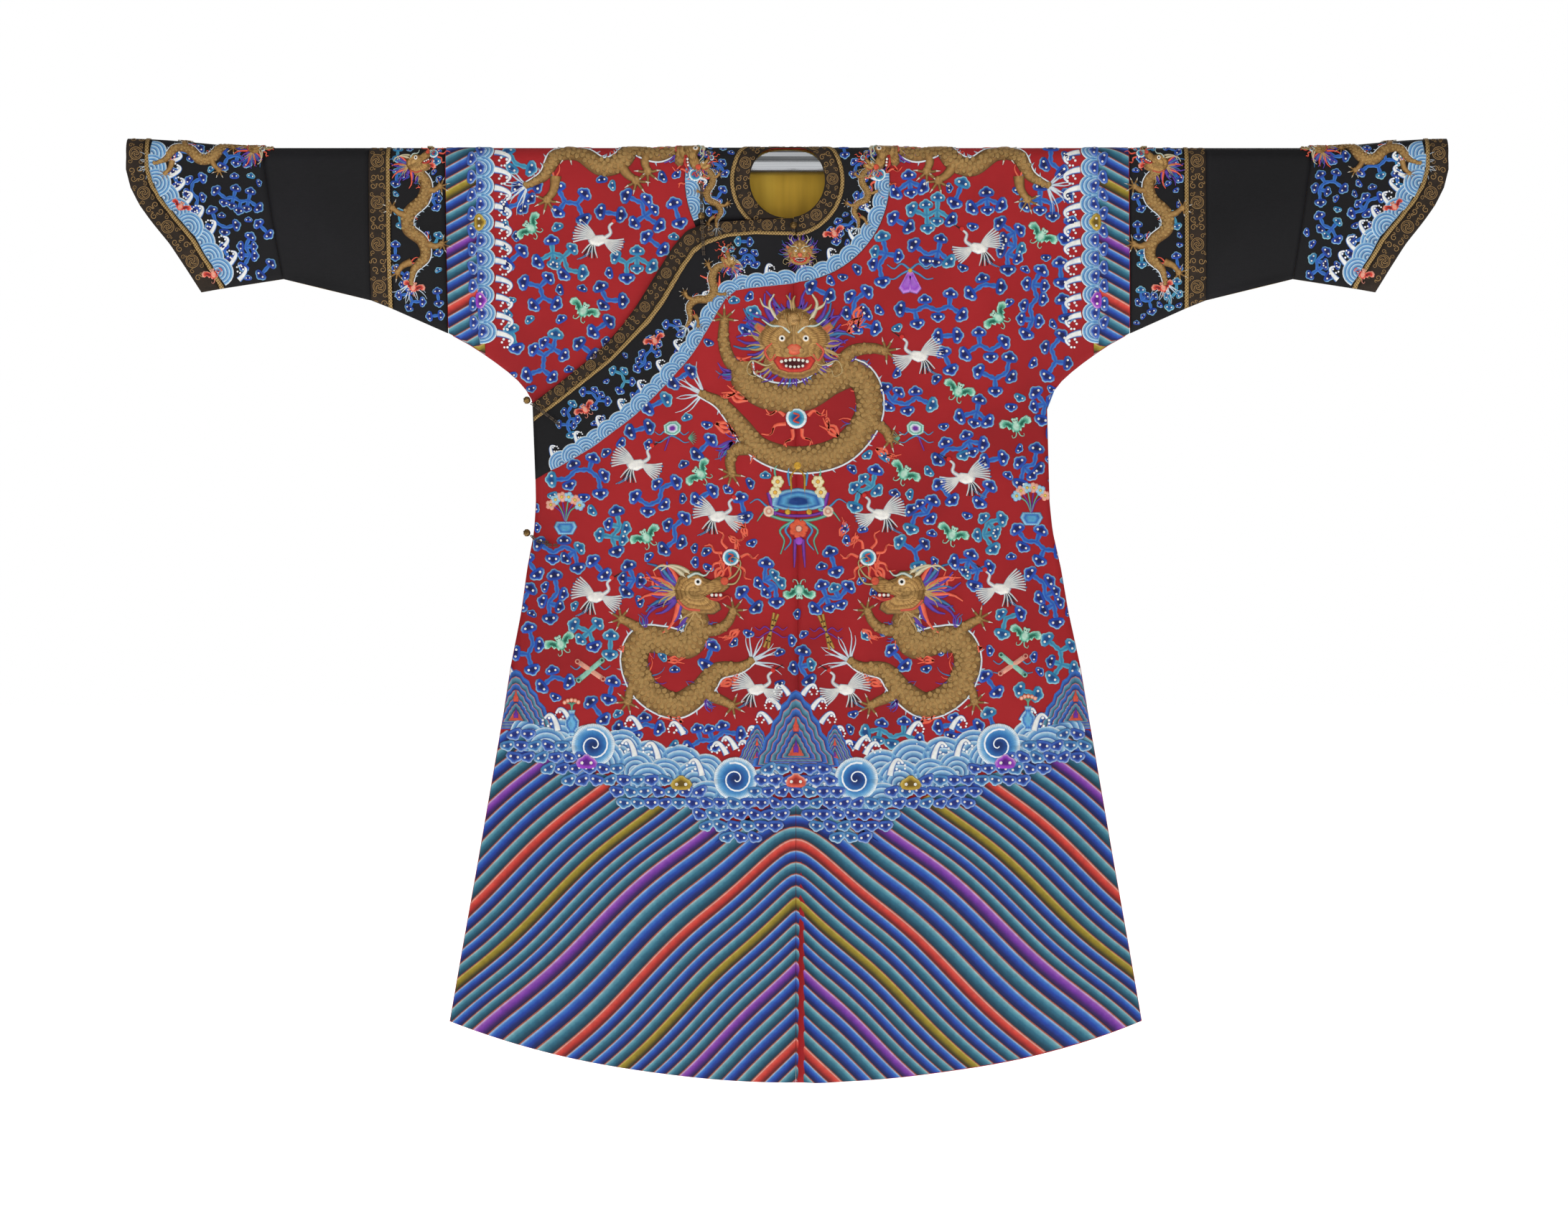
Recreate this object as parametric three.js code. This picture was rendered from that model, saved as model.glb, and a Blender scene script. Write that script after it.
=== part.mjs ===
// A chinese dragon robe hung through its sleeves on a round rod.
//
// Millimetres, +Z up. The origin is the middle of the rod, under the neck. The front faces -Y, and
// left and right are as seen from the front, so the left side is -X.
//
// The robe is cut flat. A place on the cloth is its x and its distance s from the shoulder crest,
// measured along the cloth: s is positive on the front and negative on the back. clothPoint lays
// that flat cut over the rod and lets it hang.

import * as THREE from 'three';

// ---- Driving sizes -------------------------------------------------------------------------

const ROD_RADIUS = 18.5;
const ROD_LENGTH = 1760;
const ROD_SIDES = 48;

const CLOTH = 1.6; // wall of the sewn and lined cloth
const TRIM = 1.2; // wall of what is sewn on top
const SEAM = 0.3; // between pieces that are sewn edge to edge
const LAYER_GAP = 0.8; // between a panel and what lies on it
const FOLD_RADIUS = ROD_RADIUS + 0.9 + CLOTH / 2; // middle of the cloth over the rod
const QUARTER = (FOLD_RADIUS * Math.PI) / 2; // cloth from the crest to where it hangs straight
const EDGE_DEPTH = (CLOTH + SEAM) / 2; // middle of the cloth at the side and sleeve seams
const ROUNDING = 120; // the cloth closes from full depth to its seam in this width
const OVERLAP_STEP = 4.2; // middle of the under front to the middle of the overlap
const OVERLAP_FADE = 80; // width beside the side seam in which the overlap lies on top

const SWAY = 13; // the skirt hangs this far to the right of the neck
const SWAY_LENGTH = 850;
const CUFF_RISE = { from: 760, length: 225, height: 14 };

const NECK = { z: -29.4, cut: 62, inner: 56, band: 79, braid: 85, yoke: 153, yokeInner: 66 };
const HEM = { z: -1375, radius: 1530, halfWidth: 517.5, sideZ: -1285 };
const SLEEVE = { seam: 510, braid: 595, braidWidth: 6, brocade: 624 };
const JOINT = { top: 781, bottom: 755, bottomZ: -176 };
const CUFF = { brocade: 28, braid: 6 };
const CENTRE_SEAM = { top: 9, bottom: 0 };
const UNDERARM_Z = -370;

const BAND_SHARE = 0.78; // the brocade's share of the closing band, the rest is braid
const BALL_RADIUS = 5.5;
const STRAP = { width: 7, thickness: 2 };

// ---- Outlines of the flat cut, with z as it hangs --------------------------------------------

// Mouth of the cuff, from the crest down.
const MOUTH = [
  { z: 35, x: 984 },
  { z: -12, x: 986 },
  { z: -40, x: 979 },
  { z: -66, x: 966 },
  { z: -90, x: 949 },
  { z: -125, x: 921 },
  { z: -160, x: 899 },
  { z: -195, x: 878 },
];

// Lower edge of the sleeve, from the cuff to the underarm.
const SLEEVE_BOTTOM = [
  { x: 878, z: -195 },
  { x: 850, z: -190 },
  { x: 775, z: -177 },
  { x: 742, z: -174 },
  { x: 700, z: -182 },
  { x: 660, z: -195 },
  { x: 620, z: -208.5 },
  { x: 587, z: -222 },
  { x: 547, z: -238 },
  { x: 510, z: -256.5 },
  { x: 471, z: -278 },
  { x: 427, z: -309.5 },
  { x: 403, z: -331 },
  { x: 389, z: -350 },
  { x: 383.5, z: UNDERARM_Z },
];

// Side of the skirt, from the underarm to the hem.
const SIDE = [
  { x: 383.5, z: UNDERARM_Z },
  { x: 384, z: -510 },
  { x: 387.7, z: -553 },
  { x: 399, z: -608 },
  { x: 409, z: -673 },
  { x: 426, z: -755 },
  { x: 437, z: -824 },
  { x: 457, z: -940 },
  { x: 476, z: -1050 },
  { x: 499.6, z: -1182 },
  { x: HEM.halfWidth, z: HEM.sideZ },
  { x: 531, z: -1380 },
];

// Upper edge of the overlap and its closing band, from the neck to the underarm.
const CLOSING_UPPER = [
  { x: 8.85, z: -86 },
  { x: -97, z: -91 },
  { x: -126, z: -95 },
  { x: -150, z: -105 },
  { x: -171, z: -130 },
  { x: -183.5, z: -150 },
  { x: -204, z: -183.5 },
  { x: -224, z: -216 },
  { x: -244.5, z: -244.5 },
  { x: -269, z: -273 },
  { x: -302, z: -302 },
  { x: -339, z: -331 },
  { x: -380.7, z: -361.5 },
];

// Lower edge of the closing band, with its braid.
const CLOSING_LOWER = [
  { x: 13, z: -112 },
  { x: -48, z: -110 },
  { x: -89, z: -114 },
  { x: -122, z: -126 },
  { x: -138, z: -138 },
  { x: -155, z: -163 },
  { x: -183, z: -212 },
  { x: -204, z: -241 },
  { x: -232, z: -269 },
  { x: -265, z: -302 },
  { x: -302, z: -331 },
  { x: -339, z: -359.5 },
  { x: -378.2, z: -388 },
];

// Lower edge of the black yoke on the overlap.
const YOKE_LOWER = [
  { x: 8.85, z: -182.4 },
  { x: -63.6, z: -190 },
  { x: -82.7, z: -194 },
  { x: -96, z: -209 },
  { x: -115, z: -243 },
  { x: -142, z: -289 },
  { x: -183, z: -335 },
  { x: -228, z: -380 },
  { x: -294, z: -429 },
  { x: -376.4, z: -475 },
];

// Large folds: where each lies at the hem, its half width and height, and where it starts.
const FOLDS = [
  { face: 'front', x: 48, width: 22, height: 8, top: -880, length: 300 },
  { face: 'front', x: 20, width: 14, height: -5, top: -880, length: 300 },
  { face: 'front', x: -330, width: 60, height: 4, top: -900, length: 400 },
  { face: 'front', x: -180, width: 60, height: -4, top: -900, length: 400 },
  { face: 'front', x: 230, width: 60, height: -4, top: -900, length: 400 },
  { face: 'front', x: 350, width: 60, height: 5, top: -900, length: 400 },
  { face: 'back', x: -240, width: 65, height: 5, top: -850, length: 450 },
  { face: 'back', x: -60, width: 50, height: -4, top: -900, length: 400 },
  { face: 'back', x: 160, width: 60, height: 5, top: -820, length: 450 },
  { face: 'back', x: 330, width: 60, height: -4, top: -900, length: 400 },
];

// Ball buttons with the loop strap of each, as places on the hung cloth.
const FASTENINGS = [
  { name: 'neck', onTop: true, ball: { x: 9.6, z: -98 }, strap: [{ x: 9.6, z: -90 }, { x: 9.6, z: -107 }] },
  { name: 'chest', onTop: true, ball: { x: -127.5, z: -84 }, strap: [{ x: -127, z: -89 }, { x: -124.5, z: -142 }] },
  { name: 'underarm', onTop: false, ball: { x: -387, z: -357 }, strap: [{ x: -382.5, z: -361 }, { x: -341, z: -392 }] },
  {
    name: 'side',
    onTop: false,
    ball: { x: -387, z: -555 },
    strap: [{ x: -382, z: -560.5 }, { x: -369.7, z: -568.9 }, { x: -356.5, z: -572.7 }, { x: -341.2, z: -574.3 }],
  },
];

// ---- Small helpers ---------------------------------------------------------------------------

const mix = (a, b, t) => a + (b - a) * t;

function smoothStep(t) {
  const held = Math.min(Math.max(t, 0), 1);
  return held * held * (3 - 2 * held);
}

// The value of one column of a table where another column has the given value.
function lookUp(table, key, at, column) {
  const rising = table[table.length - 1][key] > table[0][key];
  let k = 1;
  while (k < table.length - 1 && (rising ? table[k][key] < at : table[k][key] > at)) k += 1;
  const before = table[k - 1];
  const after = table[k];
  return mix(before[column], after[column], (at - before[key]) / (after[key] - before[key]));
}

// A point of a polyline at a share of its length.
function alongLine(line, share) {
  const lengths = line.slice(1).map((p, k) => Math.hypot(p.x - line[k].x, p.z - line[k].z));
  let left = share * lengths.reduce((sum, length) => sum + length, 0);
  let k = 0;
  while (k < lengths.length - 1 && left > lengths[k]) {
    left -= lengths[k];
    k += 1;
  }
  const t = Math.min(left / lengths[k], 1);
  return { x: mix(line[k].x, line[k + 1].x, t), z: mix(line[k].z, line[k + 1].z, t) };
}

// ---- From the flat cut to the hung robe --------------------------------------------------------

const riseAt = (x) => CUFF_RISE.height * smoothStep((Math.abs(x) - CUFF_RISE.from) / CUFF_RISE.length);
const swayAt = (z) => SWAY * smoothStep(-z / SWAY_LENGTH);
const hemZ = (x) => HEM.z + HEM.radius - Math.sqrt(HEM.radius ** 2 - x ** 2);
const mouthX = (z) => lookUp(MOUTH, 'z', z, 'x');
const sleeveBottomZ = (x) => lookUp(SLEEVE_BOTTOM, 'x', x, 'z');

// Outer edge of a body panel at a height: the sleeve seam, the underarm curve, then the side.
function bodyEdgeX(z) {
  if (z > SLEEVE_BOTTOM[9].z) return SLEEVE.seam;
  return z > UNDERARM_Z ? lookUp(SLEEVE_BOTTOM, 'z', z, 'x') : lookUp(SIDE, 'z', z, 'x');
}

const toCut = (point) => ({ x: point.x - swayAt(point.z), z: point.z });
const closingUpper = CLOSING_UPPER.map(toCut);
const closingLower = CLOSING_LOWER.map(toCut);
const yokeLower = YOKE_LOWER.map(toCut);
const lowerOutline = [...SLEEVE_BOTTOM, ...SIDE.slice(1)];

// Distance from a place on the cloth to the seam along the sleeve's lower edge and the side.
function seamDistance(x, z) {
  const px = Math.abs(x);
  let nearest = Infinity;
  for (let k = 1; k < lowerOutline.length; k += 1) {
    const a = lowerOutline[k - 1];
    const b = lowerOutline[k];
    const dx = b.x - a.x;
    const dz = b.z - a.z;
    const t = Math.min(Math.max(((px - a.x) * dx + (z - a.z) * dz) / (dx * dx + dz * dz), 0), 1);
    nearest = Math.min(nearest, Math.hypot(px - a.x - t * dx, z - a.z - t * dz));
  }
  return nearest;
}

function foldDepth(x, z, front) {
  const fade = smoothStep(seamDistance(x, z) / OVERLAP_FADE);
  let depth = 0;
  for (const fold of FOLDS) {
    if ((fold.face === 'front') !== front) continue;
    const across = Math.exp(-(((x + swayAt(z) - fold.x) / fold.width) ** 2));
    depth += fold.height * across * smoothStep((fold.top - z) / fold.length);
  }
  return depth * fade;
}

// How far the middle of the cloth stands from the plane between front and back.
function halfDepth(x, z, front) {
  const round = Math.sin((Math.PI / 2) * Math.min(seamDistance(x, z) / ROUNDING, 1));
  return EDGE_DEPTH + (FOLD_RADIUS - EDGE_DEPTH) * round + foldDepth(x, z, front);
}

// Height of a place on the cloth, and the distance s from the crest of a place at a height.
const heightAt = (x, s) => riseAt(x) - (Math.abs(s) - QUARTER);
const distanceAt = (x, z) => QUARTER + riseAt(x) - z;

// The place in space of cloth coordinates, moved out from the middle of the cloth by lift.
function clothPoint(x, s, lift) {
  const front = s >= 0;
  const outward = front ? -1 : 1;
  const turn = Math.abs(s) / FOLD_RADIUS;
  if (turn < Math.PI / 2) {
    const radius = FOLD_RADIUS + lift;
    return [x, outward * radius * Math.sin(turn), riseAt(x) + radius * Math.cos(turn)];
  }
  const z = heightAt(x, s);
  return [x + swayAt(z), outward * (halfDepth(x, z, front) + lift), z];
}

// Under the overlap the under front lies deeper, and at the side seam the overlap lies on top of it.
const besideSeam = (x, z) => 1 - smoothStep(seamDistance(x, z) / OVERLAP_FADE);
const underLift = (x, z) => -OVERLAP_STEP * (1 - besideSeam(x, z)) * smoothStep((-z - 30) / 50);
const overlapLift = (x, z) => OVERLAP_STEP * besideSeam(x, z);
const noLift = () => 0;

const YOKE_LIFT = CLOTH / 2 + LAYER_GAP + TRIM / 2;
const BAND_LIFT = YOKE_LIFT + LAYER_GAP + TRIM;
const STRAP_LIFT = BAND_LIFT + TRIM / 2 + LAYER_GAP + STRAP.thickness / 2;
const LINING_LIFT = -(CLOTH / 2 + LAYER_GAP + TRIM / 2);

// ---- Solids --------------------------------------------------------------------------------------

// A closed mesh from points and triangles, turned so that its faces point out.
function closedMesh(points, triangles) {
  let volume = 0;
  for (const [a, b, c] of triangles) {
    const [ax, ay, az] = points[a];
    const [bx, by, bz] = points[b];
    const [cx, cy, cz] = points[c];
    volume += ax * (by * cz - bz * cy) + ay * (bz * cx - bx * cz) + az * (bx * cy - by * cx);
  }
  const turned = volume < 0 ? triangles.map(([a, b, c]) => [a, c, b]) : triangles;
  const geometry = new THREE.BufferGeometry();
  geometry.setAttribute('position', new THREE.Float32BufferAttribute(points.flat(), 3));
  geometry.setIndex(turned.flat());
  geometry.computeVertexNormals();
  return geometry;
}

// A wall of cloth on a grid of places { x, s }, with its middle at lift(x, z) + level.
function sheet(rows, { thickness = CLOTH, level = 0, lift = noLift } = {}) {
  const wide = rows[0].length;
  const faces = [thickness / 2, -thickness / 2].map((half) =>
    rows.flat().map(({ x, s }) => clothPoint(x, s, lift(x, heightAt(x, s)) + level + half)),
  );
  const count = rows.length * wide;
  const outer = (j, i) => j * wide + i;
  const inner = (j, i) => count + j * wide + i;
  const triangles = [];
  const quad = (a, b, c, d) => triangles.push([a, b, c], [a, c, d]);
  for (let j = 0; j < rows.length - 1; j += 1) {
    for (let i = 0; i < wide - 1; i += 1) {
      quad(outer(j, i), outer(j, i + 1), outer(j + 1, i + 1), outer(j + 1, i));
      quad(inner(j, i), inner(j + 1, i), inner(j + 1, i + 1), inner(j, i + 1));
    }
    quad(outer(j, 0), outer(j + 1, 0), inner(j + 1, 0), inner(j, 0));
    quad(outer(j + 1, wide - 1), outer(j, wide - 1), inner(j, wide - 1), inner(j + 1, wide - 1));
  }
  const last = rows.length - 1;
  for (let i = 0; i < wide - 1; i += 1) {
    quad(outer(0, i + 1), outer(0, i), inner(0, i), inner(0, i + 1));
    quad(outer(last, i), outer(last, i + 1), inner(last, i + 1), inner(last, i));
  }
  return closedMesh(faces.flat(), triangles);
}

// The grid place for a point of the cut with its height.
const place = (x, z, side = 1) => ({ x, s: side * distanceAt(x, z) });

// ---- Body panels -----------------------------------------------------------------------------------

const CREST_ROWS = [SEAM / 2, QUARTER / 4, QUARTER / 2, (3 * QUARTER) / 4, QUARTER];
const UPPER_ROWS = [-25, -55, -80, NECK.z - NECK.cut, -140, -200, -256.5, -278, -309.5, -331, -350, UNDERARM_Z];
const SKIRT_ROWS = [0.1, 0.22, 0.36, 0.52, 0.7, 0.86, 1];
const PLAIN_COLUMNS = [0, 0.2, 0.4, 0.6, 0.73, 0.82, 0.9, 0.96, 1];
const FOLDED_COLUMNS = [0, 0.04, 0.065, 0.093, 0.125, 0.18, 0.38, 0.58, 0.73, 0.82, 0.9, 0.96, 1];
const OVERLAP_COLUMNS = [0, 0.03, 0.08, ...PLAIN_COLUMNS.slice(1)];

// Half the width of a circle about the neck at a distance s from the crest.
function neckCircleX(radius, s) {
  const up = distanceAt(0, NECK.z) - s;
  return Math.sqrt(Math.max(radius ** 2 - up ** 2, 0));
}

const centreSeamX = (z) => mix(CENTRE_SEAM.top, CENTRE_SEAM.bottom, Math.min(z / HEM.z, 1));

// Half a body panel as rows from its inner edge to its outer edge, on the right or left (hand).
function bodyRows({ face, hand, innerX, columns, shorter = 0 }) {
  const crest = CREST_ROWS.map((s) =>
    columns.map((c) => ({ x: hand * mix(innerX(s, QUARTER - s), SLEEVE.seam - SEAM / 2, c), s: face * s })),
  );
  const upper = UPPER_ROWS.map((z) => {
    const outer = bodyEdgeX(z) - (z >= SLEEVE_BOTTOM[9].z ? SEAM / 2 : 0);
    return columns.map((c) => place(hand * mix(innerX(QUARTER - z, z), outer, c), z, face));
  });
  const skirt = SKIRT_ROWS.map((share) =>
    columns.map((c) => {
      const z = mix(UNDERARM_Z, hemZ(c * HEM.halfWidth) + shorter, share);
      return place(hand * mix(innerX(QUARTER - z, z), bodyEdgeX(z), c), z, face);
    }),
  );
  return [...crest, ...upper, ...skirt];
}

function frontRight() {
  const innerX = (s, z) => Math.max(neckCircleX(NECK.cut, s), centreSeamX(z) + SEAM / 2);
  return sheet(bodyRows({ face: 1, hand: 1, innerX, columns: FOLDED_COLUMNS }));
}

// The under front ends free, short of the centre seam and of the hem.
function underFront() {
  const innerX = (s, z) => Math.max(neckCircleX(NECK.cut, s), mix(10, 45, smoothStep((-z - 90) / 120)));
  const rows = bodyRows({ face: 1, hand: -1, innerX, columns: PLAIN_COLUMNS, shorter: 25 });
  return sheet(rows, { lift: underLift });
}

function backHalf(hand) {
  return sheet(bodyRows({ face: -1, hand, innerX: () => SEAM / 2, columns: PLAIN_COLUMNS }));
}

// The overlap fills the space between its upper edge, the side, the hem and the centre seam.
function frontOverlap() {
  const across = OVERLAP_COLUMNS;
  const down = [0, 0.03, 0.08, 0.15, 0.24, 0.34, 0.46, 0.59, 0.72, 0.84, 0.93, 1];
  const start = closingUpper[0];
  const end = closingUpper[closingUpper.length - 1];
  const top = (u) => alongLine(closingUpper, u);
  const bottom = (u) => {
    const x = -mix(SEAM / 2, HEM.halfWidth, u);
    return { x, z: hemZ(x) };
  };
  const centre = (v) => {
    const z = mix(start.z, HEM.z, v);
    return { x: mix(start.x, -SEAM / 2, v), z };
  };
  const side = (v) => {
    const z = mix(end.z, HEM.sideZ, v);
    return { x: -bodyEdgeX(z), z };
  };
  const blend = (u, v, key) =>
    mix(top(u)[key], bottom(u)[key], v) + mix(centre(v)[key], side(v)[key], u) -
    mix(mix(top(0)[key], top(1)[key], u), mix(bottom(0)[key], bottom(1)[key], u), v);
  return sheet(down.map((v) => across.map((u) => place(blend(u, v, 'x'), blend(u, v, 'z')))), { lift: overlapLift });
}

// ---- Black yoke --------------------------------------------------------------------------------------

const YOKE_COLUMNS = [0, 0.25, 0.5, 0.75, 1];

function yokeFront() {
  const rows = [...CREST_ROWS, ...[-25, -55, -80, -95, -115, -135, -152, -166, -176, -180.5].map((z) => QUARTER - z)];
  const grid = rows.map((s) => {
    const seam = centreSeamX(QUARTER - s) + SEAM / 2;
    const inner = Math.max(neckCircleX(NECK.yokeInner, s), seam);
    return YOKE_COLUMNS.map((c) => ({ x: mix(inner, Math.max(neckCircleX(NECK.yoke, s), seam + 1), c), s }));
  });
  return sheet(grid, { thickness: TRIM, level: YOKE_LIFT });
}

// On the under front the yoke stops at the overlap's upper edge.
function yokeUnder() {
  const rows = [...CREST_ROWS, ...[-25, -55, -80].map((z) => QUARTER - z)];
  const grid = rows.map((s) =>
    YOKE_COLUMNS.map((c) => ({ x: -mix(neckCircleX(NECK.yokeInner, s), neckCircleX(NECK.yoke, s), c), s })),
  );
  const edge = YOKE_COLUMNS.map((c) => {
    const x = -mix(31, 137, c);
    return place(x, lookUp(closingUpper, 'x', x, 'z') + 2 * SEAM);
  });
  return sheet([...grid, edge], { thickness: TRIM, level: YOKE_LIFT, lift: underLift });
}

function yokeBack() {
  const rows = [...CREST_ROWS, 48, 64, 78, 86, 90.5];
  const grid = rows.map((s) => {
    const half = neckCircleX(NECK.yoke, -s);
    return [-1, -0.6, -0.2, 0.2, 0.6, 1].map((c) => ({ x: c * half, s: -s }));
  });
  return sheet(grid, { thickness: TRIM, level: YOKE_LIFT });
}

// A strip between two lines that run from the centre to the side, cut at two shares across it.
function strip(upper, lower, from, to, across, options) {
  const along = [0, 0.08, 0.16, 0.24, 0.32, 0.4, 0.48, 0.56, 0.64, 0.71, 0.77, 0.82, 0.865, 0.905, 0.94, 0.97, 1];
  const rows = Array.from({ length: across + 1 }, (_, j) => {
    const share = mix(from, to, j / across);
    return along.map((u) => {
      const a = alongLine(upper, u);
      const b = alongLine(lower, u);
      return place(mix(a.x, b.x, share), mix(a.z, b.z, share));
    });
  });
  return sheet(rows, { lift: overlapLift, thickness: TRIM, ...options });
}

// ---- Neck ring ----------------------------------------------------------------------------------------

// Angle about the neck, from straight up and turning left, where a circle meets the overlap.
function ringEnd(radius) {
  const centre = distanceAt(0, NECK.z);
  const clear = (angle) => {
    const x = -radius * Math.sin(angle);
    const z = heightAt(x, centre - radius * Math.cos(angle));
    return x < -2 && z > lookUp(closingUpper, 'x', x, 'z') + 2 * SEAM;
  };
  let low = Math.PI / 2;
  let high = Math.PI;
  for (let k = 0; k < 30; k += 1) {
    const middle = (low + high) / 2;
    if (clear(middle)) low = middle;
    else high = middle;
  }
  return low;
}

// A ring about the neck, from the overlap's start on the right, over the back and down the left.
function neckRing(inner, outer, cells) {
  const centre = distanceAt(0, NECK.z);
  const steps = 42;
  const lifts = new Map();
  const rows = Array.from({ length: cells + 1 }, (_, j) => {
    const radius = mix(inner, outer, j / cells);
    const startX = mix(9.2, 13.6, (radius - NECK.inner) / (NECK.braid - NECK.inner));
    const start = Math.asin(startX / radius) - Math.PI;
    const end = ringEnd(radius);
    return Array.from({ length: steps + 1 }, (_, i) => {
      const angle = mix(start, end, i / steps);
      const point = { x: -radius * Math.sin(angle), s: centre - radius * Math.cos(angle) };
      lifts.set(point.x, i > steps / 2);
      return point;
    });
  });
  const lift = (x, z) => (lifts.get(x) ? underLift(x, z) : 0);
  return sheet(rows, { thickness: TRIM, level: BAND_LIFT, lift });
}

// The lining shows through the neck, on the inside of the back.
function neckLining() {
  const rows = [-14, -60, -110, -170].map((z) => [-120, -60, 0, 60, 120].map((x) => place(x, z, -1)));
  return sheet(rows, { thickness: TRIM, level: LINING_LIFT });
}

// ---- Sleeves ----------------------------------------------------------------------------------------------

const SLEEVE_SHARES = [0.3, 0.58, 0.8, 0.93, 1];

// An edge round the sleeve: its x at a height, and the height where it ends below.
const straightEdge = (x) => ({ xAt: () => x, bottom: sleeveBottomZ(x) });

const jointEdge = (moved) => ({
  xAt: (z) => mix(JOINT.top, JOINT.bottom, Math.max(z, JOINT.bottomZ) / JOINT.bottomZ) + moved,
  bottom: sleeveBottomZ(JOINT.bottom + moved),
});

// An edge that runs beside the mouth, a width in from it.
function mouthEdge(width) {
  const xAt = (z) => {
    const slope = (mouthX(z + 8) - mouthX(Math.max(z - 8, -195))) / 16;
    return mouthX(z) - width * Math.hypot(1, slope);
  };
  return { xAt, bottom: sleeveBottomZ(xAt(-192)) };
}

// One row of places across a sleeve tube, from its inner edge to its outer edge.
function tubeRow(hand, inner, outer, cells, place01) {
  const { face, s, share } = place01;
  return Array.from({ length: cells + 1 }, (_, i) => {
    const t = i / cells;
    if (share === undefined) return { x: hand * mix(inner.xAt(0), outer.xAt(0), t), s: face * s };
    const zInner = mix(riseAt(inner.xAt(0)), inner.bottom, share);
    const zOuter = mix(riseAt(outer.xAt(0)), outer.bottom, share);
    return place(hand * mix(inner.xAt(zInner), outer.xAt(zOuter), t), mix(zInner, zOuter, t), face);
  });
}

// A tube of cloth round the sleeve, open along the seam under the arm.
function sleeveTube(hand, inner, outer, cells, options) {
  const half = (face) => [
    ...[QUARTER / 4, QUARTER / 2, (3 * QUARTER) / 4, QUARTER].map((s) => ({ face, s })),
    ...SLEEVE_SHARES.map((share) => ({ face, share })),
  ];
  const rows = [...half(1).reverse(), { face: 1, s: 0 }, ...half(-1)];
  return sheet(rows.map((row) => tubeRow(hand, inner, outer, cells, row)), options);
}

// ---- Fastenings --------------------------------------------------------------------------------------------

// A flat strap along a line on the overlap.
function strap(line, level, lift) {
  const cut = line.map(toCut);
  const length = cut.slice(1).reduce((sum, p, k) => sum + Math.hypot(p.x - cut[k].x, p.z - cut[k].z), 0);
  const steps = Math.max(4, Math.round(length / 8));
  const rows = [-0.5, 0.5].map((offset) =>
    Array.from({ length: steps + 1 }, (_, i) => {
      const here = alongLine(cut, i / steps);
      const before = alongLine(cut, Math.max(i - 1, 0) / steps);
      const after = alongLine(cut, Math.min(i + 1, steps) / steps);
      const run = Math.hypot(after.x - before.x, after.z - before.z);
      const across = { x: -(after.z - before.z) / run, z: (after.x - before.x) / run };
      return place(here.x + offset * STRAP.width * across.x, here.z + offset * STRAP.width * across.z);
    }),
  );
  return sheet(rows, { thickness: STRAP.thickness, level, lift });
}

// A ball with a short shank, both turned about their own axis. The shank starts at the base.
function ballButton() {
  const shank = { radius: 1.8, length: 1.6 };
  const start = Math.asin(shank.radius / BALL_RADIUS);
  const middle = shank.length + BALL_RADIUS * Math.cos(start);
  const profile = [new THREE.Vector2(0, 0), new THREE.Vector2(shank.radius, 0)];
  const steps = 7;
  for (let k = 0; k < steps; k += 1) {
    const angle = mix(start, Math.PI, k / steps);
    profile.push(new THREE.Vector2(BALL_RADIUS * Math.sin(angle), middle - BALL_RADIUS * Math.cos(angle)));
  }
  profile.push(new THREE.Vector2(0, middle + BALL_RADIUS));
  return new THREE.LatheGeometry(profile, 16);
}

// ---- Materials and assembly ---------------------------------------------------------------------------------

const colour = (hex, roughness, metalness = 0) => new THREE.MeshStandardMaterial({ color: hex, roughness, metalness });
const redSatin = colour(0xa81c24, 0.45);
const blackSatin = colour(0x17151a, 0.5);
const brocade = colour(0x3a2b1e, 0.6);
const goldBraid = colour(0xa8854a, 0.45, 0.4);
const yellowSilk = colour(0xc9a81f, 0.5);
const brass = colour(0x8a6a33, 0.35, 0.9);
const metal = colour(0xc4c6c8, 0.25, 0.95);

const robe = new THREE.Group();

function add(name, geometry, material) {
  const mesh = new THREE.Mesh(geometry, material);
  mesh.name = name;
  robe.add(mesh);
  return mesh;
}

const rod = add('rod', new THREE.CylinderGeometry(ROD_RADIUS, ROD_RADIUS, ROD_LENGTH, ROD_SIDES), metal);
rod.rotation.z = Math.PI / 2;

add('under_front', underFront(), redSatin);
add('front_right', frontRight(), redSatin);
add('front_overlap', frontOverlap(), redSatin);
add('back_left', backHalf(-1), redSatin);
add('back_right', backHalf(1), redSatin);

add('yoke_under', yokeUnder(), blackSatin);
add('yoke_front', yokeFront(), blackSatin);
add('yoke_overlap', strip(closingUpper, yokeLower, 0, 1, 4, { level: YOKE_LIFT }), blackSatin);
add('yoke_back', yokeBack(), blackSatin);

add('neck_band', neckRing(NECK.inner, NECK.band, 3), brocade);
add('neck_braid', neckRing(NECK.band + SEAM, NECK.braid, 1), goldBraid);
add('neck_lining', neckLining(), yellowSilk);
add('closing_band', strip(closingUpper, closingLower, 0, BAND_SHARE - 0.012, 1, { level: BAND_LIFT }), brocade);
add('closing_braid', strip(closingUpper, closingLower, BAND_SHARE, 1, 1, { level: BAND_LIFT }), goldBraid);

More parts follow.
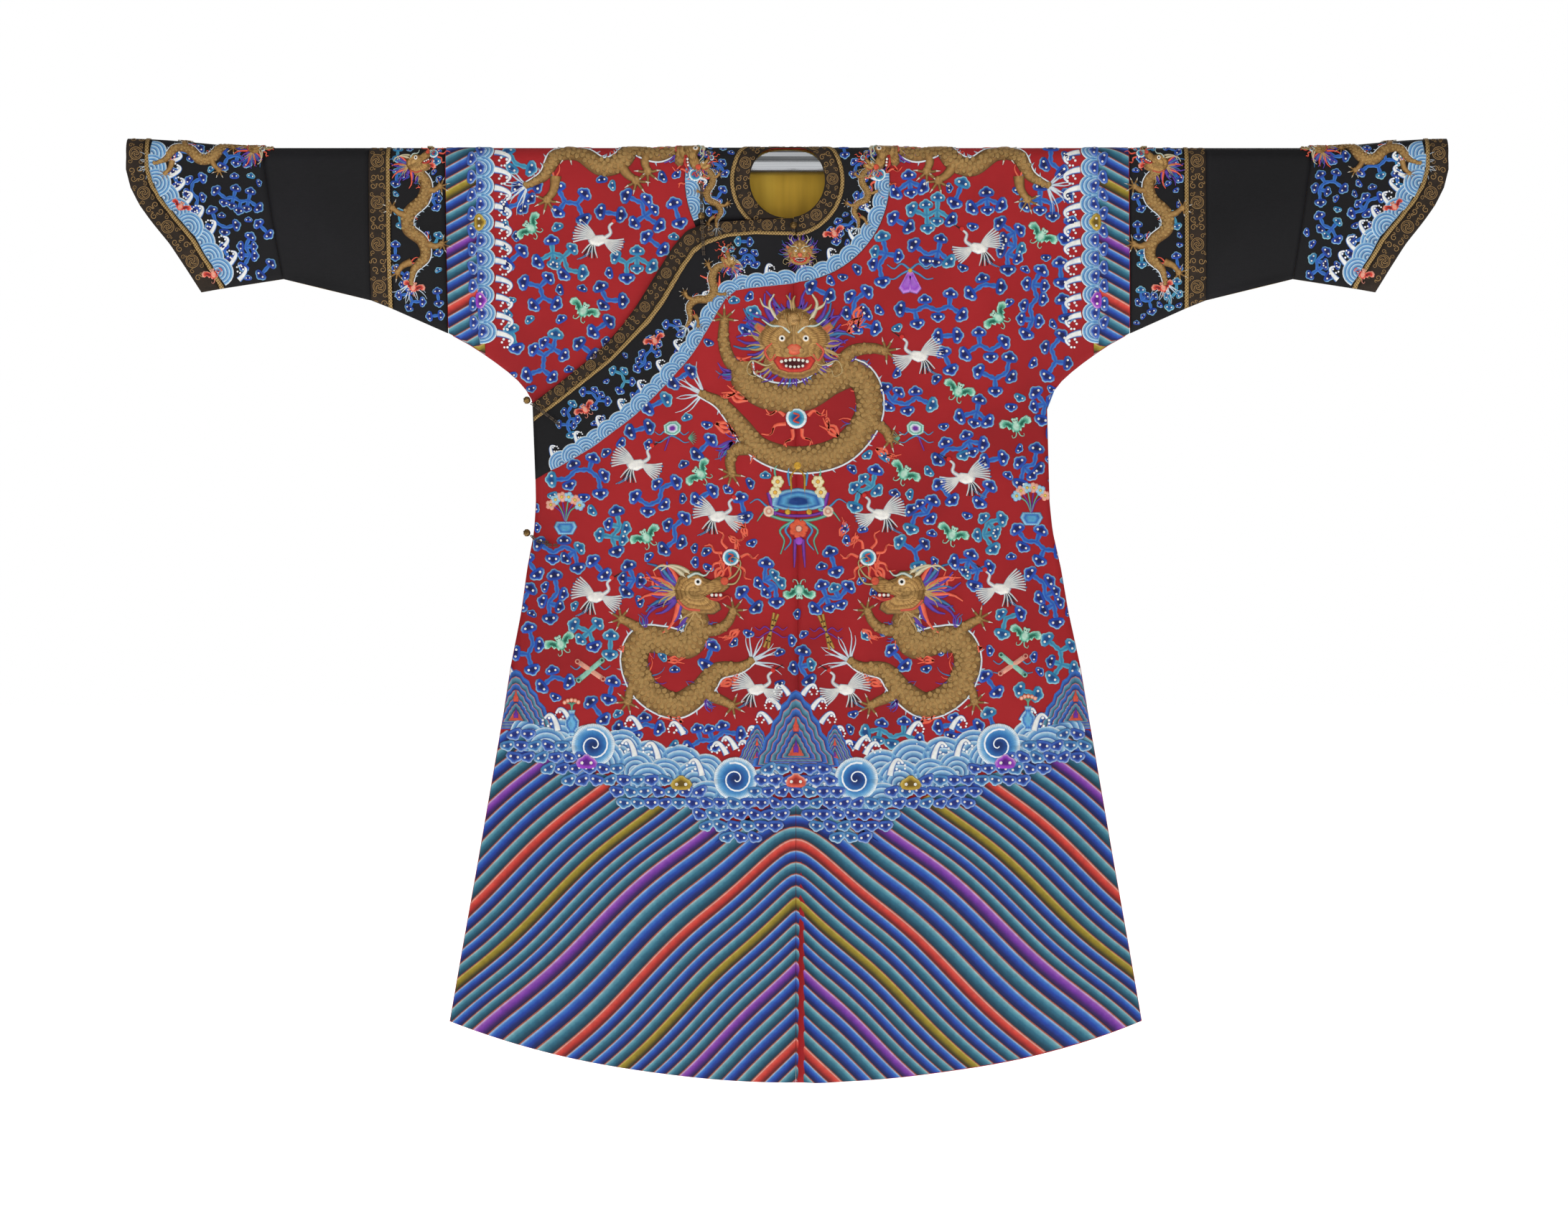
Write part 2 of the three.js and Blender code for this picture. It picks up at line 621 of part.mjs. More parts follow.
const halfSeam = SEAM / 2;
const slantSeam = 0.65 * SEAM; // half a seam, measured along x where the seam slants
for (const [name, hand] of [['left', -1], ['right', 1]]) {
  const braidEdges = [-0.5, 0.5].map((share) => straightEdge(SLEEVE.braid + share * SLEEVE.braidWidth));
  const cuffSeam = mouthEdge(CUFF.brocade + slantSeam);
  const cuffBraid = [CUFF.brocade + CUFF.braid, CUFF.brocade].map((width) => mouthEdge(width));
  const onTop = { thickness: TRIM, level: YOKE_LIFT };
  const seamAt = (x, moved) => straightEdge(x + moved * halfSeam);
  const tubes = [
    ['sleeve_band', seamAt(SLEEVE.seam, 1), seamAt(SLEEVE.braid, -1), 2, blackSatin],
    ['sleeve_braid', ...braidEdges, 1, goldBraid, onTop],
    ['sleeve_brocade', seamAt(SLEEVE.braid, 1), seamAt(SLEEVE.brocade, -1), 1, brocade],
    ['lower_sleeve', seamAt(SLEEVE.brocade, 1), jointEdge(-halfSeam), 3, blackSatin],
    ['cuff', jointEdge(halfSeam), cuffSeam, 4, blackSatin],
    ['cuff_braid', ...cuffBraid, 1, goldBraid, onTop],
    ['cuff_brocade', mouthEdge(CUFF.brocade - slantSeam), mouthEdge(0), 1, brocade],
  ];
  for (const [piece, inner, outer, cells, material, options] of tubes) {
    add(`${piece}_${name}`, sleeveTube(hand, inner, outer, cells, options), material);
  }
}

for (const { name, onTop, ball, strap: line } of FASTENINGS) {
  add(`loop_${name}`, strap(line, STRAP_LIFT, overlapLift), brocade);
  const button = add(`button_${name}`, ballButton(), brass);
  const cut = toCut(ball);
  const stand = STRAP_LIFT + (onTop ? STRAP.thickness / 2 + SEAM : 0) + (onTop ? 0 : overlapLift(cut.x, cut.z));
  const [x, y, z] = clothPoint(cut.x, distanceAt(cut.x, cut.z), stand);
  button.position.set(x, y, z);
  if (onTop) button.rotation.x = Math.PI;
  else button.rotation.z = Math.PI / 2;
  // The side buttons stand just outside the seam, with the shank towards the strap.
  if (!onTop) button.position.x += 4.6;
}

// The chest button is sewn to a strap of its own on the under front.
const chestStrap = [{ x: -127.5, z: -33 }, { x: -127.5, z: -80 }];
add('button_strap_chest', strap(chestStrap, YOKE_LIFT + TRIM / 2 + LAYER_GAP + STRAP.thickness / 2, underLift), brocade);

export default robe;
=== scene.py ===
"""A chinese dragon robe hung on a rod: its cloth, its embroidery, its fastenings and a plain studio.

Places on the robe are millimetres of the flat cut, as (x, z, height): x across, z up, and height out of the
cloth. z is 0 where the cloth leaves the rod, and on above QUARTER it runs over the crest to the other face.
cloth_point lays the flat cut over the rod. The finished meshes are in metres.
"""

import math

import bmesh
import bpy
import mathutils
import numpy as np
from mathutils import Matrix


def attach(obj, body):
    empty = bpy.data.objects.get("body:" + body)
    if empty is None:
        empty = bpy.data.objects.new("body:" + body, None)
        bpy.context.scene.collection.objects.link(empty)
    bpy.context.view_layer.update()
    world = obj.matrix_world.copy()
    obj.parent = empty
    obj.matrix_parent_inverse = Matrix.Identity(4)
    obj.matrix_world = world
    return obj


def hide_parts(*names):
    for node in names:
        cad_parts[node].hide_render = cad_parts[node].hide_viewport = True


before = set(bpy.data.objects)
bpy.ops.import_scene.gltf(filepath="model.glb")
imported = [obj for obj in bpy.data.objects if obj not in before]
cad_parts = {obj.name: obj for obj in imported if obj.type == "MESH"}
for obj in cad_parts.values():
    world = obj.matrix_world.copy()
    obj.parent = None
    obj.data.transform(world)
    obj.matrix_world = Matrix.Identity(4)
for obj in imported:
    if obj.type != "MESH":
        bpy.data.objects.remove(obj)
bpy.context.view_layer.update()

bl_info = {
    "name": "Dragon Robe",
    "version": (1, 0, 0),
    "blender": (4, 5, 0),
    "location": "3D View > Sidebar > Robe",
    "description": "Builds an embroidered dragon robe on its rod",
    "category": "Object",
}

MM = 0.001
TAU = 2 * math.pi
FRONT = 1
BACK = -1

# ---- Sizes of the cut, as the solids have them --------------------------------------------------------

ROD_RADIUS = 18.5
CLOTH = 1.6
SEAM = 0.3
FOLD_RADIUS = ROD_RADIUS + 0.9 + CLOTH / 2
QUARTER = FOLD_RADIUS * math.pi / 2
EDGE_DEPTH = (CLOTH + SEAM) / 2
ROUNDING = 120
OVERLAP_STEP = 4.2
OVERLAP_FADE = 80
SWAY = 13
SWAY_LENGTH = 850
RISE_FROM = 760
RISE_LENGTH = 225
RISE_HEIGHT = 14

NECK_Z = -29.4
NECK_CUT = 60
NECK_INNER = 56
NECK_BAND = 79
NECK_BRAID = 85
YOKE_RADIUS = 153
HEM_Z = -1375
HEM_RADIUS = 1530
HEM_HALF = 517.5
HEM_SIDE_Z = -1285
SLEEVE_SEAM = 510
SLEEVE_BRAID = 595
SLEEVE_BROCADE = 624
JOINT_TOP = 781
JOINT_BOTTOM = 755
JOINT_Z = -176
CUFF_BROCADE = 28
BRAID = 6
CENTRE_TOP = 9
UNDERARM_Z = -370
BAND_SHARE = 0.78

# How far the top of each layer stands out from the middle of the cloth.
BASE_TOP = 0.8
YOKE_TOP = 1.5
BAND_TOP = 2.5
BRAID_TOP = 3.0

# Outlines, each a row of (x, z).
MOUTH = ((984, 35), (986, -12), (979, -40), (966, -66), (949, -90), (921, -125), (899, -160), (878, -195))
SLEEVE_BOTTOM = (
    (878, -195), (850, -190), (775, -177), (742, -174), (700, -182), (660, -195), (620, -208.5), (587, -222),
    (547, -238), (510, -256.5), (471, -278), (427, -309.5), (403, -331), (389, -350), (383.5, UNDERARM_Z),
)
SIDE = (
    (383.5, UNDERARM_Z), (384, -510), (387.7, -553), (399, -608), (409, -673), (426, -755), (437, -824),
    (457, -940), (476, -1050), (499.6, -1182), (HEM_HALF, HEM_SIDE_Z), (531, -1380),
)
CLOSING_UPPER = (
    (8.85, -86), (-97, -91), (-126, -95), (-150, -105), (-171, -130), (-183.5, -150), (-204, -183.5),
    (-224, -216), (-244.5, -244.5), (-269, -273), (-302, -302), (-339, -331), (-380.7, -361.5),
)
CLOSING_LOWER = (
    (13, -112), (-48, -110), (-89, -114), (-122, -126), (-138, -138), (-155, -163), (-183, -212),
    (-204, -241), (-232, -269), (-265, -302), (-302, -331), (-339, -359.5), (-378.2, -388),
)
YOKE_LOWER = (
    (8.85, -182.4), (-63.6, -190), (-82.7, -194), (-96, -209), (-115, -243), (-142, -289), (-183, -335),
    (-228, -380), (-294, -429), (-376.4, -475),
)

# Large folds: face, x at the hem, half width, height, where it starts, length of its start.
FOLDS = (
    (FRONT, 48, 22, 8, -880, 300), (FRONT, 20, 14, -5, -880, 300), (FRONT, -330, 60, 4, -900, 400),
    (FRONT, -180, 60, -4, -900, 400), (FRONT, 230, 60, -4, -900, 400), (FRONT, 350, 60, 5, -900, 400),
    (BACK, -240, 65, 5, -850, 450), (BACK, -60, 50, -4, -900, 400), (BACK, 160, 60, 5, -820, 450),
    (BACK, 330, 60, -4, -900, 400),
)

# Soft creases: face, x and z of one end, x and z of the other, half width, height.
CREASES = (
    (FRONT, 372, -420, 180, -560, 16, 1.6), (FRONT, 380, -520, 210, -690, 18, 1.3),
    (FRONT, 330, -330, 190, -470, 14, -1.2), (FRONT, -372, -520, -230, -640, 16, 1.3),
    (FRONT, -390, -700, -250, -800, 18, -1.2), (FRONT, 400, -760, 260, -880, 18, 1.2),
    (FRONT, 470, -215, 330, -120, 14, 1.2), (FRONT, -460, -220, -330, -130, 14, 1.1),
    (FRONT, -120, -560, -90, -820, 20, -1.0), (FRONT, 100, -500, 130, -800, 22, 1.0),
    (FRONT, 690, -60, 640, -170, 12, 1.0), (FRONT, -700, -70, -650, -165, 12, 1.0),
    (BACK, 370, -430, 200, -600, 17, 1.5), (BACK, -372, -450, -190, -570, 16, 1.5),
    (BACK, -60, -420, -20, -800, 24, 1.2), (BACK, 90, -480, 130, -860, 22, -1.1),
    (BACK, -400, -720, -270, -850, 18, 1.2), (BACK, 440, -230, 310, -120, 14, 1.2),
)


# ---- Cloth over the rod -------------------------------------------------------------------------------


def smooth_step(t):
    held = np.clip(t, 0, 1)
    return held * held * (3 - 2 * held)


def mix(a, b, t):
    return a + (b - a) * t


def rise_at(x):
    return RISE_HEIGHT * smooth_step((np.abs(x) - RISE_FROM) / RISE_LENGTH)


def sway_at(z):
    return SWAY * smooth_step(-np.asarray(z, float) / SWAY_LENGTH)


def to_cut(line):
    """A hung outline as an array in the flat cut."""
    points = np.array(line, float)
    points[:, 0] -= sway_at(points[:, 1])
    return points


def z_of(line, x):
    """Height of an outline at an x."""
    points = np.array(sorted(map(tuple, line)))
    return np.interp(x, points[:, 0], points[:, 1])


def x_of(line, z):
    """x of an outline at a height."""
    points = np.array(sorted(map(tuple, line), key=lambda p: p[1]))
    return np.interp(z, points[:, 1], points[:, 0])


UPPER_CUT = to_cut(CLOSING_UPPER)
LOWER_CUT = to_cut(CLOSING_LOWER)
YOKE_CUT = to_cut(YOKE_LOWER)
OUTLINE = np.array(SLEEVE_BOTTOM + SIDE[1:], float)


def hem_z(x):
    return HEM_Z + HEM_RADIUS - np.sqrt(HEM_RADIUS**2 - np.asarray(x, float) ** 2)


def body_edge_x(z):
    """Outer edge of a body panel at a height."""
    z = np.asarray(z, float)
    under = x_of(SLEEVE_BOTTOM[9:], z)
    side = x_of(SIDE, z)
    return np.where(z > SLEEVE_BOTTOM[9][1], SLEEVE_SEAM, np.where(z > UNDERARM_Z, under, side))


def seam_distance(x, z):
    px = np.abs(np.asarray(x, float))
    z = np.asarray(z, float)
    nearest = np.full(np.broadcast(px, z).shape, 1e9)
    for a, b in zip(OUTLINE[:-1], OUTLINE[1:]):
        run = b - a
        t = np.clip(((px - a[0]) * run[0] + (z - a[1]) * run[1]) / (run @ run), 0, 1)
        nearest = np.minimum(nearest, np.hypot(px - a[0] - t * run[0], z - a[1] - t * run[1]))
    return nearest


def fold_depth(x, z, face, distance):
    """Folds and creases: how far they push the cloth out, for one face."""
    hung = x + sway_at(z)
    depth = np.zeros_like(hung)
    for side, at, width, height, top, length in FOLDS:
        if side == face:
            depth += height * np.exp(-(((hung - at) / width) ** 2)) * smooth_step((top - z) / length)
    for side, ax, az, bx, bz, width, height in CREASES:
        if side == face:
            run = np.array((bx - ax, bz - az), float)
            t = ((hung - ax) * run[0] + (z - az) * run[1]) / (run @ run)
            off = ((hung - ax) * run[1] - (z - az) * run[0]) / np.hypot(*run)
            depth += height * np.exp(-((off / width) ** 2)) * np.sin(np.pi * np.clip(t, 0, 1)) ** 1.5
    return depth * smooth_step(distance / OVERLAP_FADE)


def cloth_point(x, s, lift):
    """Places in space, in millimetres, of cloth coordinates moved out from the cloth's middle by lift."""
    x, s, lift = np.broadcast_arrays(np.asarray(x, float), np.asarray(s, float), np.asarray(lift, float))
    outward = np.where(s >= 0, -1.0, 1.0)
    turn = np.minimum(np.abs(s) / FOLD_RADIUS, np.pi / 2)
    z = rise_at(x) - (np.abs(s) - QUARTER)
    distance = seam_distance(x, z)
    over_rod = EDGE_DEPTH + (FOLD_RADIUS - EDGE_DEPTH) * np.sin(
        np.pi / 2 * np.minimum(distance / ROUNDING, 1)
    )
    fold = np.where(s >= 0, fold_depth(x, z, FRONT, distance), fold_depth(x, z, BACK, distance))
    radius = FOLD_RADIUS + lift
    bent = np.abs(s) < QUARTER
    y = np.where(bent, radius * np.sin(turn), over_rod + fold + lift) * outward
    up = np.where(bent, rise_at(x) + radius * np.cos(turn), z)
    return np.stack((np.where(bent, x, x + sway_at(z)), y, up), axis=-1)


def height_at(x, s):
    return rise_at(x) - (np.abs(s) - QUARTER)


def distance_at(x, z):
    return QUARTER + rise_at(x) - np.asarray(z, float)


def under_lift(x, z):
    beside = 1 - smooth_step(seam_distance(x, z) / OVERLAP_FADE)
    return -OVERLAP_STEP * (1 - beside) * smooth_step((-z - 30) / 50)


def overlap_lift(x, z):
    return OVERLAP_STEP * (1 - smooth_step(seam_distance(x, z) / OVERLAP_FADE))


def no_lift(x, z):
    return np.zeros(np.broadcast(x, z).shape)


def neck_distance(x, s):
    return np.hypot(x, distance_at(0, NECK_Z) - s)


def on_overlap(x, z, s):
    """True where the overlap is the top layer."""
    return (s > 0) & (x < mix(CENTRE_TOP, 0, np.clip(z / HEM_Z, 0, 1))) & (z < z_of(UPPER_CUT, x))


def on_yoke(x, z, s):
    over = on_overlap(x, z, s)
    return np.where(over, z > z_of(YOKE_CUT, x), neck_distance(x, s) < YOKE_RADIUS)


def top_lift(x, s):
    """The top of the cloth that shows at a place, out from the middle of the base cloth."""
    z = height_at(x, s)
    over = on_overlap(x, z, s)
    lift = np.where(over, overlap_lift(x, z), 0.0)
    lift = np.where(~over & (s > 0) & (x < 0) & (x > -SLEEVE_SEAM), under_lift(x, z), lift)
    return lift + np.where(on_yoke(x, z, s), YOKE_TOP, BASE_TOP)


# ---- Meshes -------------------------------------------------------------------------------------------


def make_object(name, mesh):
    piece = bpy.data.objects.new(name, mesh)
    bpy.context.scene.collection.objects.link(piece)
    return piece


def mesh_from(name, points, quads=(), triangles=()):
    """A mesh from arrays of points in millimetres, four-sided and three-sided faces."""
    quads = np.asarray(quads, np.int32).reshape(-1, 4)
    triangles = np.asarray(triangles, np.int32).reshape(-1, 3)
    mesh = bpy.data.meshes.new(name)
    mesh.vertices.add(len(points))
    mesh.vertices.foreach_set("co", np.asarray(points, np.float32).ravel() * MM)
    mesh.loops.add(quads.size + triangles.size)
    mesh.loops.foreach_set("vertex_index", np.concatenate((quads.ravel(), triangles.ravel())))
    mesh.polygons.add(len(quads) + len(triangles))
    starts = np.concatenate((np.arange(len(quads)) * 4, quads.size + np.arange(len(triangles)) * 3))
    mesh.polygons.foreach_set("loop_start", starts.astype(np.int32))
    mesh.update(calc_edges=True)
    return mesh


def give_uv(mesh, name, values):
    """A UV map with one value for each vertex."""
    layer = mesh.uv_layers.new(name=name)
    corners = np.empty(len(mesh.loops), np.int32)
    mesh.loops.foreach_get("vertex_index", corners)
    layer.data.foreach_set("uv", np.asarray(values, np.float32)[corners].ravel())


def sheet_mesh(name, x, s, level, thickness, lift=no_lift):
    """A closed wall of cloth on grids x and s of the cut. Faces of slot 0 are outside, of slot 1 inside."""
    z = height_at(x, s)
    middle = lift(x, z) + level
    outer = cloth_point(x, s, middle + thickness / 2).reshape(-1, 3)
    inner = cloth_point(x, s, middle - thickness / 2).reshape(-1, 3)
    rows, wide = x.shape
    index = np.arange(rows * wide).reshape(rows, wide)
    top = np.stack((index[:-1, :-1], index[:-1, 1:], index[1:, 1:], index[1:, :-1]), -1).reshape(-1, 4)
    under = top[:, ::-1] + rows * wide
    border = np.concatenate((index[0, :-1], index[:-1, -1], index[-1, :0:-1], index[:0:-1, 0]))
    nxt = np.roll(border, -1)
    rim = np.stack((nxt, border, border + rows * wide, nxt + rows * wide), -1)
    points = np.concatenate((outer, inner))
    quads = np.concatenate((top, under, rim))
    a, b, c = (points[quads[:, k]] for k in range(3))
    d = points[quads[:, 3]]
    volume = np.einsum("ij,ij->", a, np.cross(b, c)) + np.einsum("ij,ij->", a, np.cross(c, d))
    if volume < 0:
        quads = quads[:, ::-1]
    mesh = mesh_from(name, points, quads)
    give_uv(mesh, "cut", np.tile(np.stack((x.ravel(), s.ravel()), -1) * MM, (2, 1)))
    slots = np.zeros(len(quads), np.int32)
    slots[len(top) : len(top) + len(under)] = 1
    mesh.polygons.foreach_set("material_index", slots)
    smooth = np.ones(len(quads), bool)
    smooth[len(top) + len(under) :] = False
    mesh.polygons.foreach_set("use_smooth", smooth)
    return mesh


def stitch_down(piece, node_names, slot, flat=None, area=None, rests=("rod",), held="hung"):
    """Attach a piece to the root and hide the solids it replaces. What it is made of and the size it was cut
    to are not used.
    """
    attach(piece, "root")
    if node_names:
        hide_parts(*node_names)
    return piece


# ---- Materials ----------------------------------------------------------------------------------------


def linear(colour):
    """Linear red, green and blue of a colour given as six hex digits."""
    parts = np.array([int(colour[k : k + 2], 16) for k in (0, 2, 4)]) / 255
    return np.where(parts <= 0.04045, parts / 12.92, ((parts + 0.055) / 1.055) ** 2.4)


def rgba(colour):
    return (*linear(colour), 1.0)


class Finish:
    """A material under way: its nodes and its shader."""

    def __init__(self, name, roughness=0.5, metallic=0.0, sheen=0.0, sheen_tint=(1, 1, 1, 1), coat=0.0):
        self.material = bpy.data.materials.new(name)
        self.material.use_nodes = True
        self.nodes = self.material.node_tree.nodes
        self.links = self.material.node_tree.links
        self.shader = self.nodes["Principled BSDF"]
        self.shader.inputs["Roughness"].default_value = roughness
        self.shader.inputs["Metallic"].default_value = metallic
        self.shader.inputs["Sheen Weight"].default_value = sheen
        self.shader.inputs["Sheen Tint"].default_value = sheen_tint
        self.shader.inputs["Sheen Roughness"].default_value = 0.45
        self.shader.inputs["Coat Weight"].default_value = coat

    def node(self, kind, **settings):
        node = self.nodes.new(kind)
        for key, value in settings.items():
            if key in node.inputs:
                node.inputs[key].default_value = value
            else:
                setattr(node, key, value)
        return node

    def link(self, out, into):
        self.links.new(out, into)

    def place(self, kind="Object", scale=(1, 1, 1), turn=0.0, uv=None):
        """Coordinates, scaled and turned."""
        if uv:
            source = self.node("ShaderNodeUVMap", uv_map=uv).outputs["UV"]
        else:
            source = self.node("ShaderNodeTexCoord").outputs[kind]
        mapping = self.node("ShaderNodeMapping")
        mapping.inputs["Scale"].default_value = scale
        mapping.inputs["Rotation"].default_value = (0, 0, turn)
        self.link(source, mapping.inputs["Vector"])
        return mapping.outputs["Vector"]

    def noise(self, where, scale, detail=3.0, rough=0.55):
        node = self.node("ShaderNodeTexNoise", Scale=scale, Detail=detail, Roughness=rough)
        self.link(where, node.inputs["Vector"])
        return node.outputs["Fac"]

    def wave(self, where, scale, distortion=0.0, direction="X", detail=1.0):
        node = self.node("ShaderNodeTexWave", Scale=scale, Distortion=distortion, Detail=detail)
        node.bands_direction = direction
        self.link(where, node.inputs["Vector"])
        return node.outputs["Fac"]

    def ramp(self, value, stops):
        node = self.node("ShaderNodeValToRGB")
        node.color_ramp.elements[0].position = stops[0][0]
        node.color_ramp.elements[0].color = stops[0][1]
        node.color_ramp.elements[1].position = stops[-1][0]
        node.color_ramp.elements[1].color = stops[-1][1]
        for at, colour in stops[1:-1]:
            node.color_ramp.elements.new(at).color = colour
        self.link(value, node.inputs["Fac"])
        return node.outputs["Color"]

    def blend(self, first, second, factor, mode="MIX"):
        """first and second blended; each is an output or a colour, and so is factor or a number."""
        node = self.node("ShaderNodeMix", data_type="RGBA", blend_type=mode)
        for value, socket in ((first, node.inputs[6]), (second, node.inputs[7]), (factor, node.inputs[0])):
            if isinstance(value, bpy.types.NodeSocket):
                self.link(value, socket)
            else:
                socket.default_value = value
        return node.outputs[2]

    def sum(self, first, second, operation="ADD"):
        node = self.node("ShaderNodeMath", operation=operation)
        for value, socket in ((first, node.inputs[0]), (second, node.inputs[1])):
            if isinstance(value, bpy.types.NodeSocket):
                self.link(value, socket)
            else:
                socket.default_value = value
        return node.outputs[0]

    def range(self, value, low, high):
        node = self.node("ShaderNodeMapRange")
        node.inputs["To Min"].default_value = low
        node.inputs["To Max"].default_value = high
        self.link(value, node.inputs["Value"])
        return node.outputs["Result"]

    def bump(self, height, distance=0.0003, strength=1.0):
        node = self.node("ShaderNodeBump", Strength=strength, Distance=distance)
        self.link(height, node.inputs["Height"])
        self.link(node.outputs["Normal"], self.shader.inputs["Normal"])

    def colour(self, output):
        self.link(output, self.shader.inputs["Base Color"])

    def roughness(self, output):
        self.link(output, self.shader.inputs["Roughness"])


def satin(name, shade, light, dark, roughness, sheen):
    """Silk satin: a fine slanting twill, soft changes of tone and slubs along the thread."""
    finish = Finish(name, roughness, sheen=sheen, sheen_tint=rgba(light))
    finish.shader.inputs["Specular IOR Level"].default_value = 0.2
    cut = finish.place(uv="cut")
    twill = finish.wave(finish.place(uv="cut", turn=1.1), 260, distortion=0.6)
    threads = finish.wave(cut, 420, distortion=0.4, direction="Y")
    slubs = finish.noise(finish.place(uv="cut", scale=(1, 9, 1)), 60, 2.0)
    patches = finish.noise(finish.place(), 3.2, 4.0)
    tone = finish.ramp(patches, ((0.3, rgba(dark)), (0.5, rgba(shade)), (0.75, rgba(light))))
    tone = finish.blend(tone, rgba(dark), finish.range(slubs, 0.0, 0.22))
    tone = finish.blend(tone, rgba(light), finish.range(twill, 0.0, 0.16))
    finish.colour(tone)
    finish.roughness(finish.range(slubs, roughness - 0.06, roughness + 0.1))
    finish.bump(finish.sum(finish.sum(twill, threads), finish.sum(slubs, 0.8, "MULTIPLY")), 0.00025, 0.5)
    return finish.material


def silk_thread():
    """Floss laid side by side: the colour sewn into the piece, with stitches across each shape."""
    finish = Finish("silk_thread", 0.5, sheen=0.03)
    finish.shader.inputs["Specular IOR Level"].default_value = 0.25
    sewn = finish.node("ShaderNodeVertexColor", layer_name="thread").outputs["Color"]
    stitch = finish.wave(finish.place(uv="stitch"), 330, distortion=1.4, detail=2.0)
    cloud = finish.noise(finish.place(), 130, 3.0)
    tone = finish.blend(
        sewn, finish.ramp(stitch, ((0.0, (0.72, 0.72, 0.74, 1)), (0.6, (1, 1, 1, 1)))), 0.75, "MULTIPLY"
    )
    tone = finish.blend(
        tone, finish.ramp(cloud, ((0.3, (0.82, 0.82, 0.85, 1)), (0.65, (1.12, 1.12, 1.1, 1)))), 0.8,
        "MULTIPLY"
    )
    finish.colour(tone)
    finish.roughness(finish.range(stitch, 0.34, 0.5))
    finish.bump(finish.sum(stitch, cloud), 0.0003, 0.6)
    return finish.material


def gold_thread():
    """Gold-wrapped threads, couched in pairs, with dark silk between."""
    finish = Finish("gold_thread", 0.38, metallic=0.55)
    sewn = finish.node("ShaderNodeVertexColor", layer_name="thread").outputs["Color"]
    pairs = finish.wave(finish.place(uv="stitch"), 240, distortion=0.8, direction="Y", detail=2.0)
    twist = finish.wave(finish.place(uv="stitch", turn=0.7), 300, distortion=0.6)
    worn = finish.noise(finish.place(), 240, 3.0)
    tone = finish.blend(
        sewn, finish.ramp(pairs, ((0.0, (0.5, 0.42, 0.36, 1)), (0.5, (1.05, 1.02, 1, 1)))), 0.7, "MULTIPLY"
    )
    tone = finish.blend(
        tone, finish.ramp(worn, ((0.35, (0.7, 0.62, 0.55, 1)), (0.6, (1.15, 1.12, 1.08, 1)))), 0.7, "MULTIPLY"
    )
    finish.colour(tone)
    finish.roughness(finish.range(worn, 0.3, 0.5))
    finish.bump(finish.sum(pairs, twist), 0.0004, 0.7)
    return finish.material


def brocade_cloth():
    """Near-black silk with a fine twill, the ground of the gold scrolls."""
    finish = Finish("brocade_ground", 0.6, sheen=0.02)
    finish.shader.inputs["Specular IOR Level"].default_value = 0.2
    twill = finish.wave(finish.place(uv="cut", turn=-0.8), 300, distortion=0.8)
    specks = finish.noise(finish.place(uv="cut", scale=(1, 4, 1)), 420, 2.0)
    tone = finish.ramp(finish.noise(finish.place(), 60, 3.0), ((0.35, rgba("17130f")), (0.7, rgba("2b211a"))))
    tone = finish.blend(tone, rgba("4b3722"), finish.range(finish.sum(specks, twill, "MULTIPLY"), 0.0, 0.55))
    finish.colour(tone)
    finish.bump(finish.sum(twill, specks), 0.0003, 0.6)
    return finish.material


def braid_metal():
    """Gold braid: slanting strands with dark gaps."""
    finish = Finish("gold_braid", 0.42, metallic=0.5)
    strands = finish.wave(finish.place(uv="cut", turn=0.75), 95, distortion=1.0, detail=2.0)
    across = finish.wave(finish.place(uv="cut", turn=-0.75), 95, distortion=1.0, detail=2.0)
    worn = finish.noise(finish.place(), 90, 3.0)
    weave = finish.sum(strands, across, "MAXIMUM")
    tone = finish.ramp(weave, ((0.25, rgba("4a3417")), (0.6, rgba("94733f")), (0.95, rgba("c2a163"))))
    tone = finish.blend(tone, rgba("5d4524"), finish.range(worn, 0.0, 0.6))
    finish.colour(tone)
    finish.bump(weave, 0.0005, 0.8)
    return finish.material


def yellow_lining():
    """Plain yellow silk with a fine weave and soft creases down its length; along the creases its colour is
    painted shade in the hollows and a painted highlight on the ridges.
    """
    finish = Finish("yellow_silk", 0.5, sheen=0.3, sheen_tint=rgba("e8d27a"))
    creases = finish.noise(finish.place(scale=(26, 26, 3)), 1.0, 3.0)
    weave = finish.wave(finish.place(uv="cut"), 380, distortion=0.8)
    cross = finish.wave(finish.place(uv="cut"), 380, distortion=0.8, direction="Y")
    # The crease tone is painted shade in the crease hollows and a painted highlight on their ridges.
    tone = finish.ramp(creases, ((0.3, rgba("c49a30")), (0.5, rgba("e0b43c")), (0.7, rgba("f0c84c"))))
    tone = finish.blend(tone, rgba("a8842a"), finish.range(finish.sum(weave, cross, "MULTIPLY"), 0.0, 0.3))
    finish.colour(tone)
    finish.bump(finish.sum(finish.sum(weave, cross), finish.sum(creases, 6.0, "MULTIPLY")), 0.0006, 0.6)
    return finish.material


def rod_metal():
    """Drawn metal tube, brushed along its length."""
    finish = Finish("polished_metal", 0.24, metallic=1.0)
    lines = finish.noise(finish.place(scale=(1.5, 260, 260)), 1.0, 3.0)
    smears = finish.noise(finish.place(), 18, 3.0)
    finish.colour(finish.ramp(lines, ((0.3, rgba("85878a")), (0.7, rgba("b9bbbd")))))
    finish.roughness(finish.range(finish.sum(lines, smears, "MULTIPLY"), 0.16, 0.42))
    finish.bump(lines, 0.00005, 0.4)
    return finish.material


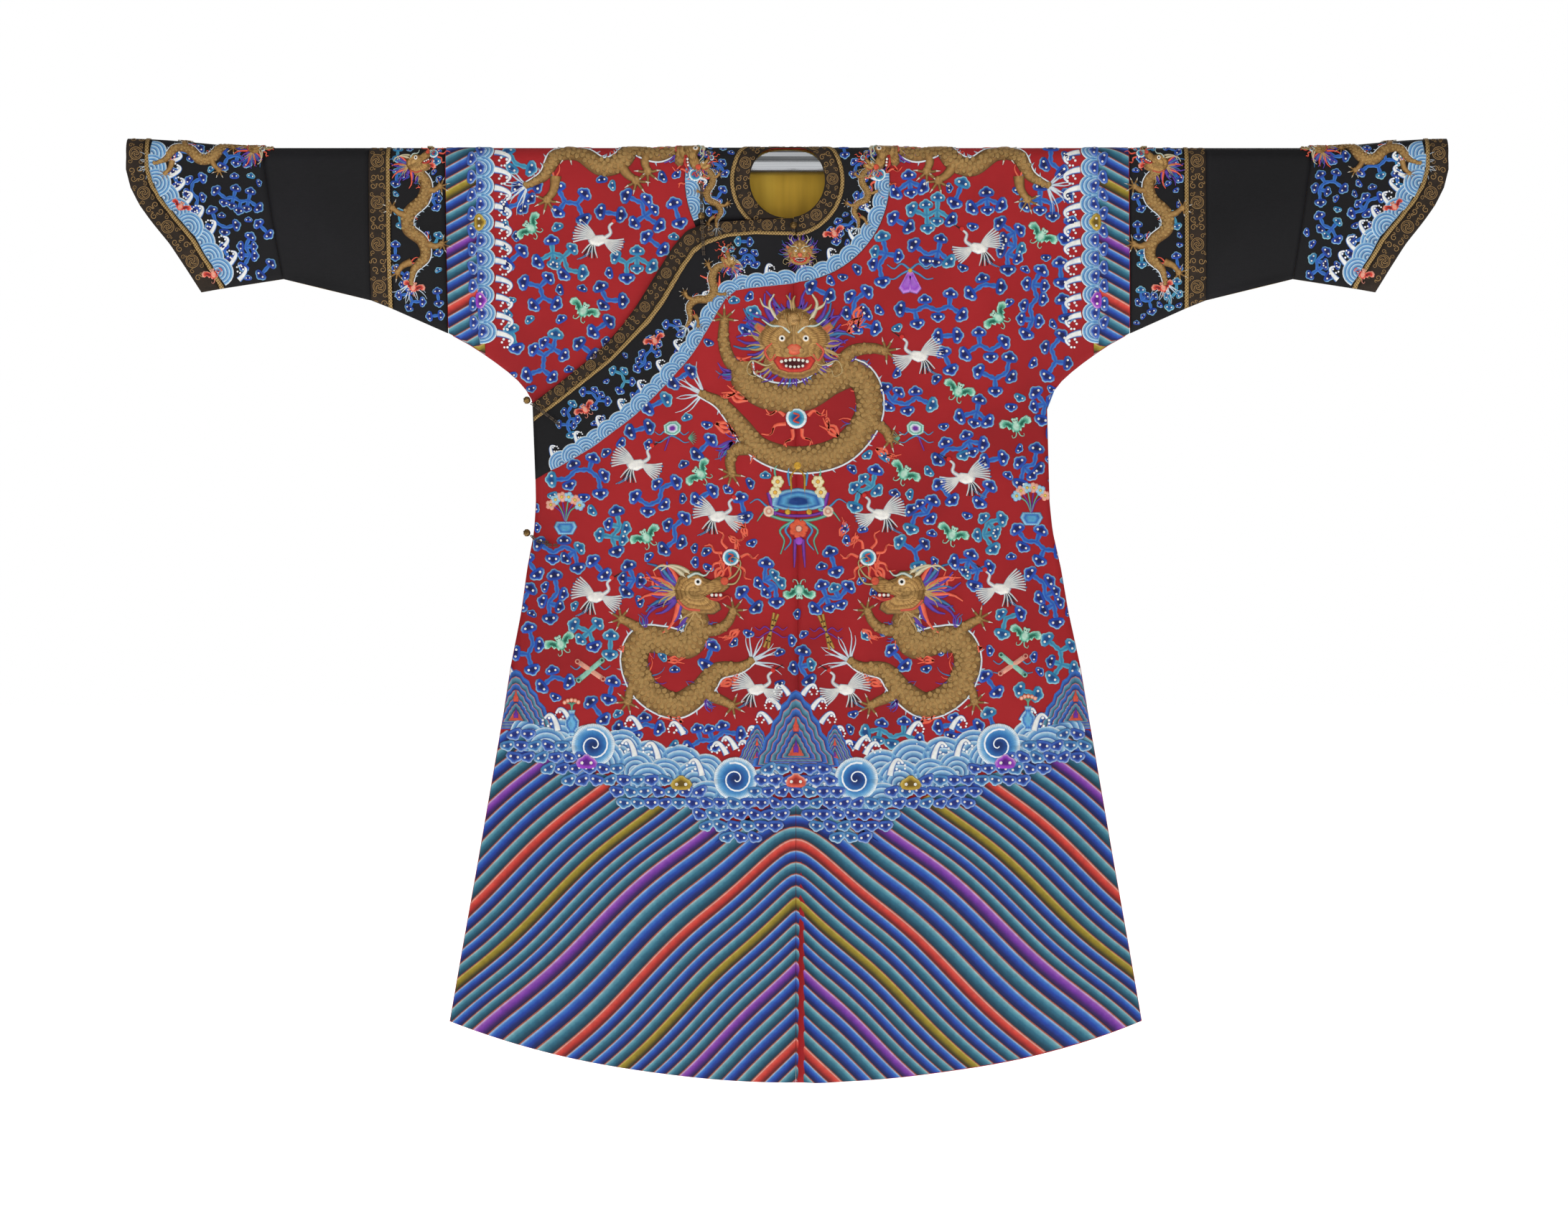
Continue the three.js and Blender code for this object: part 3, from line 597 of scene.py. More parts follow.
def old_brass():
    """Cast brass, dark in its hollows and rubbed on top."""
    finish = Finish("aged_brass", 0.42, metallic=0.9)
    stains = finish.noise(finish.place(), 320, 4.0)
    pits = finish.noise(finish.place(), 900, 2.0)
    finish.colour(
        finish.ramp(stains, ((0.32, rgba("3b2c1a")), (0.55, rgba("7d6238")), (0.75, rgba("a78a55"))))
    )
    finish.roughness(finish.range(stains, 0.55, 0.3))
    finish.bump(pits, 0.0002, 0.6)
    return finish.material


def loop_cord():
    """Dark cord twisted with a little gold."""
    finish = Finish("loop_cord", 0.6, sheen=0.2)
    twist = finish.wave(finish.place(uv="stitch", turn=0.8), 330, distortion=0.5)
    fibres = finish.noise(finish.place(), 900, 2.0)
    tone = finish.ramp(twist, ((0.2, rgba("1d1510")), (0.6, rgba("3e2d1c")), (0.9, rgba("7b6038"))))
    finish.colour(finish.blend(tone, rgba("2a1f16"), finish.range(fibres, 0.0, 0.6)))
    finish.bump(finish.sum(twist, fibres), 0.0003, 0.8)
    return finish.material


MAKERS = {
    "red": lambda: satin("red_satin", "a0191e", "b02226", "881218", 0.5, 0.04),
    "black": lambda: satin("black_satin", "0c0b0e", "131217", "070709", 0.48, 0.03),
    "silk": silk_thread,
    "gold": gold_thread,
    "brocade": brocade_cloth,
    "braid": braid_metal,
    "yellow": yellow_lining,
    "rod": rod_metal,
    "brass": old_brass,
    "cord": loop_cord,
}


def material(kind):
    """The finish of a kind, made the first time it is asked for."""
    if kind not in FINISHES:
        FINISHES[kind] = MAKERS[kind]()
    return FINISHES[kind]


FINISHES = {}


# ---- Cloth pieces -------------------------------------------------------------------------------------

CREST_ROWS = np.linspace(SEAM / 2, QUARTER, 9)


def cloth_piece(node, x, s, level, thickness, lift, outside, slot, flat, area, inside="yellow", **said):
    """One panel of cloth that stands for a solid of the same name."""
    mesh = sheet_mesh(node, x, s, level, thickness, lift)
    mesh.materials.append(material(outside))
    mesh.materials.append(material(inside))
    piece = make_object(f"cloth_{node}", mesh)
    return stitch_down(piece, [node], slot, flat, area, **said)


def neck_circle_x(radius, s):
    up = distance_at(0, NECK_Z) - s
    return np.sqrt(np.maximum(radius**2 - up**2, 0))


def centre_seam_x(z):
    return mix(CENTRE_TOP, 0, np.clip(z / HEM_Z, 0, 1))


def body_grid(face, hand, inner_x, cell, shorter=0.0):
    """Grids x and s of half a body panel."""
    columns = np.linspace(0, 1, int(SLEEVE_SEAM / cell))
    upper = np.concatenate((np.arange(-4, UNDERARM_Z, -cell), (UNDERARM_Z,)))
    shares = np.linspace(0, 1, int((UNDERARM_Z - HEM_Z) / cell))[1:]
    rows_x = []
    rows_s = []
    for s in CREST_ROWS:
        rows_x.append(mix(inner_x(s, QUARTER - s), SLEEVE_SEAM - SEAM / 2, columns))
        rows_s.append(np.full_like(columns, s))
    for z in upper:
        outer = body_edge_x(z) - (SEAM / 2 if z >= SLEEVE_BOTTOM[9][1] else 0)
        x = mix(inner_x(QUARTER - z, z), outer, columns)
        rows_x.append(x)
        rows_s.append(distance_at(x, z))
    for share in shares:
        z = mix(UNDERARM_Z, hem_z(columns * HEM_HALF) + shorter, share)
        x = mix(inner_x(QUARTER - z, z), body_edge_x(z), columns)
        rows_x.append(x)
        rows_s.append(distance_at(x, z))
    return hand * np.array(rows_x), face * np.array(rows_s)


def cut_area(x, s):
    """Flat area of a grid of the cut, in square metres."""
    a = np.stack((x[:-1, :-1], s[:-1, :-1]), -1)
    b = np.stack((x[:-1, 1:], s[:-1, 1:]), -1)
    c = np.stack((x[1:, 1:], s[1:, 1:]), -1)
    d = np.stack((x[1:, :-1], s[1:, :-1]), -1)
    p = c - a
    q = d - b
    return float(np.abs(p[..., 0] * q[..., 1] - p[..., 1] * q[..., 0]).sum() / 2 * 1e-6)


def flat_size(x, s):
    """Width and length of the cut in metres, and its area."""
    width = float(np.ptp(x)) * MM
    length = float(np.ptp(s)) * MM
    area = cut_area(x, s)
    if area < 0.4 * width * length:
        # A curved strip is cut straight or in short lengths, so its length is along its middle.
        steps = [np.hypot(np.diff(x, axis=k), np.diff(s, axis=k)).sum(axis=k).mean() for k in (0, 1)]
        length = max(steps) * MM
        return (area / length, length), None
    return (width, length), min(area, width * length)


def panel(node, x, s, outside, slot, level=0.0, thickness=CLOTH, lift=no_lift, **said):
    flat, area = flat_size(x, s)
    return cloth_piece(node, x, s, level, thickness, lift, outside, slot, flat, area, **said)


YOKE_LEVEL = (BASE_TOP + YOKE_TOP) / 2
YOKE_WALL = YOKE_TOP - BASE_TOP
BAND_LEVEL = (YOKE_TOP + BAND_TOP) / 2
BAND_WALL = BAND_TOP - YOKE_TOP


def along_line(line, share):
    """Points of a polyline at shares of its length."""
    steps = np.hypot(*np.diff(line, axis=0).T)
    at = np.concatenate(((0,), np.cumsum(steps))) / steps.sum()
    return np.stack((np.interp(share, at, line[:, 0]), np.interp(share, at, line[:, 1])), -1)


def overlap_grid(cell):
    """Grids of the overlap, between its upper edge, the side, the hem and the centre seam."""
    across = np.linspace(0, 1, int(HEM_HALF / cell))
    down = np.linspace(0, 1, int((UNDERARM_Z - HEM_Z + 150) / cell))
    top = along_line(UPPER_CUT, across)
    bottom_x = -mix(SEAM / 2, HEM_HALF, across)
    bottom = np.stack((bottom_x, hem_z(bottom_x)), -1)
    centre_z = mix(UPPER_CUT[0, 1], HEM_Z, down)
    centre = np.stack((mix(UPPER_CUT[0, 0], -SEAM / 2, down), centre_z), -1)
    side_z = mix(UPPER_CUT[-1, 1], HEM_SIDE_Z, down)
    side = np.stack((-body_edge_x(side_z), side_z), -1)
    u = across[None, :, None]
    v = down[:, None, None]
    grid = mix(top[None], bottom[None], v) + mix(centre[:, None], side[:, None], u)
    grid = grid - mix(mix(top[0], top[-1], u), mix(bottom[0], bottom[-1], u), v)
    return grid[..., 0], distance_at(grid[..., 0], grid[..., 1])


def strip_grid(upper, lower, start, end, cell, rows):
    """Grids of a strip between two lines, from one share across it to another."""
    length = np.hypot(*np.diff(upper, axis=0).T).sum()
    along = np.linspace(0, 1, int(length / cell))
    a = along_line(upper, along)
    b = along_line(lower, along)
    shares = np.linspace(start, end, rows)[:, None, None]
    grid = mix(a[None], b[None], shares)
    return grid[..., 0], distance_at(grid[..., 0], grid[..., 1])


def ring_end(radius):
    """Angle about the neck, from straight up and turning left, where a circle meets the overlap."""
    angles = np.linspace(math.pi / 2, math.pi, 400)
    x = -radius * np.sin(angles)
    z = height_at(x, distance_at(0, NECK_Z) - radius * np.cos(angles))
    clear = (x < -2) & (z > z_of(UPPER_CUT, x) + 2 * SEAM)
    return angles[np.argmin(clear) - 1]


def ring_grid(inner, outer, rows, steps=150):
    """Grids of a ring about the neck, from the overlap's start on the right round to the left."""
    xs = []
    distances = []
    for radius in np.linspace(inner, outer, rows):
        start_x = mix(9.2, 13.6, (radius - NECK_INNER) / (NECK_BRAID - NECK_INNER))
        angles = np.linspace(math.asin(start_x / radius) - math.pi, ring_end(radius), steps)
        xs.append(-radius * np.sin(angles))
        distances.append(distance_at(0, NECK_Z) - radius * np.cos(angles))
    return np.array(xs), np.array(distances)


def neck_lift(x, z):
    return np.where(x < 0, under_lift(x, z), 0.0)


def tube_grid(hand, inner_at, outer_at, cell):
    """Grids of a tube round the sleeve between two edges. Each edge is a function of z, and a foot z."""
    (inner_x, inner_foot), (outer_x, outer_foot) = inner_at, outer_at
    columns = np.linspace(0, 1, max(3, int(abs(outer_x(-60.0) - inner_x(-60.0)) / cell) + 2))
    shares = np.linspace(0, 1, 24)[1:]
    half_x = []
    half_s = []
    for s in CREST_ROWS[1:]:
        half_x.append(mix(inner_x(0.0), outer_x(0.0), columns))
        half_s.append(np.full_like(columns, s))
    for share in shares:
        z_inner = mix(rise_at(inner_x(0.0)), inner_foot, share)
        z_outer = mix(rise_at(outer_x(0.0)), outer_foot, share)
        x = mix(inner_x(z_inner), outer_x(z_outer), columns)
        half_x.append(x)
        half_s.append(distance_at(x, mix(z_inner, z_outer, columns)))
    half_x = np.array(half_x)
    half_s = np.array(half_s)
    crest_x = mix(inner_x(0.0), outer_x(0.0), columns)[None]
    x = np.concatenate((half_x[::-1], crest_x, half_x))
    s = np.concatenate((half_s[::-1], np.zeros_like(crest_x), -half_s))
    return hand * x, s


def straight_edge(x):
    return (lambda z: x + 0.0 * z), float(z_of(SLEEVE_BOTTOM, x))


def joint_edge(moved):
    def x_at(z):
        return mix(JOINT_TOP, JOINT_BOTTOM, max(z, JOINT_Z) / JOINT_Z) + moved

    return x_at, float(z_of(SLEEVE_BOTTOM, JOINT_BOTTOM + moved))


def mouth_edge(width):
    def x_at(z):
        slope = (x_of(MOUTH, z + 8) - x_of(MOUTH, max(z - 8, -195))) / 16
        return float(x_of(MOUTH, z) - width * math.hypot(1, slope))

    return x_at, float(z_of(SLEEVE_BOTTOM, x_at(-192)))


# ---- Embroidery ---------------------------------------------------------------------------------------

BED = -0.35  # the edge of the stitches, in the cloth
EDGE_GAP, HEM_GAP = 0.8, 0.4
GOLD_SHADOW = "3d2a14"
GOLD_THREAD = "a88249"
WHITE_THREAD = "f6f1e6"
TOOTH_EDGE = "b8ad98"
BRIGHT_GOLD = "e0b23c"
GOLD_BROWN = "6a4a10"
SOFT_BLACK = "26262c"
SLEEVE_FOOT_X = 383.5
NO_MOUTH = 600
SMALLEST_FACE = 0.004


def cord(edge, height, middle):
    """The cross-section of a strip with one ridge."""
    return ((-1, BED, edge), (0, height, middle), (1, BED, edge))


def trimmed(points):
    """Stitches that would run past a seam or the hem, brought in to it."""
    x, z = points[:, 0].copy(), points[:, 1].copy()
    side = np.sign(x) + (x == 0)
    skirt = z <= UNDERARM_Z
    x = np.where(skirt, side * np.minimum(np.abs(x), body_edge_x(z) - EDGE_GAP), x)
    x = side * np.minimum(np.abs(x), np.where(skirt, NO_MOUTH, x_of(MOUTH, z) - 1.0))
    foot = np.where(np.abs(x) < SLEEVE_FOOT_X, hem_z(x) + 0.6, z_of(SLEEVE_BOTTOM, np.abs(x)) + EDGE_GAP)
    z = np.where(skirt, np.maximum(z, hem_z(x) + HEM_GAP), np.maximum(z, foot))
    return np.column_stack((x, z, points[:, 2]))


class Needlework:
    """Embroidery drawn flat on the cut: places (x, z, height), each with a colour and a run."""

    def __init__(self):
        self.points = []
        self.colours = []
        self.stitches = []
        self.quads = []
        self.triangles = []
        self.quad_slots = []
        self.triangle_slots = []
        self.count = 0

    def add(self, points, colours, quads=(), triangles=(), slot=0, stitches=None):
        points = np.asarray(points, float).reshape(-1, 3)
        colours = np.broadcast_to(np.asarray(colours, float), (len(points), 3))
        quads = np.asarray(quads, int).reshape(-1, 4)
        triangles = np.asarray(triangles, int).reshape(-1, 3)
        self.points.append(points)
        self.colours.append(colours)
        self.stitches.append(
            points[:, :2] if stitches is None else np.asarray(stitches, float).reshape(-1, 2)
        )
        self.quads.append(quads + self.count)
        self.triangles.append(triangles + self.count)
        self.quad_slots.append(np.full(len(quads), slot))
        self.triangle_slots.append(np.full(len(triangles), slot))
        self.count += len(points)

    def place(self, other, x, z, turn=0.0, size=1.0, mirror=False, lift=0.0):
        """Add another piece of needlework, turned, sized, mirrored and moved."""
        points = np.concatenate(other.points)
        flip = -1 if mirror else 1
        across = points[:, 0] * size * flip
        up = points[:, 1] * size
        c, s = math.cos(turn), math.sin(turn)
        moved = np.stack((x + across * c - up * s, z + across * s + up * c, points[:, 2] + lift), -1)
        quads = np.concatenate(other.quads)
        triangles = np.concatenate(other.triangles)
        self.points.append(moved)
        self.colours.append(np.concatenate(other.colours))
        self.stitches.append(np.concatenate(other.stitches) * size)
        self.quads.append(quads + self.count)
        self.triangles.append(triangles + self.count)
        self.quad_slots.append(np.concatenate(other.quad_slots))
        self.triangle_slots.append(np.concatenate(other.triangle_slots))
        self.count += len(moved)

    def ribbon(self, path, widths, section, slot=0):
        """A raised strip along a path. section is rows of (across from -1 to 1, height, colour)."""
        path = np.asarray(path, float)
        run = np.gradient(path, axis=0)
        run /= np.maximum(np.hypot(run[:, 0], run[:, 1]), 1e-9)[:, None]
        side = np.stack((-run[:, 1], run[:, 0]), -1)
        widths = np.broadcast_to(np.asarray(widths, float), (len(path),))
        across = np.array([row[0] for row in section])
        heights = np.array([row[1] for row in section])
        colours = np.array([linear(row[2]) for row in section])
        flat = path[:, None] + side[:, None] * (across[None, :, None] * widths[:, None, None] / 2)
        points = np.concatenate((flat, np.broadcast_to(heights[None, :, None], (*flat.shape[:2], 1))), -1)
        shades = np.broadcast_to(colours[None], (len(path), len(section), 3))
        length = np.concatenate(((0,), np.cumsum(np.hypot(*np.diff(path, axis=0).T))))
        runs = np.stack(np.broadcast_arrays(length[:, None], across[None] * widths[:, None] / 2), -1)
        index = np.arange(len(path) * len(section)).reshape(len(path), len(section))
        quads = np.stack((index[:-1, :-1], index[:-1, 1:], index[1:, 1:], index[1:, :-1]), -1)
        self.add(points, shades.reshape(-1, 3), quads, slot=slot, stitches=runs)

    def shape(self, outline, rings, centre=None, slot=0):
        """A raised patch. rings is rows of (share of the outline, height, colours), from the edge in."""
        outline = np.asarray(outline, float)
        centre = outline.mean(0) if centre is None else np.asarray(centre, float)
        n = len(outline)
        points = []
        colours = []
        for share, height, colour in rings:
            flat = centre + (outline - centre) * share
            points.append(np.column_stack((flat, np.full(n, height))))
            colours.append(np.broadcast_to(linear(colour) if isinstance(colour, str) else colour, (n, 3)))
        last = colours[-1].mean(0)
        points.append(np.array([[*centre, rings[-1][1] + 0.1]]))
        colours.append(last[None])
        index = np.arange(n)
        after = np.roll(index, -1)
        quads = [
            np.stack((index + k * n, after + k * n, after + (k + 1) * n, index + (k + 1) * n), -1)
            for k in range(len(rings) - 1)
        ]
        top = (len(rings) - 1) * n
        fan = np.stack((index + top, after + top, np.full(n, top + n)), -1)
        run = np.concatenate(
            [np.linspace(0, 4, n, endpoint=False) * np.ptp(outline[:, 0]) / 4] * len(rings) + [(0,)]
        )
        depth = np.concatenate([np.full(n, share * 5) for share, _, _ in rings] + [(0,)])
        quads = np.concatenate(quads) if quads else ()
        self.add(
            np.concatenate(points), np.concatenate(colours), quads, fan, slot, np.stack((run, depth), -1)
        )

    def disc(self, x, z, radius, rings, sides=12, slot=0, squash=1.0, turn=0.0):
        a = np.arange(sides) / sides * TAU
        flat = np.stack((np.cos(a) * radius, np.sin(a) * radius * squash), -1)
        c, s = math.cos(turn), math.sin(turn)
        flat = flat @ np.array(((c, s), (-s, c)))
        self.shape(flat + (x, z), rings, (x, z), slot)

    def sew(self, name, face, slot_name, base=None):
        """Bend the needlework over the cloth of one face and make it a piece."""
        points = trimmed(np.concatenate(self.points))
        quads = np.concatenate(self.quads)
        triangles = np.concatenate(self.triangles)
        flat = points[:, :2]

        def turned(faces):
            a, b, c = flat[faces[:, 0]], flat[faces[:, 1]], flat[faces[:, 2]]
            d = flat[faces[:, -1]]
            area = np.cross(b - a, c - a) + (np.cross(c - a, d - a) if faces.shape[1] == 4 else 0)
            real = np.abs(area) > SMALLEST_FACE
            return np.where((area * face < 0)[:, None], faces[:, ::-1], faces)[real], real

        quads, quads_kept = turned(quads)
        triangles, triangles_kept = turned(triangles)
        x = points[:, 0]
        s = face * (QUARTER + rise_at(x) - points[:, 1])
        lift = (top_lift if base is None else base)(x, s) + points[:, 2]
        mesh = mesh_from(name, cloth_point(x, s, lift), quads, triangles)
        colour = mesh.attributes.new("thread", "FLOAT_COLOR", "POINT")
        shades = np.concatenate(self.colours)
        colour.data.foreach_set(
            "color", np.column_stack((shades, np.ones(len(shades)))).astype(np.float32).ravel()
        )
        give_uv(mesh, "stitch", np.concatenate(self.stitches) * MM)
        mesh.materials.append(material("silk"))
        mesh.materials.append(material("gold"))
        quad_slots = np.concatenate(self.quad_slots)[quads_kept]
        slots = np.concatenate(
            (quad_slots, np.concatenate(self.triangle_slots)[triangles_kept])
        ).astype(np.int32)
        mesh.polygons.foreach_set("material_index", slots)
        mesh.polygons.foreach_set("use_smooth", np.ones(len(slots), bool))
        mesh.update()
        return stitch_down(make_object(name, mesh), [], slot_name)


# ---- Skirt stripes ------------------------------------------------------------------------------------

# Colours across one band, from its top edge down: the seam line, then pale to dark.
BANDS = {
    "royal": ("9fc4e4", "3f78c8", "1c45a8", "101f66", "0b1440"),
    "teal": ("a9c4c4", "5f9fae", "2d6d86", "12465c", "0c2c3e"),
    "red": ("f0b3a4", "e0594a", "cf3a30", "8f1d1c", "4a0e12"),
    "olive": ("cdbb62", "a8952f", "8d7a1d", "4c410f", "1d190a"),
    "purple": ("d4b2d8", "9a55b8", "7430a0", "3f1563", "1d0b33"),
}
BAND_STEPS = (0.0, 0.04, 0.09, 0.22, 0.46, 0.74, 0.96)
BAND_HEIGHTS = (0.5, 0.6, 0.85, 1.05, 1.05, 0.85, 0.6)
STRIPE_TOP_Z = -1010.6
STRIPE_COLUMNS = 46
FIRST_BAND, BAND_END = -24, 20
PAST_EVERY_EDGE = 540.0
HALVINGS = 36
SEAM_THREAD = "b0563f"
STRIPE_DROPS = (
    (-24, -425), (-20, -350), (-15, -262), (-10, -175), (-5, -87.5), (0, 0), (5, 87.7), (10, 183),
    (15, 297.5), (20, 400)
)
STRIPE_ROUNDING = (
    (-24, 190), (-20, 165), (-15, 126), (-10, 105), (-5, 89), (0, 23.5), (5, 3), (10, 0.1), (20, 0.1)
)
MASS_LINE = (
    (0, -950), (60, -985), (115, -985), (170, -960), (230, -930), (300, -912), (350, -880), (430, -850),
    (520, -850)
)


def band_kind(t):
    """Which colour a band has: every fifth is coloured, and the rest are blue and teal by turns."""
    if t % 5 == 0:
        return ("red", "olive", "purple")[t // 5 % 3]
    return "royal" if t % 5 % 2 else "teal"


def stripe_z(t, d, hand):
    slope = 0.92 if hand > 0 else 0.95
    drop = np.interp(t, *np.array(STRIPE_DROPS).T)
    rounding = np.interp(t, *np.array(STRIPE_ROUNDING).T)
    swing = 5 * np.sin(d / 38.0 + 0.35 * t) * smooth_step(d / 160)
    return STRIPE_TOP_Z - (drop + np.sqrt((slope * d) ** 2 + rounding**2) - rounding) - swing


def stripe_lines(hand, columns):
    """Lines of every band's cross-section: flat places, heights and colours."""
    lines = []
    for band in range(FIRST_BAND, BAND_END):
        pale, light, middle, dark, deep = BANDS[band_kind(band)]
        colours = (SEAM_THREAD, SEAM_THREAD, pale, light, middle, dark, deep)
        for step, height, colour in zip(BAND_STEPS, BAND_HEIGHTS, colours):
            lines.append((band + step, height, colour))
    t = np.array([line[0] for line in lines])

    def end_of(inside):
        low = np.zeros(len(t))
        high = np.full(len(t), PAST_EVERY_EDGE)
        for _ in range(HALVINGS):
            at = (low + high) / 2
            kept = inside(at)
            low = np.where(kept, at, low)
            high = np.where(kept, high, at)
        return low

    def above_hem(d):
        z = stripe_z(t, d, hand)
        return (z > hem_z(d) + 0.4) & (d < body_edge_x(z) - 0.4)

    end = end_of(above_hem)
    start = end_of(lambda d: stripe_z(t, d, hand) > np.interp(d, *np.array(MASS_LINE).T))
    start = np.where(stripe_z(t, 0 * t, hand) < MASS_LINE[0][1], 0, start)
    share = np.linspace(0, 1, columns)
    d = mix(start[:, None], np.maximum(end, start)[:, None], share)
    z = np.maximum(stripe_z(t[:, None], d, hand), hem_z(d) + 0.4)
    used = (end - start) > 2
    heights = np.array([line[1] for line in lines])
    colours = np.array([linear(line[2]) for line in lines])
    return hand * (d + 0.3), z, heights, colours, used


def sew_stripes(name, face):
    """The slanting bands of the skirt, each drawn from the mass of cloud heads to the hem."""
    work = Needlework()
    columns = STRIPE_COLUMNS
    for hand in (-1, 1):
        x, z, heights, colours, used = stripe_lines(hand, columns)
        keep = np.flatnonzero(used)
        points = np.stack(
            (x[keep], z[keep], np.broadcast_to(heights[keep][:, None], (len(keep), columns))), -1
        )
        shades = np.broadcast_to(colours[keep][:, None], (len(keep), columns, 3)).reshape(-1, 3)
        grid = np.arange(len(keep) * columns).reshape(len(keep), columns)
        rows = [n for n in range(len(keep) - 1) if keep[n] + 1 == keep[n + 1]]
        below = [n + 1 for n in rows]
        quads = np.stack((grid[rows, :-1], grid[rows, 1:], grid[below, 1:], grid[below, :-1]), -1)
        work.add(points, shades, quads, stitches=points[..., :2])
    return work.sew(name, face, "brocade")


# ---- Clouds -------------------------------------------------------------------------------------------


def cloud_head(rim="8fc3da", edge="24305e", middle="1f49b0", deep="121c60", eye="f0ebe0"):
    """A double curl one unit wide, with a pale crescent round its far side and two white eyes."""
    head = Needlework()
    angles = np.arange(14) / 14 * TAU
    lobes = ((-0.25, -0.02, 0.25), (0.25, -0.02, 0.25), (0.0, 0.17, 0.24), (0.0, -0.08, 0.2))
    reach = np.zeros(14)
    for cx, cz, radius in lobes:
        along = np.cos(angles) * cx + np.sin(angles) * cz
        off = along**2 - (cx**2 + cz**2 - radius**2)
        reach = np.maximum(reach, np.where(off > 0, along + np.sqrt(np.maximum(off, 0)), 0))
    outline = np.stack((np.cos(angles) * reach, np.sin(angles) * reach), -1)
    far = smooth_step(np.sin(angles) * 1.1 + 0.55)[:, None]
    pale = mix(linear(middle), linear(rim), far)
    head.shape(
        outline,
        ((1.0, BED, edge), (0.92, 0.7, pale), (0.68, 0.8, middle), (0.34, 0.95, deep)),
        (0, 0.03),
    )
    for side in (-1, 1):
        x = 0.2 * side
        head.disc(x, 0.0, 0.078, ((1.0, 1.05, eye),), 5)
    return head


HEAD_SHADES = {
    "royal": {},
    "navy": {"rim": "79b2cf", "middle": "1a3f9c", "deep": "0d1650"},
    "teal": {"rim": "a2d3d8", "middle": "2c7fae", "deep": "174a86"},
    "mass": {"rim": "9db9dc", "edge": "4a1b2c", "middle": "3a62b8", "deep": "1d2f80"},
    "mass_pale": {"rim": "b5d2e2", "edge": "4a1b2c", "middle": "4a86bc", "deep": "234a90"},
    "coral": {"rim": "f2b5a0", "edge": "5a1218", "middle": "dd5a44", "deep": "a52a22"},
    "violet": {"rim": "d9a9e0", "edge": "35104a", "middle": "9a3cc0", "deep": "5c1a86"},
    "ochre": {"rim": "dcc36a", "edge": "3a2a0a", "middle": "b0902c", "deep": "6d5412"},
}


def scatter_tree():
    """The node tree that sets a shape on every point, turned, sized and mirrored as the point says."""
    tree = bpy.data.node_groups.new("Set shapes on points", "GeometryNodeTree")
    new_socket = tree.interface.new_socket
    new_socket("Points", in_out="INPUT", socket_type="NodeSocketGeometry")
    new_socket("Shape", in_out="INPUT", socket_type="NodeSocketObject")
    new_socket("Size", in_out="INPUT", socket_type="NodeSocketFloat")
    new_socket("Finish", in_out="INPUT", socket_type="NodeSocketMaterial")
    new_socket("Shapes", in_out="OUTPUT", socket_type="NodeSocketGeometry")
    nodes = tree.nodes
    link = tree.links.new
    source = nodes.new("NodeGroupInput")
    info = nodes.new("GeometryNodeObjectInfo")
    link(source.outputs["Shape"], info.inputs["Object"])

    def named(name):
        node = nodes.new("GeometryNodeInputNamedAttribute")
        node.data_type = "FLOAT"
        node.inputs["Name"].default_value = name
        return node.outputs["Attribute"]

    def times(a, b):
        node = nodes.new("ShaderNodeMath")
        node.operation = "MULTIPLY"
        link(a, node.inputs[0])
        link(b, node.inputs[1])
        return node.outputs[0]

    size = times(named("size"), source.outputs["Size"])
    scale = nodes.new("ShaderNodeCombineXYZ")
    link(times(size, named("flip")), scale.inputs[0])
    link(size, scale.inputs[1])
    scale.inputs[2].default_value = 1.0
    turn = nodes.new("ShaderNodeCombineXYZ")
    link(named("turn"), turn.inputs[2])
    put = nodes.new("GeometryNodeInstanceOnPoints")
    link(source.outputs["Points"], put.inputs["Points"])
    link(info.outputs["Geometry"], put.inputs["Instance"])
    link(turn.outputs[0], put.inputs["Rotation"])
    link(scale.outputs[0], put.inputs["Scale"])
    real = nodes.new("GeometryNodeRealizeInstances")
    link(put.outputs[0], real.inputs[0])
    dress = nodes.new("GeometryNodeSetMaterial")
    link(real.outputs[0], dress.inputs["Geometry"])
    link(source.outputs["Finish"], dress.inputs["Material"])
    out = nodes.new("NodeGroupOutput")
    link(dress.outputs[0], out.inputs[0])
    return tree


SHARED = {}


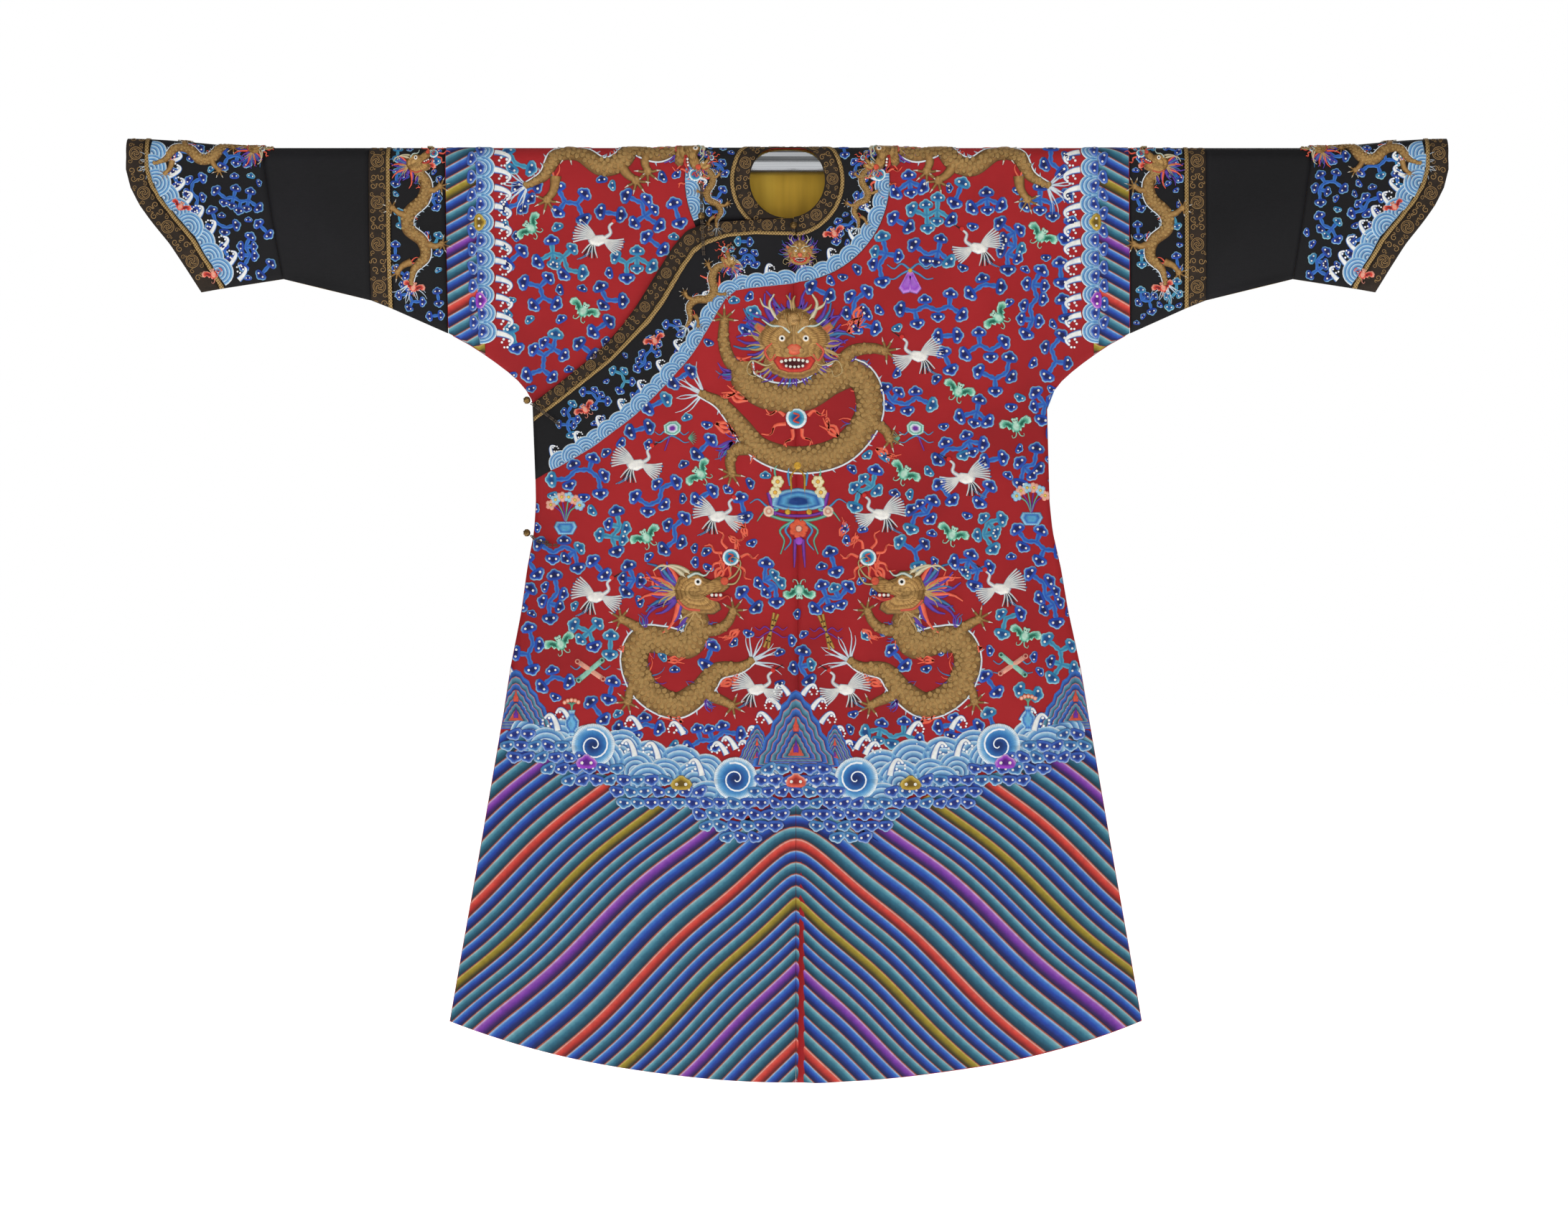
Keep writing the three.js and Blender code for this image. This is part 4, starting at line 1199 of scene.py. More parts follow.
def scatter(work, shape, places, size=1.0, slot=0):
    """Set a shape at places, rows of (x, z, turn, size, mirror 1 or -1, lift), and sew them in."""
    if not len(places):
        return
    if "tree" not in SHARED:
        SHARED["tree"] = scatter_tree()
    places = np.asarray(places, float)
    base = bpy.data.meshes.new("shape")
    points = np.concatenate(shape.points)
    faces = [tuple(map(int, q)) for q in np.concatenate(shape.quads)]
    faces += [tuple(map(int, q)) for q in np.concatenate(shape.triangles)]
    base.from_pydata([tuple(map(float, p)) for p in points], [], faces)
    colour = base.attributes.new("thread", "FLOAT_COLOR", "POINT")
    shades = np.concatenate(shape.colours)
    colour.data.foreach_set(
        "color", np.column_stack((shades, np.ones(len(shades)))).astype(np.float32).ravel()
    )
    run = base.attributes.new("run", "FLOAT_VECTOR", "POINT")
    stitches = np.concatenate(shape.stitches)
    run.data.foreach_set(
        "vector", np.column_stack((stitches, np.zeros(len(stitches)))).astype(np.float32).ravel()
    )
    pattern = make_object("shape", base)
    spots = bpy.data.meshes.new("spots")
    spots.vertices.add(len(places))
    spots.vertices.foreach_set("co", places[:, (0, 1, 5)].astype(np.float32).ravel())
    for name, column in (("turn", 2), ("size", 3), ("flip", 4)):
        layer = spots.attributes.new(name, "FLOAT", "POINT")
        layer.data.foreach_set("value", places[:, column].astype(np.float32))
    holder = make_object("spots", spots)
    modifier = holder.modifiers.new("Set shapes", "NODES")
    modifier.node_group = SHARED["tree"]
    sockets = {item.name: item.identifier for item in SHARED["tree"].interface.items_tree}
    modifier[sockets["Shape"]] = pattern
    modifier[sockets["Size"]] = float(size)
    modifier[sockets["Finish"]] = material("silk")
    bpy.context.view_layer.update()
    graph = bpy.context.evaluated_depsgraph_get()
    real = bpy.data.meshes.new_from_object(holder.evaluated_get(graph))
    count = len(real.vertices)
    made = np.empty(count * 3, np.float32)
    real.vertices.foreach_get("co", made)
    tones = np.empty(count * 4, np.float32)
    real.attributes["thread"].data.foreach_get("color", tones)
    runs = np.empty(count * 3, np.float32)
    real.attributes["run"].data.foreach_get("vector", runs)
    totals = np.empty(len(real.polygons), np.int32)
    starts = np.empty(len(real.polygons), np.int32)
    corners = np.empty(len(real.loops), np.int32)
    real.polygons.foreach_get("loop_total", totals)
    real.polygons.foreach_get("loop_start", starts)
    real.loops.foreach_get("vertex_index", corners)
    quads = corners[starts[totals == 4][:, None] + np.arange(4)]
    triangles = corners[starts[totals == 3][:, None] + np.arange(3)]
    each = count // len(places)
    run_sizes = np.repeat(places[:, 3] * size, each)[:, None]
    work.add(
        made, tones.reshape(-1, 4)[:, :3], quads, triangles, slot, runs.reshape(-1, 3)[:, :2] * run_sizes
    )
    holder.modifiers.remove(modifier)
    for thing in (holder, pattern):
        bpy.data.objects.remove(thing)
    for mesh in (real, spots, base):
        bpy.data.meshes.remove(mesh)


STEM = (
    (-1, BED, "1b2b6e"), (-0.75, 0.45, "3f7fc4"), (0, 0.7, "2050b0"), (0.75, 0.45, "3f7fc4"),
    (1, BED, "1b2b6e")
)
STEM_TEAL = (
    (-1, BED, "12406a"), (-0.75, 0.45, "58a9c0"), (0, 0.7, "2b7ba6"), (0.75, 0.45, "58a9c0"),
    (1, BED, "12406a")
)


def cluster_plan(rng, scale, most):
    """One linked cloud: its bent stems, and its heads as (x, z, turn, size)."""
    step = 19 * scale
    turn = rng.uniform(0, TAU)
    bend = rng.choice((-1, 1)) * rng.uniform(0.7, 1.15)
    count = int(rng.integers(max(1, most - 3), most))
    path = [np.zeros(2)]
    for k in range(count):
        path.append(path[-1] + step * rng.uniform(0.85, 1.15) * np.array((math.cos(turn), math.sin(turn))))
        turn += bend
        bend = -bend * rng.uniform(0.75, 1.2) if rng.random() < 0.75 else bend
    path = np.array(path)
    stems = [path]
    heads = []
    run = np.diff(path, axis=0)
    for end, way in ((0, -run[0]), (len(path) - 1, run[-1])):
        way = way / np.hypot(*way)
        heads.append((*(path[end] + way * 5 * scale), math.atan2(way[1], way[0]) - math.pi / 2, 27 * scale))
    for k in range(1, len(path) - 1):
        out = run[k - 1] / np.hypot(*run[k - 1]) - run[k] / np.hypot(*run[k])
        out = out / max(np.hypot(*out), 1e-6)
        reach = (9 if rng.random() < 0.6 else 18) * scale
        tip = path[k] + out * reach
        if reach > 10 * scale:
            stems.append(np.array((path[k], tip)))
        heads.append((*tip, math.atan2(out[1], out[0]) - math.pi / 2, rng.uniform(23, 26) * scale))
        if most > 3 and rng.random() < 0.4:
            tip = path[k] - out * 17 * scale
            stems.append(np.array((path[k], tip)))
            heads.append((*tip, math.atan2(-out[1], -out[0]) - math.pi / 2, 23 * scale))
    middle = np.mean([h[:2] for h in heads], axis=0)
    stems = [s - middle for s in stems]
    heads = [(h[0] - middle[0], h[1] - middle[1], h[2], h[3]) for h in heads]
    return stems, heads


TRIES_PER_PLACE = 3
LONE_FROM = 0.96
HEAD_REACH = 0.43
CENTRE_GAP = 4


class Ground:
    """A region of cloth under embroidery: where clouds may go, and what is taken."""

    def __init__(self, inside, seed):
        self.inside = inside
        self.taken = np.zeros((0, 3))
        self.rng = np.random.default_rng(seed)
        self.heads = {}
        self.stems = []

    def take(self, *discs):
        self.taken = np.concatenate((self.taken, np.array(discs, float).reshape(-1, 3)))

    def free(self, discs, gap):
        if not len(self.taken):
            return True
        apart = np.hypot(
            discs[:, None, 0] - self.taken[None, :, 0], discs[:, None, 1] - self.taken[None, :, 1]
        )
        return bool((apart > discs[:, None, 2] + self.taken[None, :, 2] + gap).all())

    def fill(self, box, tries, scale=1.0, gap=1.2, kinds=("royal", "royal", "navy", "teal")):
        """Set linked clouds wherever they fit, then lone heads in the gaps."""
        rng = self.rng
        x0, x1, z0, z1 = box
        total = tries * TRIES_PER_PLACE
        centres = np.column_stack((rng.uniform(x0, x1, total), rng.uniform(z0, z1, total)))
        for k in np.flatnonzero(self.inside(centres[:, 0], centres[:, 1])):
            lone = k > total * LONE_FROM
            centre = centres[k]
            if len(self.taken) and (
                np.hypot(*(self.taken[:, :2] - centre).T) < self.taken[:, 2] + CENTRE_GAP
            ).any():
                continue
            if lone:
                stems, heads = [], [(0, 0, rng.uniform(0, TAU), rng.uniform(17, 21) * scale)]
            else:
                stems, heads = cluster_plan(rng, scale, 6 - int(4.2 * k / total))
            discs = [(centre[0] + h[0], centre[1] + h[1], h[3] * HEAD_REACH) for h in heads]
            discs += [(*(centre + p), 5 * scale) for s in stems for p in ((s[:-1] + s[1:]) / 2)]
            discs = np.array(discs)
            if not self.inside(discs[:, 0], discs[:, 1]).all() or not self.free(discs, gap):
                continue
            self.take(*discs)
            kind = kinds[int(rng.integers(len(kinds)))]
            for h in heads:
                other = kinds[int(rng.integers(len(kinds)))] if rng.random() < 0.3 else kind
                self.heads.setdefault(other, []).append(
                    (centre[0] + h[0], centre[1] + h[1], h[2], h[3], 1, 0.12)
                )
            self.stems.extend((centre + s, kind, scale) for s in stems)

    def sew(self, work):
        for line, kind, scale in self.stems:
            steps = np.hypot(*np.diff(line, axis=0).T)
            at = np.concatenate(((0,), np.cumsum(steps)))
            fine = np.linspace(0, at[-1], max(3, int(at[-1] / 4.6)))
            path = np.stack((np.interp(fine, at, line[:, 0]), np.interp(fine, at, line[:, 1])), -1)
            widths = (8.0 + 1.6 * np.where(np.arange(len(fine)) % 2, 1, -1)) * scale
            work.ribbon(path, widths, STEM_TEAL if kind == "teal" else STEM)
        for kind, places in self.heads.items():
            scatter(work, cloud_head(**HEAD_SHADES[kind]), places)


def red_ground(face, margin=-6.0):
    """True where the red ground shows above the waves and between the sleeve ends, for the front or back."""

    def inside(x, z):
        edge = body_edge_x(z)
        fine = (np.abs(x) < np.minimum(edge - margin, 424)) & (z < 24) & (
            z > np.interp(np.abs(x), *np.array(WAVE_TOPS).T)
        )
        if face == FRONT:
            s = distance_at(x, z)
            over = on_overlap(x, z, s)
            clear = np.where(over, z < z_of(YOKE_CUT, x) - 9, neck_distance(x, s) > YOKE_RADIUS + 9)
            return fine & clear & (over | (z > z_of(UPPER_CUT, x) - 4) | (x > 0))
        return fine & (neck_distance(x, -distance_at(x, z)) > YOKE_RADIUS + 6)

    return inside


WAVE_TOPS = (
    (0, -770), (60, -800), (90, -880), (160, -880), (250, -868), (330, -850), (400, -760), (520, -750)
)


# ---- Waves, mountains and borders ---------------------------------------------------------------------


def wave_dome(width=62.0, height=34.0):
    """A wave with concentric pale and blue arcs, on its base at 0, 0."""
    dome = Needlework()
    angles = np.linspace(0, math.pi, 15)
    arc = np.stack((np.cos(angles) * width / 2, np.sin(angles) ** 0.85 * height), -1)
    outline = np.concatenate((arc, ((-width * 0.2, -2.0), (width * 0.2, -2.0))))
    rings = [(1.0, BED, "3f2140"), (0.97, 0.7, "e9eff0")]
    for k, blue in enumerate(("2c6cb2", "235fa6", "1b5198", "15448a")):
        outer = 0.95 - 0.22 * k
        rings += [(outer - 0.05, 0.95, "7db0d2"), (outer - 0.17, 0.9, blue), (outer - 0.19, 0.85, "c9dde8")]
    dome.shape(outline, rings, (0, 0))
    return dome


def foam_crest():
    """A curling crest of foam, about 24 wide and 26 high, leaning to the right."""
    crest = Needlework()
    t = np.linspace(0, 1, 12)
    path = np.stack((-10 + 20 * t**1.3, 24 * np.sin(t * 2.3)), -1)
    widths = 13 * (1 - 0.7 * t)
    crest.ribbon(
        path, widths,
        (
            (-1, BED, "16265e"), (-0.8, 0.8, "2a62b0"), (-0.45, 1.0, "eef1ee"), (0.45, 1.0, "f4f2ea"),
            (0.8, 0.8, "2f70bc"), (1, BED, "16265e")
        ),
    )
    for x, z, r in (
        (3, 19, 2.6), (8.5, 19.5, 2.4), (12.5, 15.5, 2.2), (12.5, 10.5, 2.0), (0, 10, 2.4), (4.5, 7, 2.2)
    ):
        crest.disc(x, z, r, ((1.0, BED, "2a62b0"), (0.8, 0.9, "f4f2ea"), (0.4, 1.1, "ffffff")), 8)
    return crest


def big_spiral(radius=33.0):
    """A great rolling wave: a round of concentric blues with a white spiral to its middle."""
    roll = Needlework()
    rings = [(1.0, BED, "3f2140"), (0.97, 0.8, "e9eff0"), (0.9, 1.1, "cfe0ea")]
    for share, colour in (
        (0.8, "7fb2d6"), (0.68, "4d92c8"), (0.55, "2f74b4"), (0.42, "225ca0"), (0.3, "18448a"),
        (0.15, "12306e")
    ):
        rings.append((share, 1.2, colour))
    roll.disc(0, 0, radius, rings, 24)
    t = np.linspace(0, 1, 30)
    turn = 1.2 + t * 3.3 * math.pi
    reach = radius * (0.72 * (1 - t) ** 0.9 + 0.04)
    path = np.stack((np.cos(turn) * reach, np.sin(turn) * reach), -1)
    roll.ribbon(path, 3.4 - 1.4 * t, ((-1, 1.15, "dfe9f0"), (0, 1.5, "ffffff"), (1, 1.15, "dfe9f0")))
    return roll


PEAK = (
    (0, 107), (10, 103), (17, 92), (28, 85), (33, 70), (45, 60), (50, 44), (62, 34), (67, 18), (80, 8),
    (85, -8)
)


def mountain(width=1.0, height=1.0, core="d8513c"):
    """A stepped peak of nested blue bands with a flame core, standing on 0, 0."""
    peak = Needlework()
    half = np.array(PEAK, float) * (width, height)
    outline = np.concatenate((half, half[::-1][:-1] * (-1, 1)))
    rings = [(1.0, BED, "c25a45"), (0.985, 0.7, "2a5fb8")]
    share = 0.97
    for light, dark in (
        ("3c77cc", "12286e"), ("5f9cb6", "12465c"), ("3c77cc", "12286e"), ("5f9cb6", "12465c"),
        ("3c77cc", "12286e"), ("5f9cb6", "143c58")
    ):
        rings += [(share - 0.01, 1.1, light), (share - 0.11, 1.2, dark), (share - 0.12, 1.0, "c86e5c")]
        share -= 0.135
    rings += [(0.13, 1.3, core), (0.05, 1.4, core)]
    peak.shape(outline, rings, (0, 12 * height))
    for z, size, colour in ((52, 0.8, core), (20, 0.7, "6a2a9c")):
        tip = [(0, 22), (4, 6), (7, 2), (7, -10), (-7, -10), (-7, 2), (-4, 6)]
        flame = np.array(tip) * size * (width, height) + (0, z * height)
        peak.shape(flame, ((1.0, 1.35, "2a1240"), (0.8, 1.6, colour), (0.4, 1.7, colour)))
    return peak


# Rows of waves and of the cloud heads below them: across, and from row to row.
DOME_PITCH, DOME_DROP = 44.0, 20
MASS_PITCH, MASS_DROP, MASS_START_Z = 20.5, 17.0, -838
WAVE_LINE = (
    (0, -915), (70, -905), (120, -893), (200, -868), (260, -856), (330, -846), (400, -826), (470, -812)
)
MASS_TOP = (
    (0, -938), (50, -955), (110, -958), (150, -940), (200, -922), (260, -910), (300, -892), (400, -856),
    (470, -842)
)
MASS_FOOT = (
    (0, -962), (30, -986), (60, -1003), (100, -1006), (130, -998), (150, -974), (190, -950), (225, -962),
    (255, -955),
    (285, -926), (330, -926), (365, -914), (400, -888), (470, -880),
)


def sew_water(name, face):
    """Waves, mountains and the scalloped mass of cloud heads above the stripes."""
    work = Needlework()
    rng = np.random.default_rng(5)
    crests = []
    for hand in (-1, 1):
        work.place(mountain(0.72, 0.78), hand * 418, -842, lift=0.2)
        for x, z, turn in ((388, -822, 0.5), (376, -840, 0.7), (432, -772, 0.2)):
            crests.append((hand * x, z, hand * -turn, 0.95, hand, 0.1))
    for x, z, size in ((-58, -896, 0.36), (58, -896, 0.36)):
        work.place(mountain(size, size * 1.45), x, z, lift=0.25)
    work.place(mountain(0.78, 1.0), 0, -896, lift=0.5)
    for k in range(5):
        for hand in (-1, 1):
            x = 18 + 13.5 * k
            crests.append((hand * x, -800 - 21 * k, hand * -0.35, 0.85, hand, 0.05))
    for x, z in ((98, -880), (112, -888), (240, -850), (345, -838), (176, -858)):
        crests.append((x, z, -0.25, 0.9, 1, 0.3))
        crests.append((-x, z, 0.25, 0.9, -1, 0.3))
    scatter(work, foam_crest(), crests)
    for row in range(4):
        domes = []
        for k in range(-10, 11):
            x = (k + 0.5 * (row % 2)) * DOME_PITCH + rng.uniform(-4, 4)
            z = np.interp(abs(x), *np.array(WAVE_LINE).T) - 31 - DOME_DROP * row + rng.uniform(-4, 4)
            if z > np.interp(abs(x), *np.array(MASS_FOOT).T) + 22 and abs(x) < body_edge_x(z + 20) - 18:
                domes.append((x, z, rng.uniform(-0.3, 0.3), rng.uniform(0.95, 1.25), 1, 0.3 + 0.28 * row))
        scatter(work, wave_dome(), domes)
    spirals = [
        (hand * x, z, 0, size, hand, 1.1)
        for x, z, size in ((90, -922, 1.0), (302, -872, 1.0)) for hand in (-1, 1)
    ]
    scatter(work, big_spiral(), spirals)
    small = [
        (hand * x, z, 0, 1.0, hand, 1.2)
        for x, z in ((38, -936), (150, -917), (215, -892), (250, -888), (365, -850)) for hand in (-1, 1)
    ]
    scatter(work, foam_crest(), small)
    heads = {"mass": [], "mass_pale": []}
    for row in range(11):
        for k in range(-26, 27):
            x = (k + 0.5 * (row % 2)) * MASS_PITCH
            z = MASS_START_Z - MASS_DROP * row
            top = np.interp(abs(x), *np.array(MASS_TOP).T)
            foot = np.interp(abs(x), *np.array(MASS_FOOT).T)
            if foot - 6 < z < top + (46 if abs(x) < 70 else 4) and abs(x) < body_edge_x(z) - 11:
                kind = "mass" if rng.random() < 0.6 else "mass_pale"
                heads[kind].append(
                    (x, z, math.pi + rng.uniform(-0.5, 0.5), rng.uniform(25, 28), 1, 1.6 + 0.05 * row)
                )
    for kind, places in heads.items():
        scatter(work, cloud_head(**HEAD_SHADES[kind]), places)
    for kind, x, z in (
        ("coral", 0, -926), ("violet", 312, -898), ("violet", -312, -898), ("ochre", 171, -930),
        ("ochre", -171, -930)
    ):
        scatter(work, cloud_head(**HEAD_SHADES[kind]), [(x, z, 0, 34, 1, 2.2)])
    return work.sew(name, face, "brocade")


def sew_sleeve_ends(name, face):
    """Slanting bands, a column of cloud heads and waves beside each sleeve seam, on the red."""
    work = Needlework()
    rng = np.random.default_rng(8)
    for hand in (-1, 1):
        columns = np.linspace(0, 1, 7)
        x = 455 + (SLEEVE_SEAM - 1.0 - 455) * columns
        lines = []
        for band in range(-4, 23):
            pale, light, middle, dark, deep = BANDS[band_kind(band)]
            colours = (SEAM_THREAD, SEAM_THREAD, pale, light, middle, dark, deep)
            for step, height, colour in zip(BAND_STEPS, BAND_HEIGHTS, colours):
                z = 40 - (band + step) * 17.0 + 0.55 * (SLEEVE_SEAM - x)
                floor = z_of(SLEEVE_BOTTOM, x) + 0.6
                lines.append((np.clip(z, floor, QUARTER - 0.6), height, linear(colour)))
        z = np.array([line[0] for line in lines])
        heights = np.array([line[1] for line in lines])[:, None] + 0 * z
        points = np.stack((hand * x + 0 * z, z, heights), -1)
        shades = np.repeat(np.array([line[2] for line in lines]), len(x), axis=0)
        grid = np.arange(z.size).reshape(z.shape)
        quads = np.stack((grid[:-1, :-1], grid[:-1, 1:], grid[1:, 1:], grid[1:, :-1]), -1)
        work.add(points, shades, quads, stitches=points[..., (1, 0)])
        domes = []
        heads = []
        crests = []
        for k in range(11):
            z = 16 - 27.0 * k
            foot = float(z_of(SLEEVE_BOTTOM, 452))
            if z > foot + 10:
                domes.append((hand * 462, z, hand * math.pi / 2, rng.uniform(0.85, 1.0), 1, 0.5))
            if z > foot - 6:
                crests.append((hand * 436, z - 12, hand * 1.55, 0.95, -hand, 0.1))
            for j, x_head in enumerate((458, 471)):
                z_head = z - 13.5 * j
                if z_head > float(z_of(SLEEVE_BOTTOM, x_head)) + 12:
                    heads.append(
                        (hand * x_head, z_head, hand * math.pi / 2 + rng.uniform(-0.4, 0.4), 23, 1, 1.4)
                    )
        scatter(work, foam_crest(), crests)
        scatter(work, wave_dome(40, 28), domes)
        scatter(work, cloud_head(**HEAD_SHADES["mass"]), heads)
        for kind, z in (("ochre", -92), ("violet", -208)):
            scatter(work, cloud_head(**HEAD_SHADES[kind]), [(hand * 460, z, hand * math.pi / 2, 27, 1, 2.0)])
    return work.sew(name, face, "brocade")


# ---- Brocade scrolls ----------------------------------------------------------------------------------

GOLD_LINE = ((-1, 0.05, "6d5230"), (0, 0.45, "a98550"), (1, 0.05, "6d5230"))


def c_scroll():
    """A thin C-shaped curl with a hooked end, about 12 across."""
    curl = Needlework()
    t = np.linspace(0, 1, 13)
    turn = 0.5 + t * 2.35 * math.pi
    reach = 5.6 - 4.0 * t
    path = np.stack((np.cos(turn) * reach, np.sin(turn) * reach), -1)
    curl.ribbon(path, 1.7 - 0.5 * t, GOLD_LINE)
    hook = [(5.2, 2.6), (6.2, 4.4), (5.6, 6.4), (3.6, 7.0)]
    curl.ribbon(hook, (1.5, 1.4, 1.1, 0.6), GOLD_LINE)
    return curl


def medallion():
    """A round medallion with a ring and crossed curls, about 20 across."""
    round_one = Needlework()
    turn = np.linspace(0, TAU, 19)
    for reach, width in ((9.4, 1.2), (7.2, 0.8)):
        round_one.ribbon(np.stack((np.cos(turn) * reach, np.sin(turn) * reach), -1), width, GOLD_LINE)
    for k in range(4):
        a = k * math.pi / 2
        t = np.linspace(0, 1, 6)
        bend = a + t * 2.2
        path = np.stack((np.cos(bend) * (1.2 + 4.6 * t), np.sin(bend) * (1.2 + 4.6 * t)), -1)
        round_one.ribbon(path, 1.3, GOLD_LINE)
    return round_one


def scrolls_along(work, path, width, rng):
    """Two rows of curls along a path, with a medallion now and then."""
    path = np.asarray(path, float)
    length = np.hypot(*np.diff(path, axis=0).T).sum()
    rounds = []
    curls = []
    pitch = 12.0
    count = int(length / pitch)
    for k in range(count):
        here = along_line(path, (k + 0.5) / count)
        ahead = along_line(path, min((k + 0.9) / count, 1.0))
        back = along_line(path, max((k + 0.1) / count, 0.0))
        way = (ahead - back) / max(np.hypot(*(ahead - back)), 1e-6)
        side = np.array((-way[1], way[0]))
        if k % 5 == 2:
            rounds.append((*here, rng.uniform(0, TAU), width / 24, 1, 0.05))
        elif k % 5 != 1 and k % 5 != 3:
            for row in (-1, 1):
                spot = here + side * row * width * 0.25
                curls.append((*spot, rng.uniform(0, TAU), width / 27, rng.choice((-1, 1)), 0.05))
        else:
            for row in (-1, 1):
                spot = here + side * row * width * 0.33
                curls.append((*spot, rng.uniform(0, TAU), width / 38, rng.choice((-1, 1)), 0.05))
    scatter(work, medallion(), rounds)
    scatter(work, c_scroll(), curls)


def sew_scrolls():
    rng = np.random.default_rng(3)

    def band_base(x, s):
        z = height_at(x, s)
        near = neck_distance(x, s) < NECK_BRAID + 4
        return BAND_TOP + np.where(
            near, np.where((x < 0) & (s > 0), under_lift(x, z), 0.0), overlap_lift(x, z)
        )

    def plain_base(x, s):
        return BASE_TOP + 0.0 * x

    work = Needlework()
    radius = (NECK_INNER + NECK_BAND) / 2
    angles = np.linspace(math.asin(12 / radius) - math.pi + 0.06, ring_end(radius) - 0.06, 60)
    path = np.stack((-radius * np.sin(angles), NECK_Z + radius * np.cos(angles)), -1)
    scrolls_along(work, path, 21, rng)
    work.sew("neck_scrolls", FRONT, "brocade", band_base)
    work = Needlework()
    line = mix(
        along_line(UPPER_CUT, np.linspace(0.02, 0.985, 60)),
        along_line(LOWER_CUT, np.linspace(0.02, 0.985, 60)), 0.38
    )
    scrolls_along(work, line, 19, rng)
    work.sew(
        "closing_scrolls", FRONT, "brocade", lambda x, s: BAND_TOP + overlap_lift(x, height_at(x, s))
    )
    for name, face in (("front", FRONT), ("back", BACK)):
        work = Needlework()
        for hand in (-1, 1):
            z = np.linspace(QUARTER - 1, -218, 40)
            scrolls_along(work, np.stack((hand * (611 + 0 * z), z), -1), 24, rng)
            at, _ = mouth_edge(CUFF_BROCADE / 2)
            z = np.linspace(QUARTER + 10, -176, 40)
            x = np.array([at(min(v, 25.0)) for v in z])
            scrolls_along(work, np.stack((hand * x, z), -1), 24, rng)
        work.sew(f"sleeve_scrolls_{name}", face, "brocade", plain_base)


# ---- Black grounds ------------------------------------------------------------------------------------

SMALL_KINDS = ("royal", "royal", "teal", "navy")


def sew_black_grounds(name, face):
    """Clouds and wave borders on the yoke, the sleeve bands and the cuffs of one face."""
    work = Needlework()
    rng = np.random.default_rng(31 if face == FRONT else 37)

    def on_band(x, z):
        across = (np.abs(x) > SLEEVE_SEAM + 9) & (np.abs(x) < SLEEVE_BRAID - 9)
        return across & (z < 24) & (z > z_of(SLEEVE_BOTTOM, np.abs(x)) + 9)

    def on_cuff(x, z):
        mouth = x_of(MOUTH, z) - CUFF_BROCADE - BRAID - 34
        joint = mix(JOINT_TOP, JOINT_BOTTOM, np.clip(z / JOINT_Z, 0, 1)) + 9
        across = (np.abs(x) > joint) & (np.abs(x) < mouth)
        return across & (z < 24) & (z > z_of(SLEEVE_BOTTOM, np.abs(x)) + 8)

    def on_front_yoke(x, z):
        s = distance_at(x, z)
        under = (z < z_of(LOWER_CUT, x) - 8) & (z > z_of(YOKE_CUT, x) + 26) & (x < 8) & (x > -352)
        reach = neck_distance(x, s)
        ring = (reach > NECK_BRAID + 8) & (reach < YOKE_RADIUS - 24) & (
            (x > 8) | (z > z_of(UPPER_CUT, x) + 8)
        )
        return (under | ring) & (z < 25)

    def on_back_yoke(x, z):
        reach = neck_distance(x, -distance_at(x, z))
        return (reach > NECK_BRAID + 8) & (reach < YOKE_RADIUS - 24) & (z < 25)

    yoke = on_front_yoke if face == FRONT else on_back_yoke
    for inside, boxes, scale, tries in (
        (on_band, ((-590, -515, -250, 24), (515, 590, -250, 24)), 0.62, 3500),
        (on_cuff, ((-950, -760, -190, 24), (760, 950, -190, 24)), 0.74, 3500),
        (yoke, ((-380, 140, -440, 24), (-150, 150, -170, 24)), 0.62, 6000),
    ):
        ground = Ground(inside, int(rng.integers(1000)))
        for motif in BLACK_MOTIFS:
            ground.take(*motif)
        for box in boxes:
            ground.fill(box, tries, scale, 1.6, SMALL_KINDS)
        ground.sew(work)

    domes = []
    crests = []
    if face == FRONT:
        line = along_line(YOKE_CUT, np.linspace(0.0, 0.93, 23))
        for k in range(len(line) - 1):
            way = line[k + 1] - line[k]
            turn = math.atan2(way[1], way[0]) + math.pi
            middle = (line[k] + line[k + 1]) / 2
            domes.append((*middle, turn, 0.62, 1, 0.25 + 0.1 * (k % 3)))
            if k % 2:
                up = np.array((-way[1], way[0])) / np.hypot(*way)
                up = up if up[1] > 0 else -up
                crests.append((*(middle + up * 16), turn + 0.1, 0.62, 1, 0.1))
    angles = np.arange(-1.62, 1.63, 0.165)
    for k, angle in enumerate(angles):
        x = (YOKE_RADIUS - 2) * math.sin(angle)
        z = NECK_Z - (YOKE_RADIUS - 2) * math.cos(angle)
        if face == BACK:
            reach = YOKE_RADIUS - 2
            s = distance_at(0, NECK_Z) - reach * math.cos(angle * 0.62)
            x = reach * math.sin(angle * 0.62)
            z = float(QUARTER + s)
        if face == FRONT and x < 12 and z < z_of(UPPER_CUT, x) + 14:
            continue
        turn = angle if face == FRONT else -0.62 * angle
        domes.append((x, z, turn, 0.62, 1, 0.25 + 0.1 * (k % 3)))
        if k % 2:
            crests.append((x * 0.9, z + 15, turn, 0.6, 1, 0.1))
    for hand in (-1, 1):
        at, foot = mouth_edge(CUFF_BROCADE + BRAID + 3)
        for k in range(9):
            z = 10 - 22.0 * k
            if z < foot + 8:
                continue
            x = at(z)
            lean = math.atan2(at(z + 6) - at(z - 6), 12)
            turn = hand * (math.pi / 2 - lean)
            domes.append((hand * x, z, turn, 0.72, 1, 0.25 + 0.1 * (k % 3)))
            crests.append((hand * (x - 27), z - 4, turn, 0.75, hand, 0.1))
    scatter(work, wave_dome(), domes)
    scatter(work, foam_crest(), crests)
    return work.sew(name, face, "brocade")


